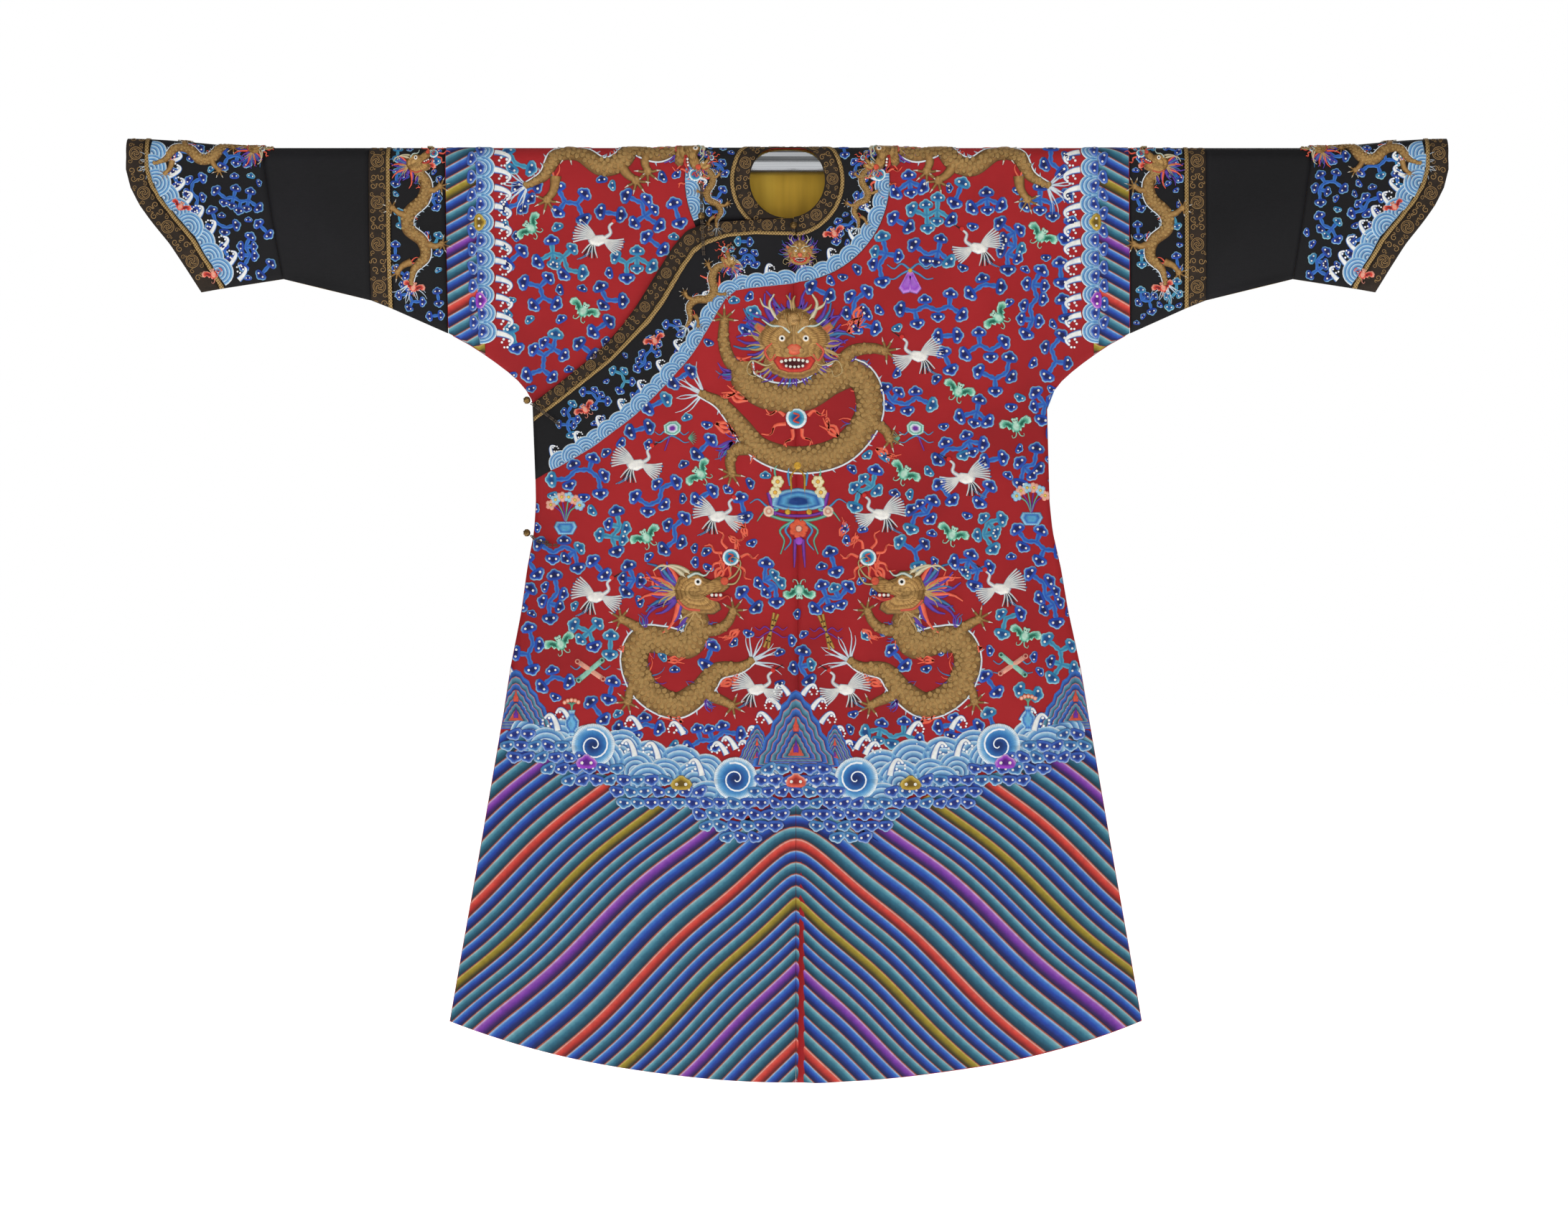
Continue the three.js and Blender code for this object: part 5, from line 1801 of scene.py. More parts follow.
BLACK_MOTIFS = (
    tuple(
        (hand * x, z, 15)
        for hand in (-1, 1) for x, z in (
            (552, 0), (545, -30), (560, -58), (545, -88), (560, -118), (552, -148), (545, -178)
        )
    ),
    ((-120, -175, 24), (-140, -215, 22), (-112, -150, 18), (9, -140, 22), (40, -128, 16), (-25, -138, 16)),
)


# ---- Dragons ------------------------------------------------------------------------------------------

# Across a gold body, GOLD_SHADOW and 7d5e33 are painted shade towards its low edges, and b9945a down its top
# is a painted highlight.
GOLD_BODY = (
    (-1, BED, GOLD_SHADOW), (-0.88, 0.9, "7d5e33"), (-0.5, 1.7, GOLD_THREAD), (0, 2.1, "b9945a"),
    (0.5, 1.7, GOLD_THREAD),
    (0.88, 0.9, "7d5e33"), (1, BED, GOLD_SHADOW),
)
FLAME_RED = ((-1, BED, "9c1a1a"), (-0.5, 1.0, "ee5a3e"), (0.5, 1.0, "f4765a"), (1, BED, "9c1a1a"))
MANE = ((-1, BED, "3b2376"), (-0.4, 1.0, "6b45ae"), (0.4, 1.0, "5a3aa0"), (1, BED, "2c1a60"))
GOLD_TUFT = cord("5a4020", 1.8, "d0ac70")
MANE_BLUE = cord("16305e", 0.9, "4a86b8")
WHITE_CORD = ((-1, BED, "3d6a90"), (-0.4, 1.0, "e9eef0"), (0.4, 1.0, "e9eef0"), (1, BED, "3d6a90"))
TAIL_HAIR = cord("3a78a8", 1.0, "eef3f2")


def smooth_path(points, count=60):
    """A smooth line through points, evenly spaced."""
    points = np.asarray(points, float)
    padded = np.concatenate(([2 * points[0] - points[1]], points, [2 * points[-1] - points[-2]]))
    t = np.linspace(0, len(points) - 1 - 1e-9, count * 3)
    k = t.astype(int)
    u = (t - k)[:, None]
    a, b, c, d = (padded[k + j] for j in range(4))
    line = 0.5 * (2 * b + (c - a) * u + (2 * a - 5 * b + 4 * c - d) * u**2 + (3 * b - a - 3 * c + d) * u**3)
    return along_line(line, np.linspace(0, 1, count))


def scale_shape():
    """One scale, a unit wide, with its rounded tip towards +x. Its dark rim is painted shade between the
    scales, and its pale gold is the gold thread lightened as a painted highlight.
    """
    scale = Needlework()
    angles = np.linspace(-math.pi / 2, math.pi / 2, 5)
    tip = np.stack((0.1 + 0.52 * np.cos(angles), 0.5 * np.sin(angles)), -1)
    scale.shape(
        np.concatenate((tip, ((-0.3, 0.0),))), ((1.0, -0.1, "4a3318"), (0.72, 0.38, "cfab6c")), (0, 0)
    )
    return scale


def foot(work, x, z, way, size=1.0):
    """A five-clawed foot spread about a direction."""
    # The pad and claws are gold, with painted shade at their edges (GOLD_SHADOW) and a painted highlight on
    # their tops (b9945a, b08a50).
    work.disc(
        x, z, 7.5 * size, ((1, BED, GOLD_SHADOW), (0.8, 1.6, GOLD_THREAD), (0.4, 2.2, "b9945a")), 10, slot=1
    )
    for k in range(5):
        a = way + (k - 2) * 0.62
        reach = (17 - 1.5 * abs(k - 2)) * size
        t = np.linspace(0, 1, 6)
        bend = a + 0.35 * (k - 2) * t * 0.5
        path = np.stack((x + np.cos(bend) * reach * t, z + np.sin(bend) * reach * t), -1)
        work.ribbon(path, (6.2 - 1.6 * t) * size, cord(GOLD_SHADOW, 1.9, "b08a50"), slot=1)
        end = path[-1]
        nail = np.stack(
            (
                end[0] + np.cos(bend[-1]) * 7 * size * t[:4] / t[3],
                end[1] + np.sin(bend[-1]) * 7 * size * t[:4] / t[3]
            ),
            -1
        )
        work.ribbon(nail, (3.6 * (1 - 0.8 * t[:4] / t[3])) * size, cord("8a8070", 1.9, "f4efe2"))


def strands(work, x, z, way, spread, count, length, width, sections, curl=0.5, seed=1):
    """Hair, flames or fins that fan out from a place."""
    rng = np.random.default_rng(seed)
    t = np.linspace(0, 1, 7)
    for k in range(count):
        a = way + spread * ((k + 0.5) / count - 0.5)
        reach = length * rng.uniform(0.7, 1.1)
        bend = a + curl * rng.choice((-1, 1)) * np.sin(t * 2.6) * 0.6
        path = np.stack((x + np.cos(bend) * reach * t, z + np.sin(bend) * reach * t), -1)
        work.ribbon(path, width * (1 - 0.85 * t) + 0.4, sections[k % len(sections)])


def leg(work, points, width, way, size=1.0, seed=1):
    path = smooth_path(points, 18)
    t = np.linspace(0, 1, 18)
    strands(
        work, *path[3], way + math.pi, 2.2, 6, 34 * size, 4.5 * size, (MANE, FLAME_RED, MANE_BLUE), 0.6, seed
    )
    work.ribbon(path, width * (1 - 0.42 * t), GOLD_BODY, slot=1)
    scales_along(work, path, width * (1 - 0.42 * t), 7.2 * size)
    foot(work, *path[-1], way, size)


def scales_along(work, path, widths, pitch):
    """Rows of scales over a body."""
    length = np.hypot(*np.diff(path, axis=0).T).sum()
    count = int(length / (pitch * 0.92))
    shares = np.linspace(0.01, 0.985, max(count, 2))
    middle = along_line(path, shares)
    run = np.gradient(middle, axis=0)
    turn = np.arctan2(run[:, 1], run[:, 0])
    width = np.interp(shares, np.linspace(0, 1, len(path)), np.broadcast_to(widths, (len(path),)))
    places = []
    for k in range(count):
        rows = max(1, int(width[k] * 0.86 / pitch))
        for j in range(rows):
            across = (j - (rows - 1) / 2 + 0.5 * (k % 2) - 0.25) * pitch
            if abs(across) > width[k] * 0.45:
                continue
            dome = 2.0 * math.sqrt(max(1 - (2 * across / width[k]) ** 2, 0.05)) - 0.1
            side = np.array((-math.sin(turn[k]), math.cos(turn[k])))
            places.append((*(middle[k] + side * across), turn[k], pitch * 1.18, 1, dome))
    scatter(work, scale_shape(), places, slot=1)


def dragon_body(work, points, widths, spine=1, size=1.0):
    """The long body, with its scales, a white cord and spikes along the spine, and the tail's hair."""
    path = smooth_path(points, 90)
    at = np.linspace(0, 1, 90)
    width = np.interp(at, np.linspace(0, 1, len(widths)), widths)
    run = path[-1] - path[-4]
    way = math.atan2(run[1], run[0])
    strands(work, *path[-2], way, 2.4, 11, 46 * size, 4.6 * size, (TAIL_HAIR,), 0.35, 4)
    work.ribbon(path, width, GOLD_BODY, slot=1)
    scales_along(work, path, width, 8.8 * size)
    run = np.gradient(path, axis=0)
    run /= np.hypot(run[:, 0], run[:, 1])[:, None]
    side = np.stack((-run[:, 1], run[:, 0]), -1) * spine
    edge = path + side * (width / 2)[:, None]
    work.ribbon(edge, 3.6 * size, WHITE_CORD)
    for k in range(3, 87, 4):
        tip = edge[k] + side[k] * 6.5 * size - run[k] * 3 * size
        work.ribbon(
            np.array((edge[k], (edge[k] + tip) / 2, tip)), (4.2 * size, 2.6 * size, 0.6 * size),
            cord("5a88a8", 1.0, "d8e4ea")
        )
    return path


def eye(work, x, z, size):
    work.disc(
        x, z, 6.0 * size,
        ((1, 1.8, "7a2a1c"), (0.82, 2.8, "d8a860"), (0.6, 3.0, WHITE_THREAD), (0.4, 3.2, WHITE_THREAD)), 12
    )
    work.disc(x, z, 2.5 * size, ((1, 3.1, "0a0a10"), (0.5, 3.5, "0a0a10")), 8)


def frontal_head(work, x, z, size=1.0):
    """A dragon's head seen from the front: mane, horns, brows, eyes, nose, teeth, whiskers and beard."""
    head = Needlework()
    strands(head, -14, 12, math.pi / 2 + 1.0, 2.0, 15, 62, 11, (MANE, MANE, MANE_BLUE), 0.5, 7)
    strands(head, 14, 12, math.pi / 2 - 1.0, 2.0, 15, 62, 11, (MANE, MANE, MANE_BLUE), 0.5, 8)
    strands(head, 0, -14, -math.pi / 2, 2.4, 15, 48, 6, (MANE, MANE_BLUE, MANE), 0.4, 9)
    for hand in (-1, 1):
        horn = smooth_path([(hand * 13, 30), (hand * 25, 44), (hand * 30, 58), (hand * 24, 70)], 14)
        head.ribbon(horn, np.linspace(9, 2.5, 14), cord("8a7a55", 2.2, "efe3bf"))
        prong = smooth_path([(hand * 27, 50), (hand * 38, 56), (hand * 42, 65)], 8)
        head.ribbon(prong, np.linspace(5.5, 1.5, 8), cord("8a7a55", 1.8, "efe3bf"))
        ear = [(hand * 30, 26), (hand * 47, 36), (hand * 52, 28), (hand * 40, 16)]
        head.shape(ear, ((1, BED, GOLD_SHADOW), (0.75, 1.6, GOLD_THREAD), (0.4, 1.6, "d4674a")))
    dome = np.array(
        (
            (0, 54), (11, 53), (20, 47), (27, 38), (35, 32), (44, 24), (48, 12), (41, 2), (36, -6), (40, -18),
            (30, -30), (12, -38)
        )
    )
    outline = np.concatenate((dome, dome[::-1][:-1] * (-1, 1)))
    strands(head, 0, 42, math.pi / 2, 2.4, 11, 30, 10, (MANE, GOLD_TUFT, MANE), 0.4, 17)
    # The gold head has painted shade round its edge (GOLD_SHADOW, 8a6a3a) and a painted highlight in its
    # middle (bd985c).
    head.shape(
        outline,
        ((1, BED, GOLD_SHADOW), (0.95, 1.5, "8a6a3a"), (0.75, 2.3, GOLD_THREAD), (0.4, 2.7, "bd985c")),
        (0, 8), slot=1
    )
    # The brow ridges are gold, with painted shade at their edges and a painted highlight on top.
    for lean in (-9, -4.5, 4.5, 9):
        head.ribbon(
            [(lean * 0.5, 22), (lean, 34), (lean * 1.3, 46)], (2.2, 2.6, 1.4),
            ((-1, 2.4, "5a4020"), (0, 3.4, "d8b878"), (1, 2.4, "5a4020")), slot=1
        )
    for hand in (-1, 1):
        strands(head, hand * 30, 4, math.pi / 2 - hand * 1.5, 1.7, 7, 30, 8.5, (GOLD_TUFT,), 0.5, 14)
        strands(head, hand * 26, -20, math.pi / 2 - hand * 2.2, 1.2, 5, 26, 7, (GOLD_TUFT, MANE), 0.5, 15)
    # The gold knobs have painted shade at their rims and a painted highlight on top.
    head.disc(0, 38, 9, ((1, 1.8, "4a3318"), (0.85, 2.9, GOLD_THREAD), (0.4, 3.6, "c7a268")), 14, slot=1)
    for hand in (-1, 1):
        head.disc(
            hand * 14, 33, 7.5, ((1, 1.9, "4a3318"), (0.8, 2.9, "b08a50"), (0.4, 3.3, "c7a268")), 12, slot=1
        )
        brow = smooth_path([(hand * 5, 21), (hand * 15, 29), (hand * 28, 30), (hand * 40, 38)], 12)
        head.ribbon(
            brow, np.linspace(5, 2, 12), ((-1, 2.0, "2f6a58"), (0, 3.4, "e8eee2"), (1, 2.0, "2f6a58"))
        )
        eye(head, hand * 15, 14, 0.9)
        cheek = smooth_path([(hand * 28, 8), (hand * 37, -2), (hand * 30, -14), (hand * 24, -6)], 12)
        head.ribbon(cheek, 3.2, ((-1, 2.0, "a83226"), (0, 3.0, "e8684c"), (1, 2.0, "a83226")))
        whisker = smooth_path(
            [
                (hand * 14, -8), (hand * 34, -20), (hand * 54, -14), (hand * 60, -28), (hand * 50, -34),
                (hand * 47, -26)
            ],
            30
        )
        head.ribbon(whisker, np.linspace(4.4, 1.6, 30), cord("5a4020", 2.4, "e2cf9a"))
    # The nose ridge and nostrils are gold, with painted shade at their edges and a painted highlight on top.
    head.ribbon(
        [(0, 30), (0, 18), (0, 6)], (4, 6, 9), ((-1, 2.4, "6d5028"), (0, 3.6, "c7a268"), (1, 2.4, "6d5028")),
        slot=1
    )
    head.disc(0, 0, 10.5, ((1, 2.2, "8a2a1c"), (0.8, 3.4, "d8563a"), (0.4, 4.0, "e87a58")), 14, squash=0.78)
    for hand in (-1, 1):
        head.disc(hand * 9, -1.5, 4.4, ((1, 2.4, "4a3318"), (0.6, 3.6, "c7a268")), 8, slot=1)
    mouth = np.array(((0, -8), (12, -10), (23, -8), (27, -14), (20, -25), (8, -29)))
    lips = np.concatenate((mouth, mouth[::-1][:-1] * (-1, 1)))
    head.shape(
        lips, ((1, 2.3, "7a141a"), (0.86, 3.2, "d8402e"), (0.66, 3.0, "a51f22"), (0.5, 2.8, "4a0c12")),
        (0, -17)
    )
    for k in range(-3, 4):
        head.disc(k * 5.4, -13.0 - 0.25 * k * k, 2.3, ((1, 3.2, TOOTH_EDGE), (0.7, 3.7, WHITE_THREAD)), 6)
        if abs(k) < 3:
            head.disc(k * 5.2, -22.0 + 0.3 * k * k, 2.0, ((1, 3.2, TOOTH_EDGE), (0.7, 3.7, WHITE_THREAD)), 6)
    work.place(head, x, z, size=size, lift=0.6)


def profile_head(work, x, z, size=1.0, mirror=False, turn=0.0):
    """A dragon's head seen from the side, facing right."""
    head = Needlework()
    strands(head, -8, 4, math.pi - 0.1, 2.4, 17, 52, 9.5, (MANE, MANE_BLUE, MANE, FLAME_RED), 0.5, 12)
    strands(head, 4, -16, -math.pi / 2 - 0.3, 1.6, 10, 30, 7, (MANE, MANE_BLUE, GOLD_TUFT), 0.5, 13)
    strands(head, -16, 6, math.pi + 0.1, 2.0, 8, 26, 8, (GOLD_TUFT,), 0.5, 16)
    for lean in (0, 9):
        horn = smooth_path([(-4 + lean, 20), (-18 + lean, 32), (-34 + lean, 36), (-44 + lean, 30)], 14)
        head.ribbon(horn, np.linspace(7.5, 2, 14), cord("8a7a55", 2.2, "efe3bf"))
    outline = (
        (-22, 8), (-16, 22), (-4, 30), (10, 30), (16, 22), (24, 19), (34, 24), (43, 21), (45, 11), (38, 5),
        (26, 4),
        (16, -1), (24, -7), (33, -8), (35, -15), (26, -21), (10, -21), (-6, -18), (-18, -8),
    )
    # The gold head has painted shade round its edge (GOLD_SHADOW, 8a6a3a) and a painted highlight in its
    # middle (bd985c).
    head.shape(
        outline,
        ((1, BED, GOLD_SHADOW), (0.92, 1.6, "8a6a3a"), (0.7, 2.4, GOLD_THREAD), (0.35, 2.8, "bd985c")),
        (2, 6), slot=1
    )
    head.shape(
        [(17, 2), (30, 4), (38, 2), (34, -6), (24, -6), (14, -3)],
        ((1, 1.2, "7a141a"), (0.7, 2.6, "c8322a"), (0.3, 2.4, "6a1016"))
    )
    for tooth_x in (24, 29, 34):
        head.disc(tooth_x, 1.6, 2.1, ((1, 2.4, TOOTH_EDGE), (0.7, 3.2, WHITE_THREAD)), 6)
    tongue = smooth_path([(22, -2), (34, -3), (42, 1), (46, -4)], 10)
    head.ribbon(
        tongue, np.linspace(4, 1.4, 10), ((-1, 1.4, "8a1a1a"), (0, 2.8, "e85a40"), (1, 1.4, "8a1a1a"))
    )
    eye(head, 8, 17, 0.95)
    brow = smooth_path([(-4, 22), (6, 27), (16, 24), (22, 30)], 10)
    head.ribbon(
        brow, np.linspace(4.4, 1.6, 10), ((-1, 2.0, "2f6a58"), (0, 3.4, "e8eee2"), (1, 2.0, "2f6a58"))
    )
    head.disc(39, 18, 5.2, ((1, 1.9, "8a2a1c"), (0.7, 3.1, "d8563a")), 10)
    for rise in (0, -10):
        whisker = smooth_path(
            [(40, 18 + rise * 0.4), (52, 26 + rise), (58, 40 + rise), (48, 46 + rise), (46, 38 + rise)], 22
        )
        head.ribbon(whisker, np.linspace(3, 1.2, 22), cord("5a4020", 2.0, "d8bf86"))
    jaw = smooth_path([(-16, -4), (-6, -14), (10, -16)], 8)
    head.ribbon(jaw, 3.0, ((-1, 1.8, "a83226"), (0, 2.9, "e8684c"), (1, 1.8, "a83226")))
    work.place(head, x, z, turn, size, mirror, lift=0.7)


def flames(work, x, z, size, seed, count=7):
    """Small curling red flames round a pearl."""
    rng = np.random.default_rng(seed)
    for k in range(count):
        a = TAU * k / count + rng.uniform(-0.25, 0.25)
        reach = rng.uniform(24, 38) * size
        start = np.array((x + math.cos(a) * 17 * size, z + math.sin(a) * 17 * size))
        way = np.array((math.cos(a), math.sin(a)))
        side = np.array((-way[1], way[0])) * rng.choice((-1, 1))
        path = smooth_path(
            [
                start, start + way * reach * 0.4 + side * 5 * size,
                start + way * reach * 0.7 - side * 3 * size, start + way * reach + side * 4 * size
            ],
            12
        )
        work.ribbon(path, np.linspace(7.0, 2.2, 12) * size, FLAME_RED)
        fork = path[5]
        work.ribbon(
            smooth_path(
                [fork, fork + way * 6 * size - side * 6 * size, fork + way * 12 * size - side * 6 * size], 6
            ),
            np.linspace(5.6, 1.6, 6) * size, FLAME_RED
        )


def pearl(work, x, z, size=1.0, seed=1):
    flames(work, x, z, size, seed)
    work.disc(
        x, z, 15.5 * size,
        (
            (1, BED, "2a5f8a"), (0.9, 1.2, "f1f3ee"), (0.76, 1.4, "dfe9ee"), (0.7, 1.3, "5fb0c4"),
            (0.45, 1.5, "2a78a8"), (0.3, 1.6, "1a4f88")
        ),
        20
    )
    curl = smooth_path(
        [
            (x - 4 * size, z + 7 * size), (x + 4 * size, z + 4 * size), (x, z), (x - 4 * size, z - 4 * size),
            (x + 4 * size, z - 7 * size)
        ],
        14
    )
    work.ribbon(curl, 2.6 * size, ((-1, 1.7, "a8201e"), (0, 2.2, "e8583c"), (1, 1.7, "a8201e")))


def licks(work, places, size=1.0):
    """Branching coral flames beside a dragon's body, as (x, z, way) each."""
    for k, (x, z, way) in enumerate(places):
        one = Needlework()
        for side, reach in ((1, 46), (-1, 34), (0, 40)):
            path = smooth_path(
                [(0, 0), (reach * 0.35, side * 7), (reach * 0.6, side * 3 - 4), (reach, side * 13)], 14
            )
            one.ribbon(path, np.linspace(8.6, 2.0, 14), FLAME_RED)
            tip = path[7]
            one.ribbon(
                smooth_path([tip, tip + (7, 7), tip + (15, 5)], 6), np.linspace(6.4, 1.6, 6), FLAME_RED
            )
        work.place(one, x, z, way, size * (1 - 0.1 * (k % 3)), k % 2 == 1)


def manes(work, places, size=1.0):
    """Locks of violet and blue hair behind the joints, as (x, z, way) each."""
    for k, (x, z, way) in enumerate(places):
        strands(work, x, z, way, 1.5, 9, 34 * size, 7.5 * size, (MANE, MANE_BLUE, MANE), 0.7, 60 + k)


def great_dragon(work):
    """The dragon of the chest or back, facing out over its pearl."""
    licks(
        work,
        [
            (-100, -208, 2.0), (110, -218, 1.0), (88, -256, 0.7), (-112, -392, 2.7), (-30, -424, -2.7),
            (118, -350, -0.6), (-64, -356, 2.9), (70, -412, -0.9), (126, -430, -0.5), (-92, -300, 3.0)
        ]
    )
    manes(
        work,
        [
            (-74, -318, 2.8), (84, -310, 0.6), (-64, -412, 2.6), (104, -392, -0.6), (-88, -420, -2.6),
            (60, -290, 1.0)
        ]
    )
    leg(work, [(-62, -318), (-88, -300), (-98, -268), (-96, -238)], 25, math.pi / 2, 1.0, 21)
    leg(work, [(70, -312), (92, -286), (122, -280), (142, -284)], 25, 0.15, 1.0, 22)
    leg(work, [(-60, -428), (-84, -432), (-92, -448), (-90, -466)], 24, -math.pi / 2 - 0.3, 1.0, 23)
    leg(work, [(96, -392), (122, -392), (140, -402), (146, -414)], 24, -0.5, 1.0, 24)
    body = [
        (-72, -300), (-68, -330), (-30, -352), (20, -352), (62, -328), (96, -318), (116, -344), (112, -388),
        (72, -432), (10, -446), (-46, -430), (-78, -392), (-104, -362), (-136, -346)
    ]
    dragon_body(work, body, (34, 42, 45, 45, 44, 43, 43, 43, 43, 41, 37, 31, 22, 11), spine=1)
    frontal_head(work, 7, -282, 1.18)
    pearl(work, 8, -384, 1.05, 31)


def side_dragon(work, hand, x0=0.0):
    """A dragon seen from the side, rising over the waves. hand 1 is the left one, -1 its mirror."""
    own = Needlework()
    licks(
        own,
        [
            (-196, -640, 2.4), (-262, -726, 2.8), (-190, -746, 0.2), (-170, -838, -0.6), (-112, -782, 0.4),
            (-84, -700, 0.6), (-116, -626, 1.2)
        ],
        0.85
    )
    manes(own, [(-140, -706, 0.4), (-222, -704, 2.2), (-232, -774, -2.6), (-138, -800, -0.6)], 0.8)
    leg(own, [(-150, -700), (-118, -700), (-100, -688), (-92, -672)], 22, 0.9, 0.95, 41)
    leg(own, [(-214, -718), (-232, -700), (-246, -690), (-258, -684)], 22, 2.6, 0.95, 42)
    leg(own, [(-214, -770), (-234, -778), (-246, -790), (-250, -806)], 22, -2.2, 0.95, 43)
    leg(own, [(-140, -788), (-122, -800), (-108, -806), (-96, -812)], 22, -0.5, 0.95, 44)
    body = [
        (-158, -662), (-146, -694), (-160, -722), (-196, -716), (-228, -716), (-240, -748), (-222, -790),
        (-180, -812), (-144, -792), (-118, -762), (-84, -756), (-62, -744)
    ]
    dragon_body(own, body, (34, 41, 43, 43, 42, 42, 42, 41, 38, 32, 22, 10), spine=-1)
    profile_head(own, -154, -650, 1.28)
    pearl(own, -94, -592, 0.85, 45)
    work.place(own, x0, 0.0, 0.0, 1.0, hand < 0)


def climbing_dragon(work, x, z, size, turn=0.0, mirror=False):
    """A slim dragon in an S, for the sleeve bands, the yoke and the cuffs. It is about 200 long."""
    own = Needlework()
    for way, points, seed in (
        (0.3, [(12, 52), (26, 50), (36, 56)], 1), (2.8, [(-14, 10), (-28, 14), (-38, 22)], 2),
        (-0.3, [(14, -34), (28, -38), (38, -34)], 3), (-2.6, [(-10, -62), (-24, -68), (-32, -78)], 4),
    ):
        path = smooth_path(points, 8)
        own.ribbon(path, np.linspace(13, 8, 8), GOLD_BODY, slot=1)
        foot(own, *path[-1], way, 0.72)
        strands(own, *path[1], way + 2.4, 1.4, 4, 20, 3.4, (MANE_BLUE, FLAME_RED), 0.6, seed)
    body = [(0, 82), (14, 62), (10, 36), (-12, 14), (-14, -10), (8, -30), (12, -54), (-6, -74), (-12, -98)]
    dragon_body(own, body, (15, 20, 22, 22, 21, 20, 18, 13, 7), spine=1, size=0.68)
    profile_head(own, -2, 88, 0.66, turn=0.4)
    pearl(own, 26, 108, 0.5, 5)
    work.place(own, x, z, turn, size, mirror, lift=0.2)


def sew_dragons(name, face):
    work = Needlework()
    great_dragon(work)
    side_dragon(work, 1)
    side_dragon(work, -1, 16.0)
    for hand in (-1, 1):
        climbing_dragon(work, hand * 552, -92, 0.95, 0.0, hand > 0)
        climbing_dragon(work, hand * 268, 12, 1.35, hand * 1.3, hand < 0)
        climbing_dragon(work, hand * 868, 14, 0.8, hand * 1.45, hand < 0)
        climbing_dragon(work, hand * 112, -52, 0.5, hand * -0.25, hand > 0)
    if face == FRONT:
        climbing_dragon(work, -122, -196, 0.62, -0.65, True)
        frontal_head(work, 18, -141, 0.42)
    return work.sew(name, face, "gold_braid")


# ---- Where the large motifs lie -----------------------------------------------------------------------

# Discs (x, z, radius) that keep the clouds off each motif.
GREAT_DISCS = (
    (6, -250, 55), (6, -300, 70), (-78, -300, 38), (-96, -240, 24), (100, -295, 34), (142, -284, 22),
    (-60, -360, 48),
    (10, -385, 60), (80, -370, 58), (10, -440, 34), (70, -425, 34), (-55, -425, 36), (-92, -458, 22),
    (-125, -350, 34),
    (140, -405, 24),
)
SIDE_DISCS = (
    (-150, -650, 42), (-190, -640, 26), (-165, -700, 40), (-232, -705, 34), (-258, -682, 20),
    (-230, -755, 30),
    (-244, -800, 22), (-195, -800, 32), (-140, -795, 30), (-96, -812, 22), (-95, -758, 28), (-60, -742, 28),
    (-92, -676, 24), (-94, -592, 32),
)
RED_MOTIFS = (
    GREAT_DISCS,
    SIDE_DISCS,
    tuple((16 - x, z, r) for x, z, r in SIDE_DISCS),
    tuple(
        (hand * x, z, r)
        for hand in (-1, 1) for x, z, r in (
            (268, 20, 44), (225, 5, 40), (315, 5, 44), (355, 20, 28), (180, 10, 20)
        )
    ),
)
FRONT_ONLY = ((5, -525, 62),)


# ---- Bats, cranes and emblems -------------------------------------------------------------------------

RIBBON_BLUE = cord("1c3f78", 0.9, "5aa6cf")
RIBBON_GREEN = cord("1d5a48", 0.9, "7cc4a6")
RIBBON_GOLD = cord(GOLD_BROWN, 1.4, "d9a93a")
RIBBON_VIOLET = cord("35104a", 1.2, "8a3ab0")


def bat(dark="1d6650", light="bfe6cf", middle="5fb596"):
    """A bat with scalloped wings, about 46 across."""
    own = Needlework()
    for hand in (-1, 1):
        wing = [
            (2, 5), (10, 12), (19, 15), (25, 10), (25, 3), (20, 1), (18, 6), (14, 3), (12, -3), (8, -2),
            (6, -8), (2, -5)
        ]
        wing = [(hand * x, z) for x, z in wing]
        own.shape(
            wing, ((1, BED, dark), (0.86, 0.9, light), (0.6, 1.1, middle), (0.3, 1.0, dark)), (hand * 10, 4)
        )
        tail = smooth_path([(hand * 1.5, -8), (hand * 4, -14), (hand * 9, -15), (hand * 9, -11)], 8)
        own.ribbon(tail, np.linspace(2.6, 1.2, 8), cord(dark, 1.0, light))
        own.disc(hand * 3.2, 12, 2.6, ((1, BED, dark), (0.6, 1.4, light)), 6)
    own.disc(0, 1, 7.5, ((1, BED, dark), (0.8, 1.3, middle), (0.4, 1.6, light)), 10, squash=1.3)
    own.disc(0, 9, 4.8, ((1, 0.5, dark), (0.7, 1.8, light)), 8)
    for hand in (-1, 1):
        own.disc(hand * 1.7, 9.4, 1.0, ((1, 2.0, "141018"), (0.5, 2.1, "141018")), 5)
    return own


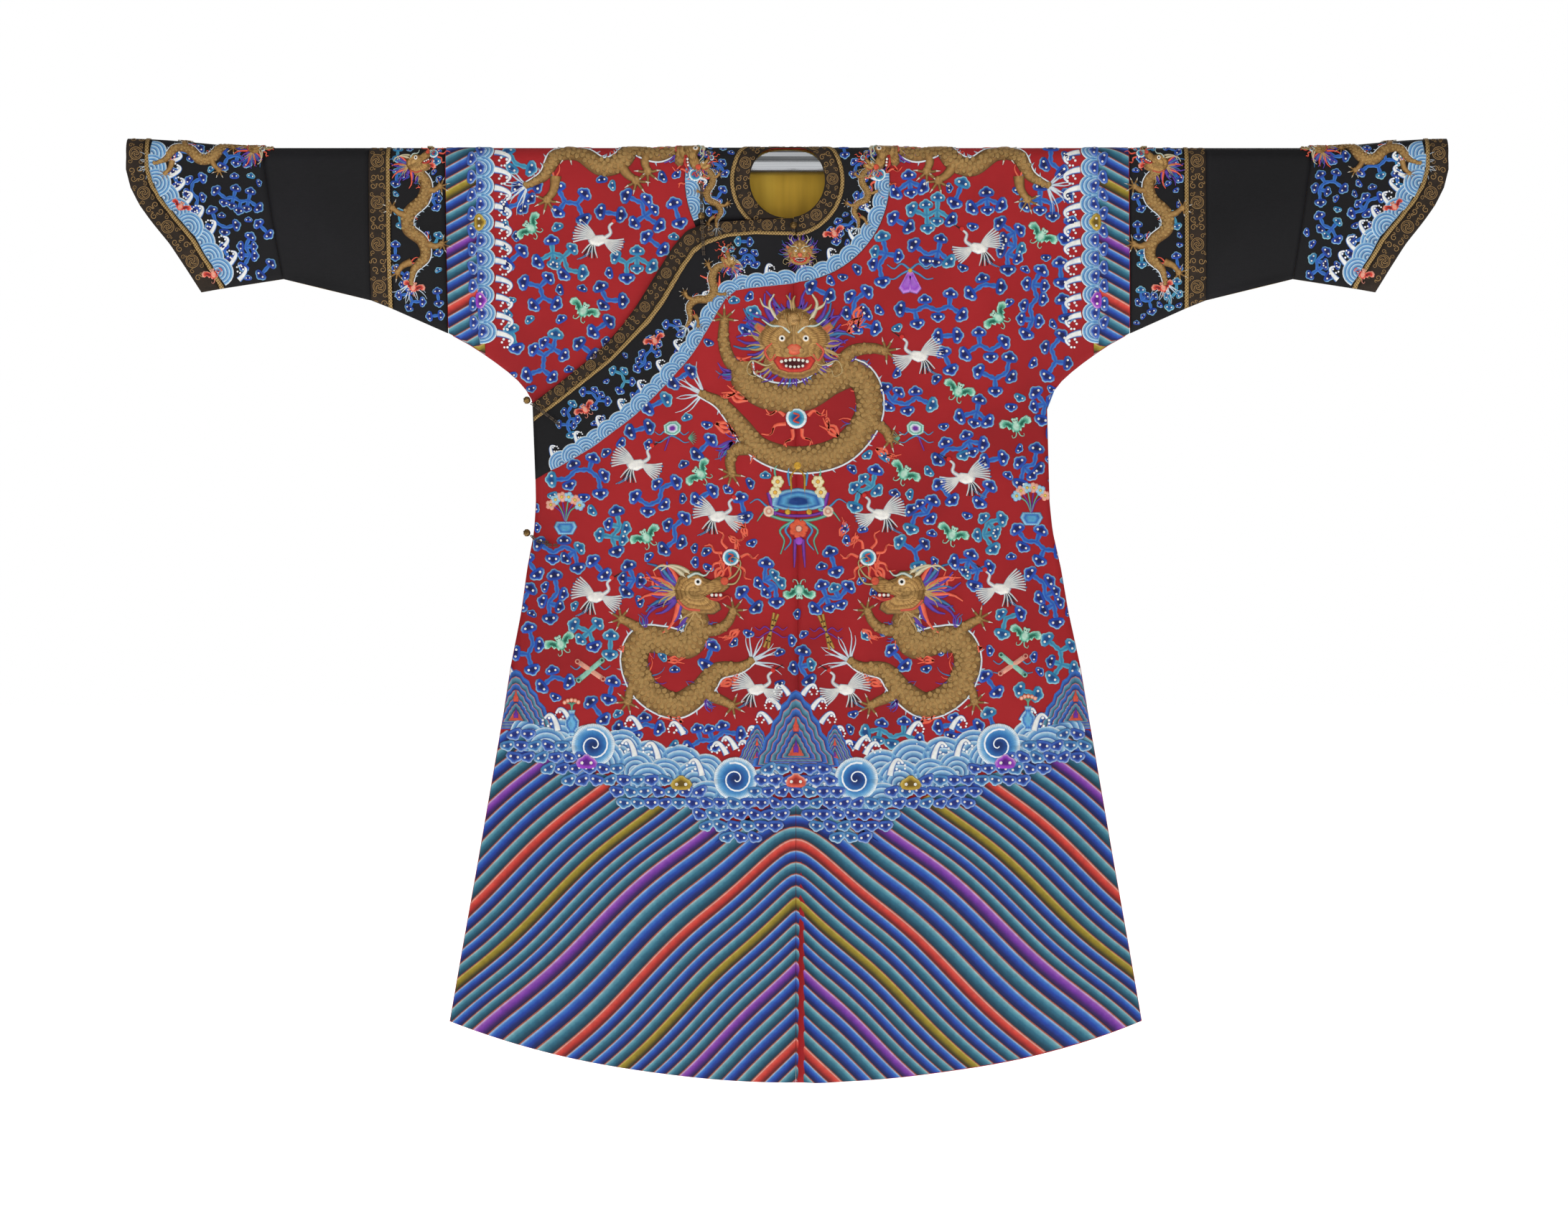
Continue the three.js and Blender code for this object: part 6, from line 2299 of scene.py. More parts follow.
def crane():
    """A white crane flying to the left, about 75 across."""
    own = Needlework()
    feather = cord("8a97a8", 1.0, "f2efe6")
    black = cord("07070a", 0.9, SOFT_BLACK)
    for k in range(7):
        a = -0.55 - 0.17 * k
        own.ribbon(
            smooth_path(
                [
                    (6, 0), (6 + 12 * math.cos(a), 12 * math.sin(a)),
                    (6 + 25 * math.cos(a - 0.1), 25 * math.sin(a - 0.1))
                ],
                8
            ),
                   np.linspace(4.0, 1.6, 8), black if k % 2 else feather)
    for base, way, count, reach in (((2, 4), 0.55, 9, 35), ((-8, 2), 3.75, 8, 31)):
        for k in range(count):
            a = way + (k - count / 2) * 0.13
            tip = (base[0] + reach * math.cos(a), base[1] + reach * math.sin(a))
            middle = (base[0] + reach * 0.5 * math.cos(a + 0.12), base[1] + reach * 0.5 * math.sin(a + 0.12))
            own.ribbon(smooth_path([base, middle, tip], 7), np.linspace(3.4, 2.6, 7), feather)
            if k % 2:
                own.disc(*tip, 2.0, ((1, BED, SOFT_BLACK), (0.5, 0.8, "5a8ac0")), 6)
    for lean in (0, 4):
        leg_line = smooth_path([(6 + lean, -5), (16 + lean, -18), (30 + lean, -24)], 8)
        own.ribbon(leg_line, 1.6, cord("2a4a70", 0.8, "6a9ac8"))
    own.shape([(-15, 4), (-8, 9), (4, 9), (15, 3), (12, -5), (0, -8), (-11, -4)],
              ((1, BED, "8a97a8"), (0.8, 1.3, "f4f1e8"), (0.4, 1.8, "fbf8f0")), (-1, 1))
    neck = smooth_path([(-11, 4), (-20, 10), (-19, 20), (-26, 26)], 14)
    own.ribbon(neck, np.linspace(6.5, 3.6, 14), cord("8a97a8", 1.6, "f6f3ea"))
    own.disc(-27, 27.5, 4.2, ((1, BED, "6a1016"), (0.75, 1.6, "d8302a")), 8)
    own.ribbon([(-29, 27), (-36, 31), (-43, 34)], (2.6, 1.8, 0.8), black)
    return own


def ties(own, x, z, sections, size=1.0):
    """Fluttering silk ties on both sides of an emblem."""
    for hand in (-1, 1):
        for lift in (0, 1):
            line = [
                (x, z), (x + hand * 10, z + 7 - 12 * lift), (x + hand * 19, z + 1 - 12 * lift),
                (x + hand * 27, z + 6 - 16 * lift)
            ]
            path = np.array(line)
            path = (path - (x, z)) * size + (x, z)
            own.ribbon(smooth_path(path, 14), np.linspace(3.4, 1.4, 14) * size, sections)


def fan():
    own = Needlework()
    ties(own, 0, 0, RIBBON_BLUE)
    own.ribbon([(0, 8), (-6, -8), (-12, -24)], (3, 3.4, 2.4), RIBBON_VIOLET)
    own.shape([(-12, 4), (-13, 16), (-4, 22), (8, 23), (15, 16), (14, 6), (6, 0), (-4, 0)],
              (
                  (1, BED, "0f5a4c"), (0.88, 1.0, "cfeadc"), (0.7, 1.2, "3f9f86"), (0.5, 1.2, "dfe9ee"),
                  (0.25, 1.4, "7a2fa0")
              ),
              (1, 11))
    for k in range(7):
        a = -0.9 + 0.3 * k
        own.ribbon([(26, -4), (26 + 13 * math.cos(a), -4 + 13 * math.sin(a))], (2.6, 0.8), RIBBON_GREEN)
    return own


def castanets():
    own = Needlework()
    ties(own, 0, 14, RIBBON_BLUE, 1.1)
    for lean in (-0.35, 0.3):
        plate = Needlework()
        plate.shape([(-4, 10), (4, 10), (8, -16), (0, -21), (-8, -16)],
                    ((1, BED, "3a1058"), (0.85, 1.0, "c88adf"), (0.6, 1.2, "9a48c4"), (0.3, 1.2, "b06ad4")),
                    (0, -4))
        own.place(plate, 8 * lean, 2, lean)
    own.disc(0, 13, 3.6, ((1, BED, GOLD_BROWN), (0.6, 1.6, BRIGHT_GOLD)), 8)
    return own


def flower_basket():
    own = Needlework()
    for k in range(6):
        a = 0.5 + 0.42 * k
        own.ribbon(
            smooth_path([(0, -10), (9 * math.cos(a), 8), (25 * math.cos(a), 4 + 25 * math.sin(a))], 8), 2.4,
            RIBBON_VIOLET if k % 2 else RIBBON_GREEN
        )
        x, z = 25 * math.cos(a), 4 + 25 * math.sin(a)
        tones = ("c8332a", "f0b49c") if k % 2 else ("2c6cb2", "a8d4e4")
        for j in range(5):
            b = TAU * j / 5
            own.disc(
                x + 4.6 * math.cos(b), z + 4.6 * math.sin(b), 4.2, ((1, 0.2, tones[0]), (0.6, 1.3, tones[1])),
                7
            )
        own.disc(x, z, 2.6, ((1, 1.3, "a07a18"), (0.5, 1.9, "f0d060")), 6)
    own.shape([(-14, -8), (14, -8), (18, -16), (11, -28), (-11, -28), (-18, -16)],
              ((1, BED, "14306a"), (0.85, 1.2, "8ec6e0"), (0.6, 1.5, "2a66b4"), (0.3, 1.6, "5aa6cf")),
              (0, -18))
    return own


def scrolls_emblem():
    own = Needlework()
    ties(own, 0, 0, RIBBON_BLUE, 1.1)
    for lean, dark, light in ((0.7, "1d5a48", "9bd4bc"), (-0.6, "8a1c1c", "f0a890")):
        roll = Needlework()
        roll.shape(
            [(-22, 4), (22, 4), (22, -4), (-22, -4)], ((1, BED, dark), (0.8, 1.4, light), (0.4, 1.7, light)),
            (0, 0)
        )
        for hand in (-1, 1):
            roll.disc(hand * 23, 0, 4.6, ((1, BED, dark), (0.7, 1.6, light), (0.4, 1.7, dark)), 8)
        own.place(roll, 0, 0, lean)
    return own


def flutes():
    own = Needlework()
    ties(own, 0, 0, RIBBON_VIOLET)
    for lean in (1.15, 1.4):
        pipe = Needlework()
        pipe.ribbon([(-30, 0), (0, 0), (30, 0)], 5, cord(GOLD_BROWN, 1.6, "cfa24a"))
        for k in range(-2, 3):
            pipe.disc(k * 9, 0, 1.5, ((1, 1.7, "2a1a08"), (0.5, 1.8, "2a1a08")), 6)
        own.place(pipe, 0, 0, lean)
    return own


def vase():
    own = Needlework()
    own.shape(
        [
            (-7, 24), (7, 24), (5, 16), (14, 4), (13, -10), (6, -20), (8, -25), (-8, -25), (-6, -20),
            (-13, -10), (-14, 4), (-5, 16)
        ],
              ((1, BED, "14306a"), (0.88, 1.2, "a8d4e4"), (0.66, 1.6, "2a66b4"), (0.35, 1.7, "6ab0d8")),
              (0, -2))
    for k in range(5):
        a = 0.9 + 0.35 * k
        own.ribbon(
            smooth_path([(0, 22), (4 * math.cos(a), 34), (20 * math.cos(a), 24 + 18 * math.sin(a))], 8), 2.2,
            RIBBON_GREEN
        )
        own.disc(
            20 * math.cos(a), 24 + 18 * math.sin(a), 5,
            ((1, BED, "8a1c1c"), (0.7, 1.2, "e87a58"), (0.3, 1.6, "f4c8b0")), 8
        )
    return own


def hanging_ornament():
    """A basin with waves, flowers and a gold stand, over a tasselled knot, about the basin's rim."""
    own = Needlework()
    for hand in (-1, 1):
        for turn, reach in ((0.2, 60), (-0.25, 50)):
            line = [
                (hand * 30, -4), (hand * (reach - 14), -4 + 14 * turn), (hand * reach, 2 + 40 * turn),
                (hand * (reach + 12), -8 + 60 * turn)
            ]
            own.ribbon(
                smooth_path(line, 16), np.linspace(5, 1.6, 16), RIBBON_BLUE if turn > 0 else RIBBON_GREEN
            )
        plume = smooth_path([(hand * 8, 60), (hand * 22, 66), (hand * 34, 54), (hand * 30, 34)], 14)
        own.ribbon(plume, np.linspace(6, 2.4, 14), RIBBON_GREEN)
        for x, z in ((30, 36), (34, 20)):
            for j in range(6):
                b = TAU * j / 6
                own.disc(
                    hand * (x + 5.4 * math.cos(b)), z + 5.4 * math.sin(b), 4.6,
                    ((1, 0.2, "b8902a"), (0.6, 1.4, "f2e6b8")), 7
                )
            own.disc(hand * x, z, 3.4, ((1, 1.4, "b06a1c"), (0.5, 2.0, "f0c050")), 7)
        own.ribbon([(hand * 44, 20), (hand * 38, -6), (hand * 34, -14)], (7, 7, 5), RIBBON_VIOLET)
        own.disc(
            hand * 44, -8, 9,
            ((1, BED, "8a5a3a"), (0.8, 1.2, "f2d8c0"), (0.4, 1.4, "c8876a"), (0.2, 1.5, "f2d8c0")), 12
        )
    own.shape(
        [(-44, 0), (-38, 18), (-20, 24), (0, 27), (20, 24), (38, 18), (44, 0), (24, -6), (0, -8), (-24, -6)],
              (
                  (1, BED, "0f2a5c"), (0.86, 1.0, "8ec6e0"), (0.7, 1.3, "1d55a0"), (0.5, 1.3, "5aa6cf"),
                  (0.3, 1.4, "123f86")
              ),
              (0, 6))
    own.ribbon(smooth_path([(-46, -6), (-24, -13), (0, -15), (24, -13), (46, -6)], 24), 5.0, RIBBON_VIOLET)
    own.ribbon(smooth_path([(-48, -12), (-24, -20), (0, -22), (24, -20), (48, -12)], 24), 5.0, RIBBON_GREEN)
    for hand in (-1, 1):
        stand = smooth_path([(0, 56), (hand * 10, 44), (hand * 10, 20), (hand * 14, 0), (hand * 16, -8)], 18)
        own.ribbon(stand, 4.0, RIBBON_GOLD, slot=1)
        own.disc(hand * 16, -9, 5.0, ((1, BED, GOLD_BROWN), (0.7, 2.2, BRIGHT_GOLD)), 9, slot=1)
        arch = smooth_path([(0, 70), (hand * 8, 66), (hand * 14, 50), (hand * 12, 30)], 14)
        own.ribbon(arch, np.linspace(7, 3, 14), RIBBON_BLUE)
    own.disc(0, 60, 7, ((1, BED, GOLD_BROWN), (0.7, 2.2, BRIGHT_GOLD)), 10, slot=1)
    for hand in (-1, 1):
        for depth in (0, 1):
            drop = smooth_path(
                [
                    (hand * 8, -22), (hand * (20 + 8 * depth), -36), (hand * (12 + 10 * depth), -52),
                    (hand * (22 + 6 * depth), -66 - 6 * depth)
                ],
                16
            )
            own.ribbon(drop, np.linspace(5, 2, 16), (RIBBON_BLUE, RIBBON_GREEN)[depth])
        own.ribbon([(hand * 6, -50), (hand * 7, -74), (hand * 8, -92)], (6, 5, 2), RIBBON_VIOLET)
    for j in range(7):
        b = TAU * j / 7
        own.disc(9 * math.cos(b), -34 + 9 * math.sin(b), 6.5, ((1, 0.4, "8a141a"), (0.6, 1.8, "e8603c")), 8)
    own.disc(0, -34, 5.5, ((1, 1.6, "6a1016"), (0.6, 2.4, "f2b49a")), 10)
    own.disc(0, -52, 7, ((1, BED, "35104a"), (0.7, 1.8, "a04cc8")), 10)
    return own


BATS = (
    (-382, -101, 0.9), (-307, -225, -0.5), (377, -114, -0.6), (313, -235, 0.9), (-219, -563, 0.5),
    (-136, -468, 0.9),
    (166, -468, -0.6), (336, -397, 0.2), (236, -559, -0.4), (-350, -722, 0.4), (342, -710, -0.3),
    (-250, -345, 0.8),
    (250, -345, -0.4), (7, -640, math.pi),
)
CRANES = (
    (-283, -120, -1), (284, -132, 1), (192, -293, 1), (-112, -532, -1), (131, -529, 1), (-296, -652, -1),
    (308, -640, 1),
    (-58, -790, -1), (74, -790, 1), (-232, -455, -1), (258, -475, 1),
)
EMBLEMS = (
    (fan, -178, -410, 0.95, 1), (fan, 186, -410, 0.95, -1), (castanets, 182, -179, 1.15, 1),
    (castanets, -238, -265, 1.1, -1),
    (flower_basket, -340, -530, 1.0, 1), (flower_basket, 356, -516, 1.0, -1),
    (scrolls_emblem, -306, -760, 1.0, 1),
    (scrolls_emblem, 324, -752, 1.0, -1), (flutes, -36, -701, 0.9, 1), (flutes, 46, -703, 0.9, -1),
    (vase, -334, -838, 0.8, 1),
    (vase, 346, -832, 0.8, -1),
)
MOTIF_DISCS = tuple((x, z, 19) for x, z, turn in BATS) + tuple((x, z, 27) for x, z, way in CRANES)
MOTIF_DISCS += tuple((x, z, 27) for draw, x, z, size, way in EMBLEMS)
RED_MOTIFS += (MOTIF_DISCS, ((8, -500, 50), (8, -515, 62), (50, -520, 30), (-34, -520, 30), (8, -580, 34)))
RED_MOTIFS = tuple(tuple((x, z, 0.86 * r) for x, z, r in discs) for discs in RED_MOTIFS)


def sew_emblems(name, face):
    """Bats, cranes, the emblems and the hanging ornament, wherever the red ground is open."""
    work = Needlework()
    open_ground = red_ground(face, 0.0)
    yoke_bat = bat("7a141a", "f0a890", "d8402e")
    green_bat = bat()
    white_crane = crane()
    for x, z, turn in BATS:
        if open_ground(np.array((x,)), np.array((z,)))[0]:
            work.place(green_bat, x, z, turn, 1.0, x < 0, lift=0.3)
    for x, z, way in CRANES:
        if open_ground(np.array((x,)), np.array((z,)))[0]:
            work.place(white_crane, x, z, -0.1 * way, 1.0, way < 0, lift=0.35)
    for draw, x, z, size, way in EMBLEMS:
        if open_ground(np.array((x,)), np.array((z,)))[0] or z < -800:
            work.place(draw(), x, z, 0.0, size, way < 0, lift=0.4)
    work.place(hanging_ornament(), 8, -515, lift=0.5)
    for hand in (-1, 1):
        for x, z, turn in ((560, -190, 0.3), (541, -10, 0.2), (905, -70, 0.5), (858, -170, -0.3)):
            work.place(yoke_bat, hand * x, z, hand * turn, 0.7, False, lift=0.3)
        licks(
            work, [(hand * 70, -560, 1.2 if hand > 0 else 2.0), (hand * 96, -560, 0.8 if hand > 0 else 2.4)],
            0.6
        )
    if face == FRONT:
        for x, z, turn in ((-200, -270, 0.4), (-306, -372, 0.6), (70, -110, 0.4)):
            work.place(yoke_bat, x, z, turn, 0.7, False, lift=0.3)
    return work.sew(name, face, "brocade")


# ---- Fastenings ---------------------------------------------------------------------------------------


PER_METRE = 1000
BALL_ROWS, BALL_SIDES = 18, 26
# Half the gap between a loop's two cords, the length of one twist, and the strands of each.
CORD_GAP, CORD_LAY, STRAND_OFFSET, STRAND_RADIUS = 1.25, 5.5, 0.42, 0.62


def round_cord(line, radius, sides=8):
    """Points and faces of a cord round a line in space, in millimetres."""
    line = np.asarray(line, float)
    run = np.gradient(line, axis=0)
    run /= np.linalg.norm(run, axis=1)[:, None]
    up = np.cross(run, (0.0, 1.0, 0.0))
    up /= np.maximum(np.linalg.norm(up, axis=1), 1e-6)[:, None]
    out = np.cross(run, up)
    angles = np.arange(sides) / sides * TAU
    points = line[:, None] + radius * (
        np.cos(angles)[:, None] * up[:, None] + np.sin(angles)[:, None] * out[:, None]
    )
    return points.reshape(-1, 3), len(line), sides


def knobbly_ball(centre, radius):
    """A cast ball with raised beads."""
    rows, sides = BALL_ROWS, BALL_SIDES
    tilt = np.linspace(0.05, math.pi - 0.05, rows)[:, None]
    turn = (np.arange(sides) / sides * TAU)[None]
    knobs = 1 + 0.1 * np.maximum(np.sin(4 * tilt) * np.sin(5 * turn), 0) + 0.05 * np.cos(8 * tilt + 3 * turn)
    ball = np.stack((np.sin(tilt) * np.cos(turn), np.sin(tilt) * np.sin(turn), np.cos(tilt) + 0 * turn), -1)
    return (np.array(centre) + radius * knobs[..., None] * ball).reshape(-1, 3), rows, sides


def closed_tube(name, parts, finish):
    """One mesh from rings of points, each part capped at both ends."""
    points, faces, uvs, start = [], [], [], 0
    for ring_points, rows, sides in parts:
        points.append(ring_points)
        along = np.repeat(np.arange(rows) * 0.0016, sides)
        uvs.append(np.stack((along, np.tile(np.arange(sides) * 0.0009, rows)), -1))
        for row in range(rows - 1):
            for k in range(sides):
                a, b = start + row * sides + k, start + row * sides + (k + 1) % sides
                faces.append((a, b, b + sides, a + sides))
        faces.append(tuple(range(start, start + sides))[::-1])
        faces.append(tuple(range(start + (rows - 1) * sides, start + rows * sides)))
        start += rows * sides
    mesh = bpy.data.meshes.new(name)
    mesh.from_pydata((np.concatenate(points) / PER_METRE).tolist(), [], faces)
    mesh.update()
    own = bmesh.new()
    own.from_mesh(mesh)
    bmesh.ops.recalc_face_normals(own, faces=own.faces)
    own.to_mesh(mesh)
    own.free()
    for polygon in mesh.polygons:
        polygon.use_smooth = True
    uvs = np.concatenate(uvs)
    layer = mesh.uv_layers.new(name="stitch")
    corners = np.empty(len(mesh.loops), dtype=np.int32)
    mesh.loops.foreach_get("vertex_index", corners)
    layer.data.foreach_set("uv", uvs[corners].ravel())
    mesh.materials.append(material(finish))
    return mesh


def middle_line(node, steps=18):
    """The line down the middle of a strap, in millimetres, found from its solid."""
    points = np.array([node.matrix_world @ v.co for v in node.data.vertices]) * PER_METRE
    centre = points.mean(axis=0)
    way = np.linalg.svd(points - centre, full_matrices=False)[2][0]
    along = (points - centre) @ way
    places = np.linspace(along.min(), along.max(), steps)
    reach = (along.max() - along.min()) / (steps - 1)
    near = [np.abs(along - place) <= reach for place in places]
    return np.array([points[close].mean(axis=0) for close in near if close.any()])


def make_fastening(name, node):
    """The twisted cords or the ball that stand where a fastening's solid is."""
    if name.startswith("button_") and not name.startswith("button_strap"):
        points = np.array([node.matrix_world @ v.co for v in node.data.vertices]) * PER_METRE
        low, high = points.min(axis=0), points.max(axis=0)
        radius = 0.5 * np.sort(high - low)[1]
        centre = (low + high) / 2
        mesh = closed_tube("ball_" + name[7:], [knobbly_ball(centre, radius / 1.06)], "brass")
        slot = "aged_brass"
    else:
        line = middle_line(node)
        t = np.linspace(0, 1, 90)
        line = np.stack([np.interp(t, np.linspace(0, 1, len(line)), line[:, k]) for k in range(3)], -1)
        run = np.gradient(line, axis=0)
        run /= np.linalg.norm(run, axis=1)[:, None]
        side = np.cross(run, (0.0, 1.0, 0.0))
        length = np.linalg.norm(np.diff(line, axis=0), axis=1).sum()
        parts = []
        for row in (-CORD_GAP, CORD_GAP):
            for phase in (0, math.pi):
                turn = (t * length / CORD_LAY * TAU + phase)[:, None]
                strand = line + side * (row + STRAND_OFFSET * np.cos(turn))
                strand = strand + np.array((0, 1, 0)) * STRAND_OFFSET * np.sin(turn)
                parts.append(round_cord(strand, STRAND_RADIUS, 6))
        mesh = closed_tube("cord_" + name, parts, "cord")
        slot = "brocade"
    return stitch_down(make_object(mesh.name, mesh), [name], slot)


# ---- Sizes and colours that a user changes ------------------------------------------------------------


class RobeSizes(bpy.types.PropertyGroup):
    cell: bpy.props.FloatProperty(
        name="Cloth cell", description="Width of the cells of the cloth, in millimetres", default=13.5,
        min=6.0
    )
    lens: bpy.props.FloatProperty(
        name="Lens", description="Focal length of the camera, in millimetres", default=85.0, min=20.0
    )
    view_width: bpy.props.FloatProperty(
        name="View width", description="Width that the camera sees at the front", default=2.3369,
        unit="LENGTH"
    )


class RobeColours(bpy.types.PropertyGroup):
    floor: bpy.props.FloatVectorProperty(
        name="Floor", description="Colour of the studio floor", subtype="COLOR", size=3,
        default=(0.93, 0.93, 0.93)
    )


class ROBE_OT_body(bpy.types.Operator):
    """Cuts the red body panels: two backs, the under front, the right front and the overlap."""

    bl_idname = "robe.body"
    bl_label = "Body"

    def execute(self, context):
        cell = context.scene.robe_sizes.cell

        def front_x(s, z):
            return np.maximum(neck_circle_x(NECK_CUT, s), centre_seam_x(z) + SEAM / 2)

        def under_x(s, z):
            return np.maximum(neck_circle_x(NECK_CUT, s), mix(10, 45, smooth_step((-z - 90) / 120)))

        def back_x(s, z):
            return SEAM / 2

        panel("front_right", *body_grid(1, 1, front_x, cell), "red", "red_satin")
        panel("under_front", *body_grid(1, -1, under_x, cell, 25), "red", "red_satin", lift=under_lift)
        panel("front_overlap", *overlap_grid(cell), "red", "red_satin", lift=overlap_lift)
        panel("back_left", *body_grid(-1, -1, back_x, cell), "red", "red_satin")
        panel("back_right", *body_grid(-1, 1, back_x, cell), "red", "red_satin")
        return {"FINISHED"}


class ROBE_OT_yoke(bpy.types.Operator):
    """Lays the black yoke round the neck and down the overlap."""

    bl_idname = "robe.yoke"
    bl_label = "Yoke"

    def execute(self, context):
        columns = np.linspace(0, 1, 10)
        said = {"level": YOKE_LEVEL, "thickness": YOKE_WALL}
        rows = np.concatenate((CREST_ROWS, QUARTER - np.linspace(-8, -180.5, 26)))
        seam = centre_seam_x(QUARTER - rows) + SEAM / 2
        inner = np.maximum(neck_circle_x(66, rows), seam)
        outer = np.maximum(neck_circle_x(YOKE_RADIUS, rows), seam + 1)
        x = mix(inner[:, None], outer[:, None], columns)
        panel("yoke_front", x, rows[:, None] + 0 * x, "black", "black_satin", **said)

        rows = np.concatenate((CREST_ROWS, QUARTER - np.linspace(-8, -80, 11)))
        x = -mix(neck_circle_x(66, rows)[:, None], neck_circle_x(YOKE_RADIUS, rows)[:, None], columns)
        edge_x = -mix(31, 137, columns)[None]
        edge_s = distance_at(edge_x, z_of(UPPER_CUT, edge_x) + 2 * SEAM)
        x_grid = np.concatenate((x, edge_x))
        s_grid = np.concatenate((rows[:, None] + 0 * x, edge_s))
        panel("yoke_under", x_grid, s_grid, "black", "black_satin", lift=under_lift, **said)

        rows = np.concatenate((CREST_ROWS, np.linspace(37, 90.5, 12)))
        x = neck_circle_x(YOKE_RADIUS, -rows)[:, None] * np.linspace(-1, 1, 30)
        panel("yoke_back", x, -rows[:, None] + 0 * x, "black", "black_satin", **said)

        x, s = strip_grid(UPPER_CUT, YOKE_CUT, 0, 1, 10, 10)
        panel("yoke_overlap", x, s, "black", "black_satin", lift=overlap_lift, **said)
        return {"FINISHED"}


class ROBE_OT_bands(bpy.types.Operator):
    """Sews the brocade and the gold braid round the neck and along the closing edge, and the lining."""

    bl_idname = "robe.bands"
    bl_label = "Neck and closing bands"

    def execute(self, context):
        band = {"level": BAND_LEVEL, "thickness": BAND_WALL}
        braid = {"level": (YOKE_TOP + BRAID_TOP) / 2, "thickness": BRAID_TOP - YOKE_TOP}
        panel("neck_band", *ring_grid(NECK_INNER, NECK_BAND, 5), "brocade", "brocade", lift=neck_lift, **band)
        x, s = ring_grid(NECK_BAND + SEAM, NECK_BRAID, 3)
        panel("neck_braid", x, s, "braid", "gold_braid", lift=neck_lift, **braid)
        x, s = strip_grid(UPPER_CUT, LOWER_CUT, 0, BAND_SHARE - 0.012, 6, 4)
        panel("closing_band", x, s, "brocade", "brocade", lift=overlap_lift, **band)
        x, s = strip_grid(UPPER_CUT, LOWER_CUT, BAND_SHARE, 1, 6, 3)
        panel("closing_braid", x, s, "braid", "gold_braid", lift=overlap_lift, **braid)
        x, z = np.meshgrid(np.linspace(-120, 120, 40), np.linspace(-14, -170, 28))

        def creased(x, z):
            return 0.7 * np.sin(x / 9.0 + 1.3 * np.sin(z / 40)) + 0.4 * np.sin(x / 4.3)

        panel(
            "neck_lining", x, -distance_at(x, z), "yellow", "yellow_silk", level=-2.6, thickness=0.8,
            lift=creased
        )
        return {"FINISHED"}


class ROBE_OT_sleeves(bpy.types.Operator):
    """Builds both sleeves: the band, braid, brocade, plain lower sleeve, cuff and its edges."""

    bl_idname = "robe.sleeves"
    bl_label = "Sleeves"

    def execute(self, context):
        half = SEAM / 2
        slant = 0.65 * SEAM
        on_top = {"level": (BASE_TOP + 2.0) / 2, "thickness": 2.0 - BASE_TOP}
        for name, hand in (("left", -1), ("right", 1)):
            tubes = (
                (
                    "sleeve_band", straight_edge(SLEEVE_SEAM + half), straight_edge(SLEEVE_BRAID - half),
                    "black", {}
                ),
                (
                    "sleeve_braid", straight_edge(SLEEVE_BRAID - 3), straight_edge(SLEEVE_BRAID + 3), "braid",
                    on_top
                ),
                (
                    "sleeve_brocade", straight_edge(SLEEVE_BRAID + half),
                    straight_edge(SLEEVE_BROCADE - half), "brocade", {}
                ),
                ("lower_sleeve", straight_edge(SLEEVE_BROCADE + half), joint_edge(-half), "black", {}),
                ("cuff", joint_edge(half), mouth_edge(CUFF_BROCADE + slant), "black", {}),
                ("cuff_braid", mouth_edge(CUFF_BROCADE + BRAID), mouth_edge(CUFF_BROCADE), "braid", on_top),
                ("cuff_brocade", mouth_edge(CUFF_BROCADE - slant), mouth_edge(0), "brocade", {}),
            )
            for piece, inner, outer, kind, said in tubes:
                x, s = tube_grid(hand, inner, outer, 9)
                slot = {"black": "black_satin", "braid": "gold_braid", "brocade": "brocade"}[kind]
                panel(f"{piece}_{name}", x, s, kind, slot, **said)
        return {"FINISHED"}


class ROBE_OT_rod(bpy.types.Operator):
    """Gives the rod its brushed metal."""

    bl_idname = "robe.rod"
    bl_label = "Rod"

    def execute(self, context):
        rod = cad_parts["rod"]
        for slot in rod.material_slots:
            slot.material = material("rod")
        return {"FINISHED"}


class ROBE_OT_fastenings(bpy.types.Operator):
    """Casts the knobbly ball buttons and twists the cords of their loops."""

    bl_idname = "robe.fastenings"
    bl_label = "Buttons and loops"

    def execute(self, context):
        for name, node in list(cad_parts.items()):
            if name.startswith(("button_", "loop_")):
                make_fastening(name, node)
        return {"FINISHED"}


class ROBE_OT_stripes(bpy.types.Operator):
    """Sews the slanting bands of standing water on the skirt, front and back."""

    bl_idname = "robe.stripes"
    bl_label = "Skirt stripes"

    def execute(self, context):
        sew_stripes("stripes_front", FRONT)
        sew_stripes("stripes_back", BACK)
        return {"FINISHED"}


class ROBE_OT_clouds(bpy.types.Operator):
    """Sews linked clouds over the red ground, front and back."""

    bl_idname = "robe.clouds"
    bl_label = "Clouds"

    def execute(self, context):
        for name, face in (("front", FRONT), ("back", BACK)):
            ground = Ground(red_ground(face), 11 if face == FRONT else 23)
            for motif in RED_MOTIFS:
                ground.take(*motif)
            if face == FRONT:
                for x, z, radius in FRONT_ONLY:
                    ground.take((x, z, radius))
            ground.fill((-450, 450, -900, 24), 26000)
            work = Needlework()
            ground.sew(work)
            work.sew(f"clouds_{name}", face, "brocade")
        return {"FINISHED"}


class ROBE_OT_water(bpy.types.Operator):
    """Sews the mountains, the waves and the mass of cloud heads above the stripes."""

    bl_idname = "robe.water"
    bl_label = "Waves and mountains"

    def execute(self, context):
        sew_water("water_front", FRONT)
        sew_water("water_back", BACK)
        return {"FINISHED"}


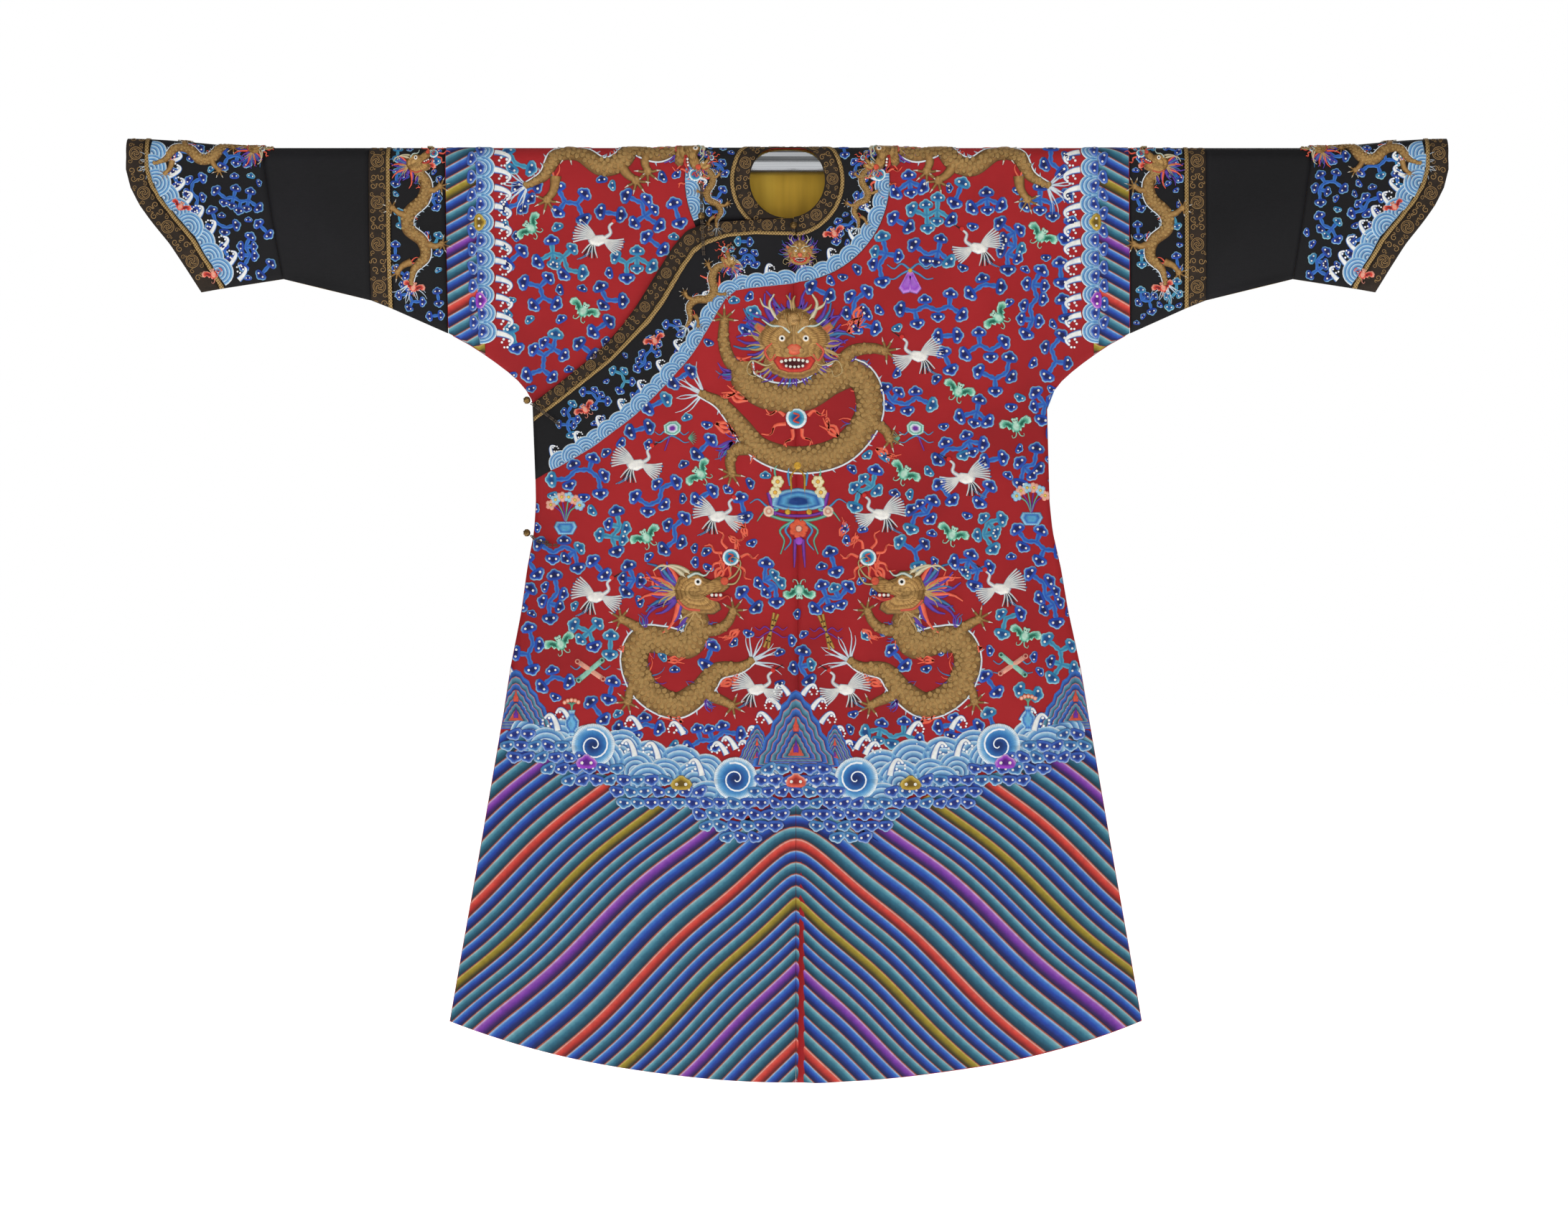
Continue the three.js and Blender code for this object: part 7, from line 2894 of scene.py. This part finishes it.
class ROBE_OT_sleeve_ends(bpy.types.Operator):
    """Sews the bands, cloud heads and waves on the red beside the sleeve seams."""

    bl_idname = "robe.sleeve_ends"
    bl_label = "Sleeve ends"

    def execute(self, context):
        sew_sleeve_ends("sleeve_ends_front", FRONT)
        sew_sleeve_ends("sleeve_ends_back", BACK)
        return {"FINISHED"}


class ROBE_OT_scrolls(bpy.types.Operator):
    """Weaves gold scrolls and medallions on the brocade bands."""

    bl_idname = "robe.scrolls"
    bl_label = "Brocade scrolls"

    def execute(self, context):
        sew_scrolls()
        return {"FINISHED"}


class ROBE_OT_black_grounds(bpy.types.Operator):
    """Sews clouds and wave borders on the yoke, the sleeve bands and the cuffs."""

    bl_idname = "robe.black_grounds"
    bl_label = "Black grounds"

    def execute(self, context):
        sew_black_grounds("black_front", FRONT)
        sew_black_grounds("black_back", BACK)
        return {"FINISHED"}


class ROBE_OT_dragons(bpy.types.Operator):
    """Couches the gold dragons and their pearls, front and back."""

    bl_idname = "robe.dragons"
    bl_label = "Dragons"

    def execute(self, context):
        sew_dragons("dragons_front", FRONT)
        sew_dragons("dragons_back", BACK)
        return {"FINISHED"}


class ROBE_OT_emblems(bpy.types.Operator):
    """Sews the bats, the cranes, the emblems and the hanging ornament."""

    bl_idname = "robe.emblems"
    bl_label = "Bats, cranes and emblems"

    def execute(self, context):
        sew_emblems("emblems_front", FRONT)
        sew_emblems("emblems_back", BACK)
        return {"FINISHED"}


class ROBE_OT_stage(bpy.types.Operator):
    """Sets the pale floor, the soft lights and the camera."""

    bl_idname = "robe.stage"
    bl_label = "Stage"

    def execute(self, context):
        scene = context.scene
        scene.view_settings.view_transform = "Standard"
        bpy.ops.mesh.primitive_plane_add(size=60, location=(0, 0, -1.62))
        floor = context.object
        floor.name = "floor"
        finish = Finish("floor_paint", 0.9)
        tone = finish.noise(finish.place(), 2.0, 3.0)
        pale = (*context.scene.robe_colours.floor, 1)
        finish.colour(finish.ramp(tone, ((0.3, pale), (0.7, (0.96, 0.96, 0.96, 1)))))
        finish.shader.inputs["Emission Color"].default_value = (1, 1, 1, 1)
        finish.shader.inputs["Emission Strength"].default_value = 1.0
        floor.data.materials.append(finish.material)

        world = bpy.data.worlds.new("Studio")
        scene.world = world
        world.use_nodes = True
        nodes = world.node_tree.nodes
        soft = nodes["Background"]
        soft.inputs["Color"].default_value = (1, 1, 1, 1)
        soft.inputs["Strength"].default_value = 0.24
        plain = nodes.new("ShaderNodeBackground")
        plain.inputs["Color"].default_value = (1, 1, 1, 1)
        plain.inputs["Strength"].default_value = 1.0
        path = nodes.new("ShaderNodeLightPath")
        mixed = nodes.new("ShaderNodeMixShader")
        link = world.node_tree.links.new
        link(path.outputs["Is Camera Ray"], mixed.inputs[0])
        link(soft.outputs[0], mixed.inputs[1])
        link(plain.outputs[0], mixed.inputs[2])
        link(mixed.outputs[0], nodes["World Output"].inputs["Surface"])

        for name, where, size, power in (
            ("key", (-2.6, -3.6, 1.6), 2.2, 95), ("fill", (2.9, -3.8, 0.4), 2.6, 60),
            ("top", (0.0, -0.9, 2.6), 2.4, 45), ("behind", (1.2, 3.6, 1.2), 2.6, 80),
            ("behind_left", (-2.4, 3.2, 0.2), 2.4, 50),
        ):
            light = bpy.data.lights.new(name, "AREA")
            light.size = size
            light.energy = power * 0.37
            lamp = bpy.data.objects.new(name, light)
            lamp.location = where
            aim = np.array((0.0, 0.0, -0.65)) - np.array(where)
            lamp.rotation_euler = mathutils.Vector(aim).to_track_quat("-Z", "Y").to_euler()
            scene.collection.objects.link(lamp)

        camera_data = bpy.data.cameras.new("Camera")
        camera_data.lens = scene.robe_sizes.lens
        camera_data.sensor_width = 36
        camera_data.clip_end = 100
        camera = bpy.data.objects.new("Camera", camera_data)
        distance = scene.robe_sizes.view_width * camera_data.lens / camera_data.sensor_width
        camera.location = (-0.0048, -0.0208 - distance, -0.665)
        camera.rotation_euler = (math.pi / 2, 0, 0)
        scene.collection.objects.link(camera)
        scene.camera = camera
        return {"FINISHED"}


class ROBE_PT_panel(bpy.types.Panel):
    """Lists the steps that make the robe."""

    bl_idname = "ROBE_PT_panel"
    bl_label = "Dragon Robe"
    bl_space_type = "VIEW_3D"
    bl_region_type = "UI"
    bl_category = "Robe"

    def draw(self, context):
        for group in (context.scene.robe_sizes, context.scene.robe_colours):
            for name in group.__annotations__:
                self.layout.prop(group, name)
        for operator in OPERATORS:
            self.layout.operator(operator.bl_idname)


OPERATORS = (
    ROBE_OT_body, ROBE_OT_yoke, ROBE_OT_bands, ROBE_OT_sleeves, ROBE_OT_rod, ROBE_OT_fastenings,
    ROBE_OT_stripes,
    ROBE_OT_clouds,
    ROBE_OT_water,
    ROBE_OT_sleeve_ends,
    ROBE_OT_scrolls,
    ROBE_OT_black_grounds,
    ROBE_OT_dragons,
    ROBE_OT_emblems,
    ROBE_OT_stage,
)


def register():
    for group in (RobeSizes, RobeColours, *OPERATORS, ROBE_PT_panel):
        bpy.utils.register_class(group)
    bpy.types.Scene.robe_sizes = bpy.props.PointerProperty(type=RobeSizes)
    bpy.types.Scene.robe_colours = bpy.props.PointerProperty(type=RobeColours)


def unregister():
    del bpy.types.Scene.robe_colours
    del bpy.types.Scene.robe_sizes
    for group in reversed((RobeSizes, RobeColours, *OPERATORS, ROBE_PT_panel)):
        bpy.utils.unregister_class(group)


def main():
    register()
    for operator in OPERATORS:
        group, name = operator.bl_idname.split(".")
        getattr(getattr(bpy.ops, group), name)()
    bpy.context.view_layer.update()


if __name__ == "__main__":
    main()
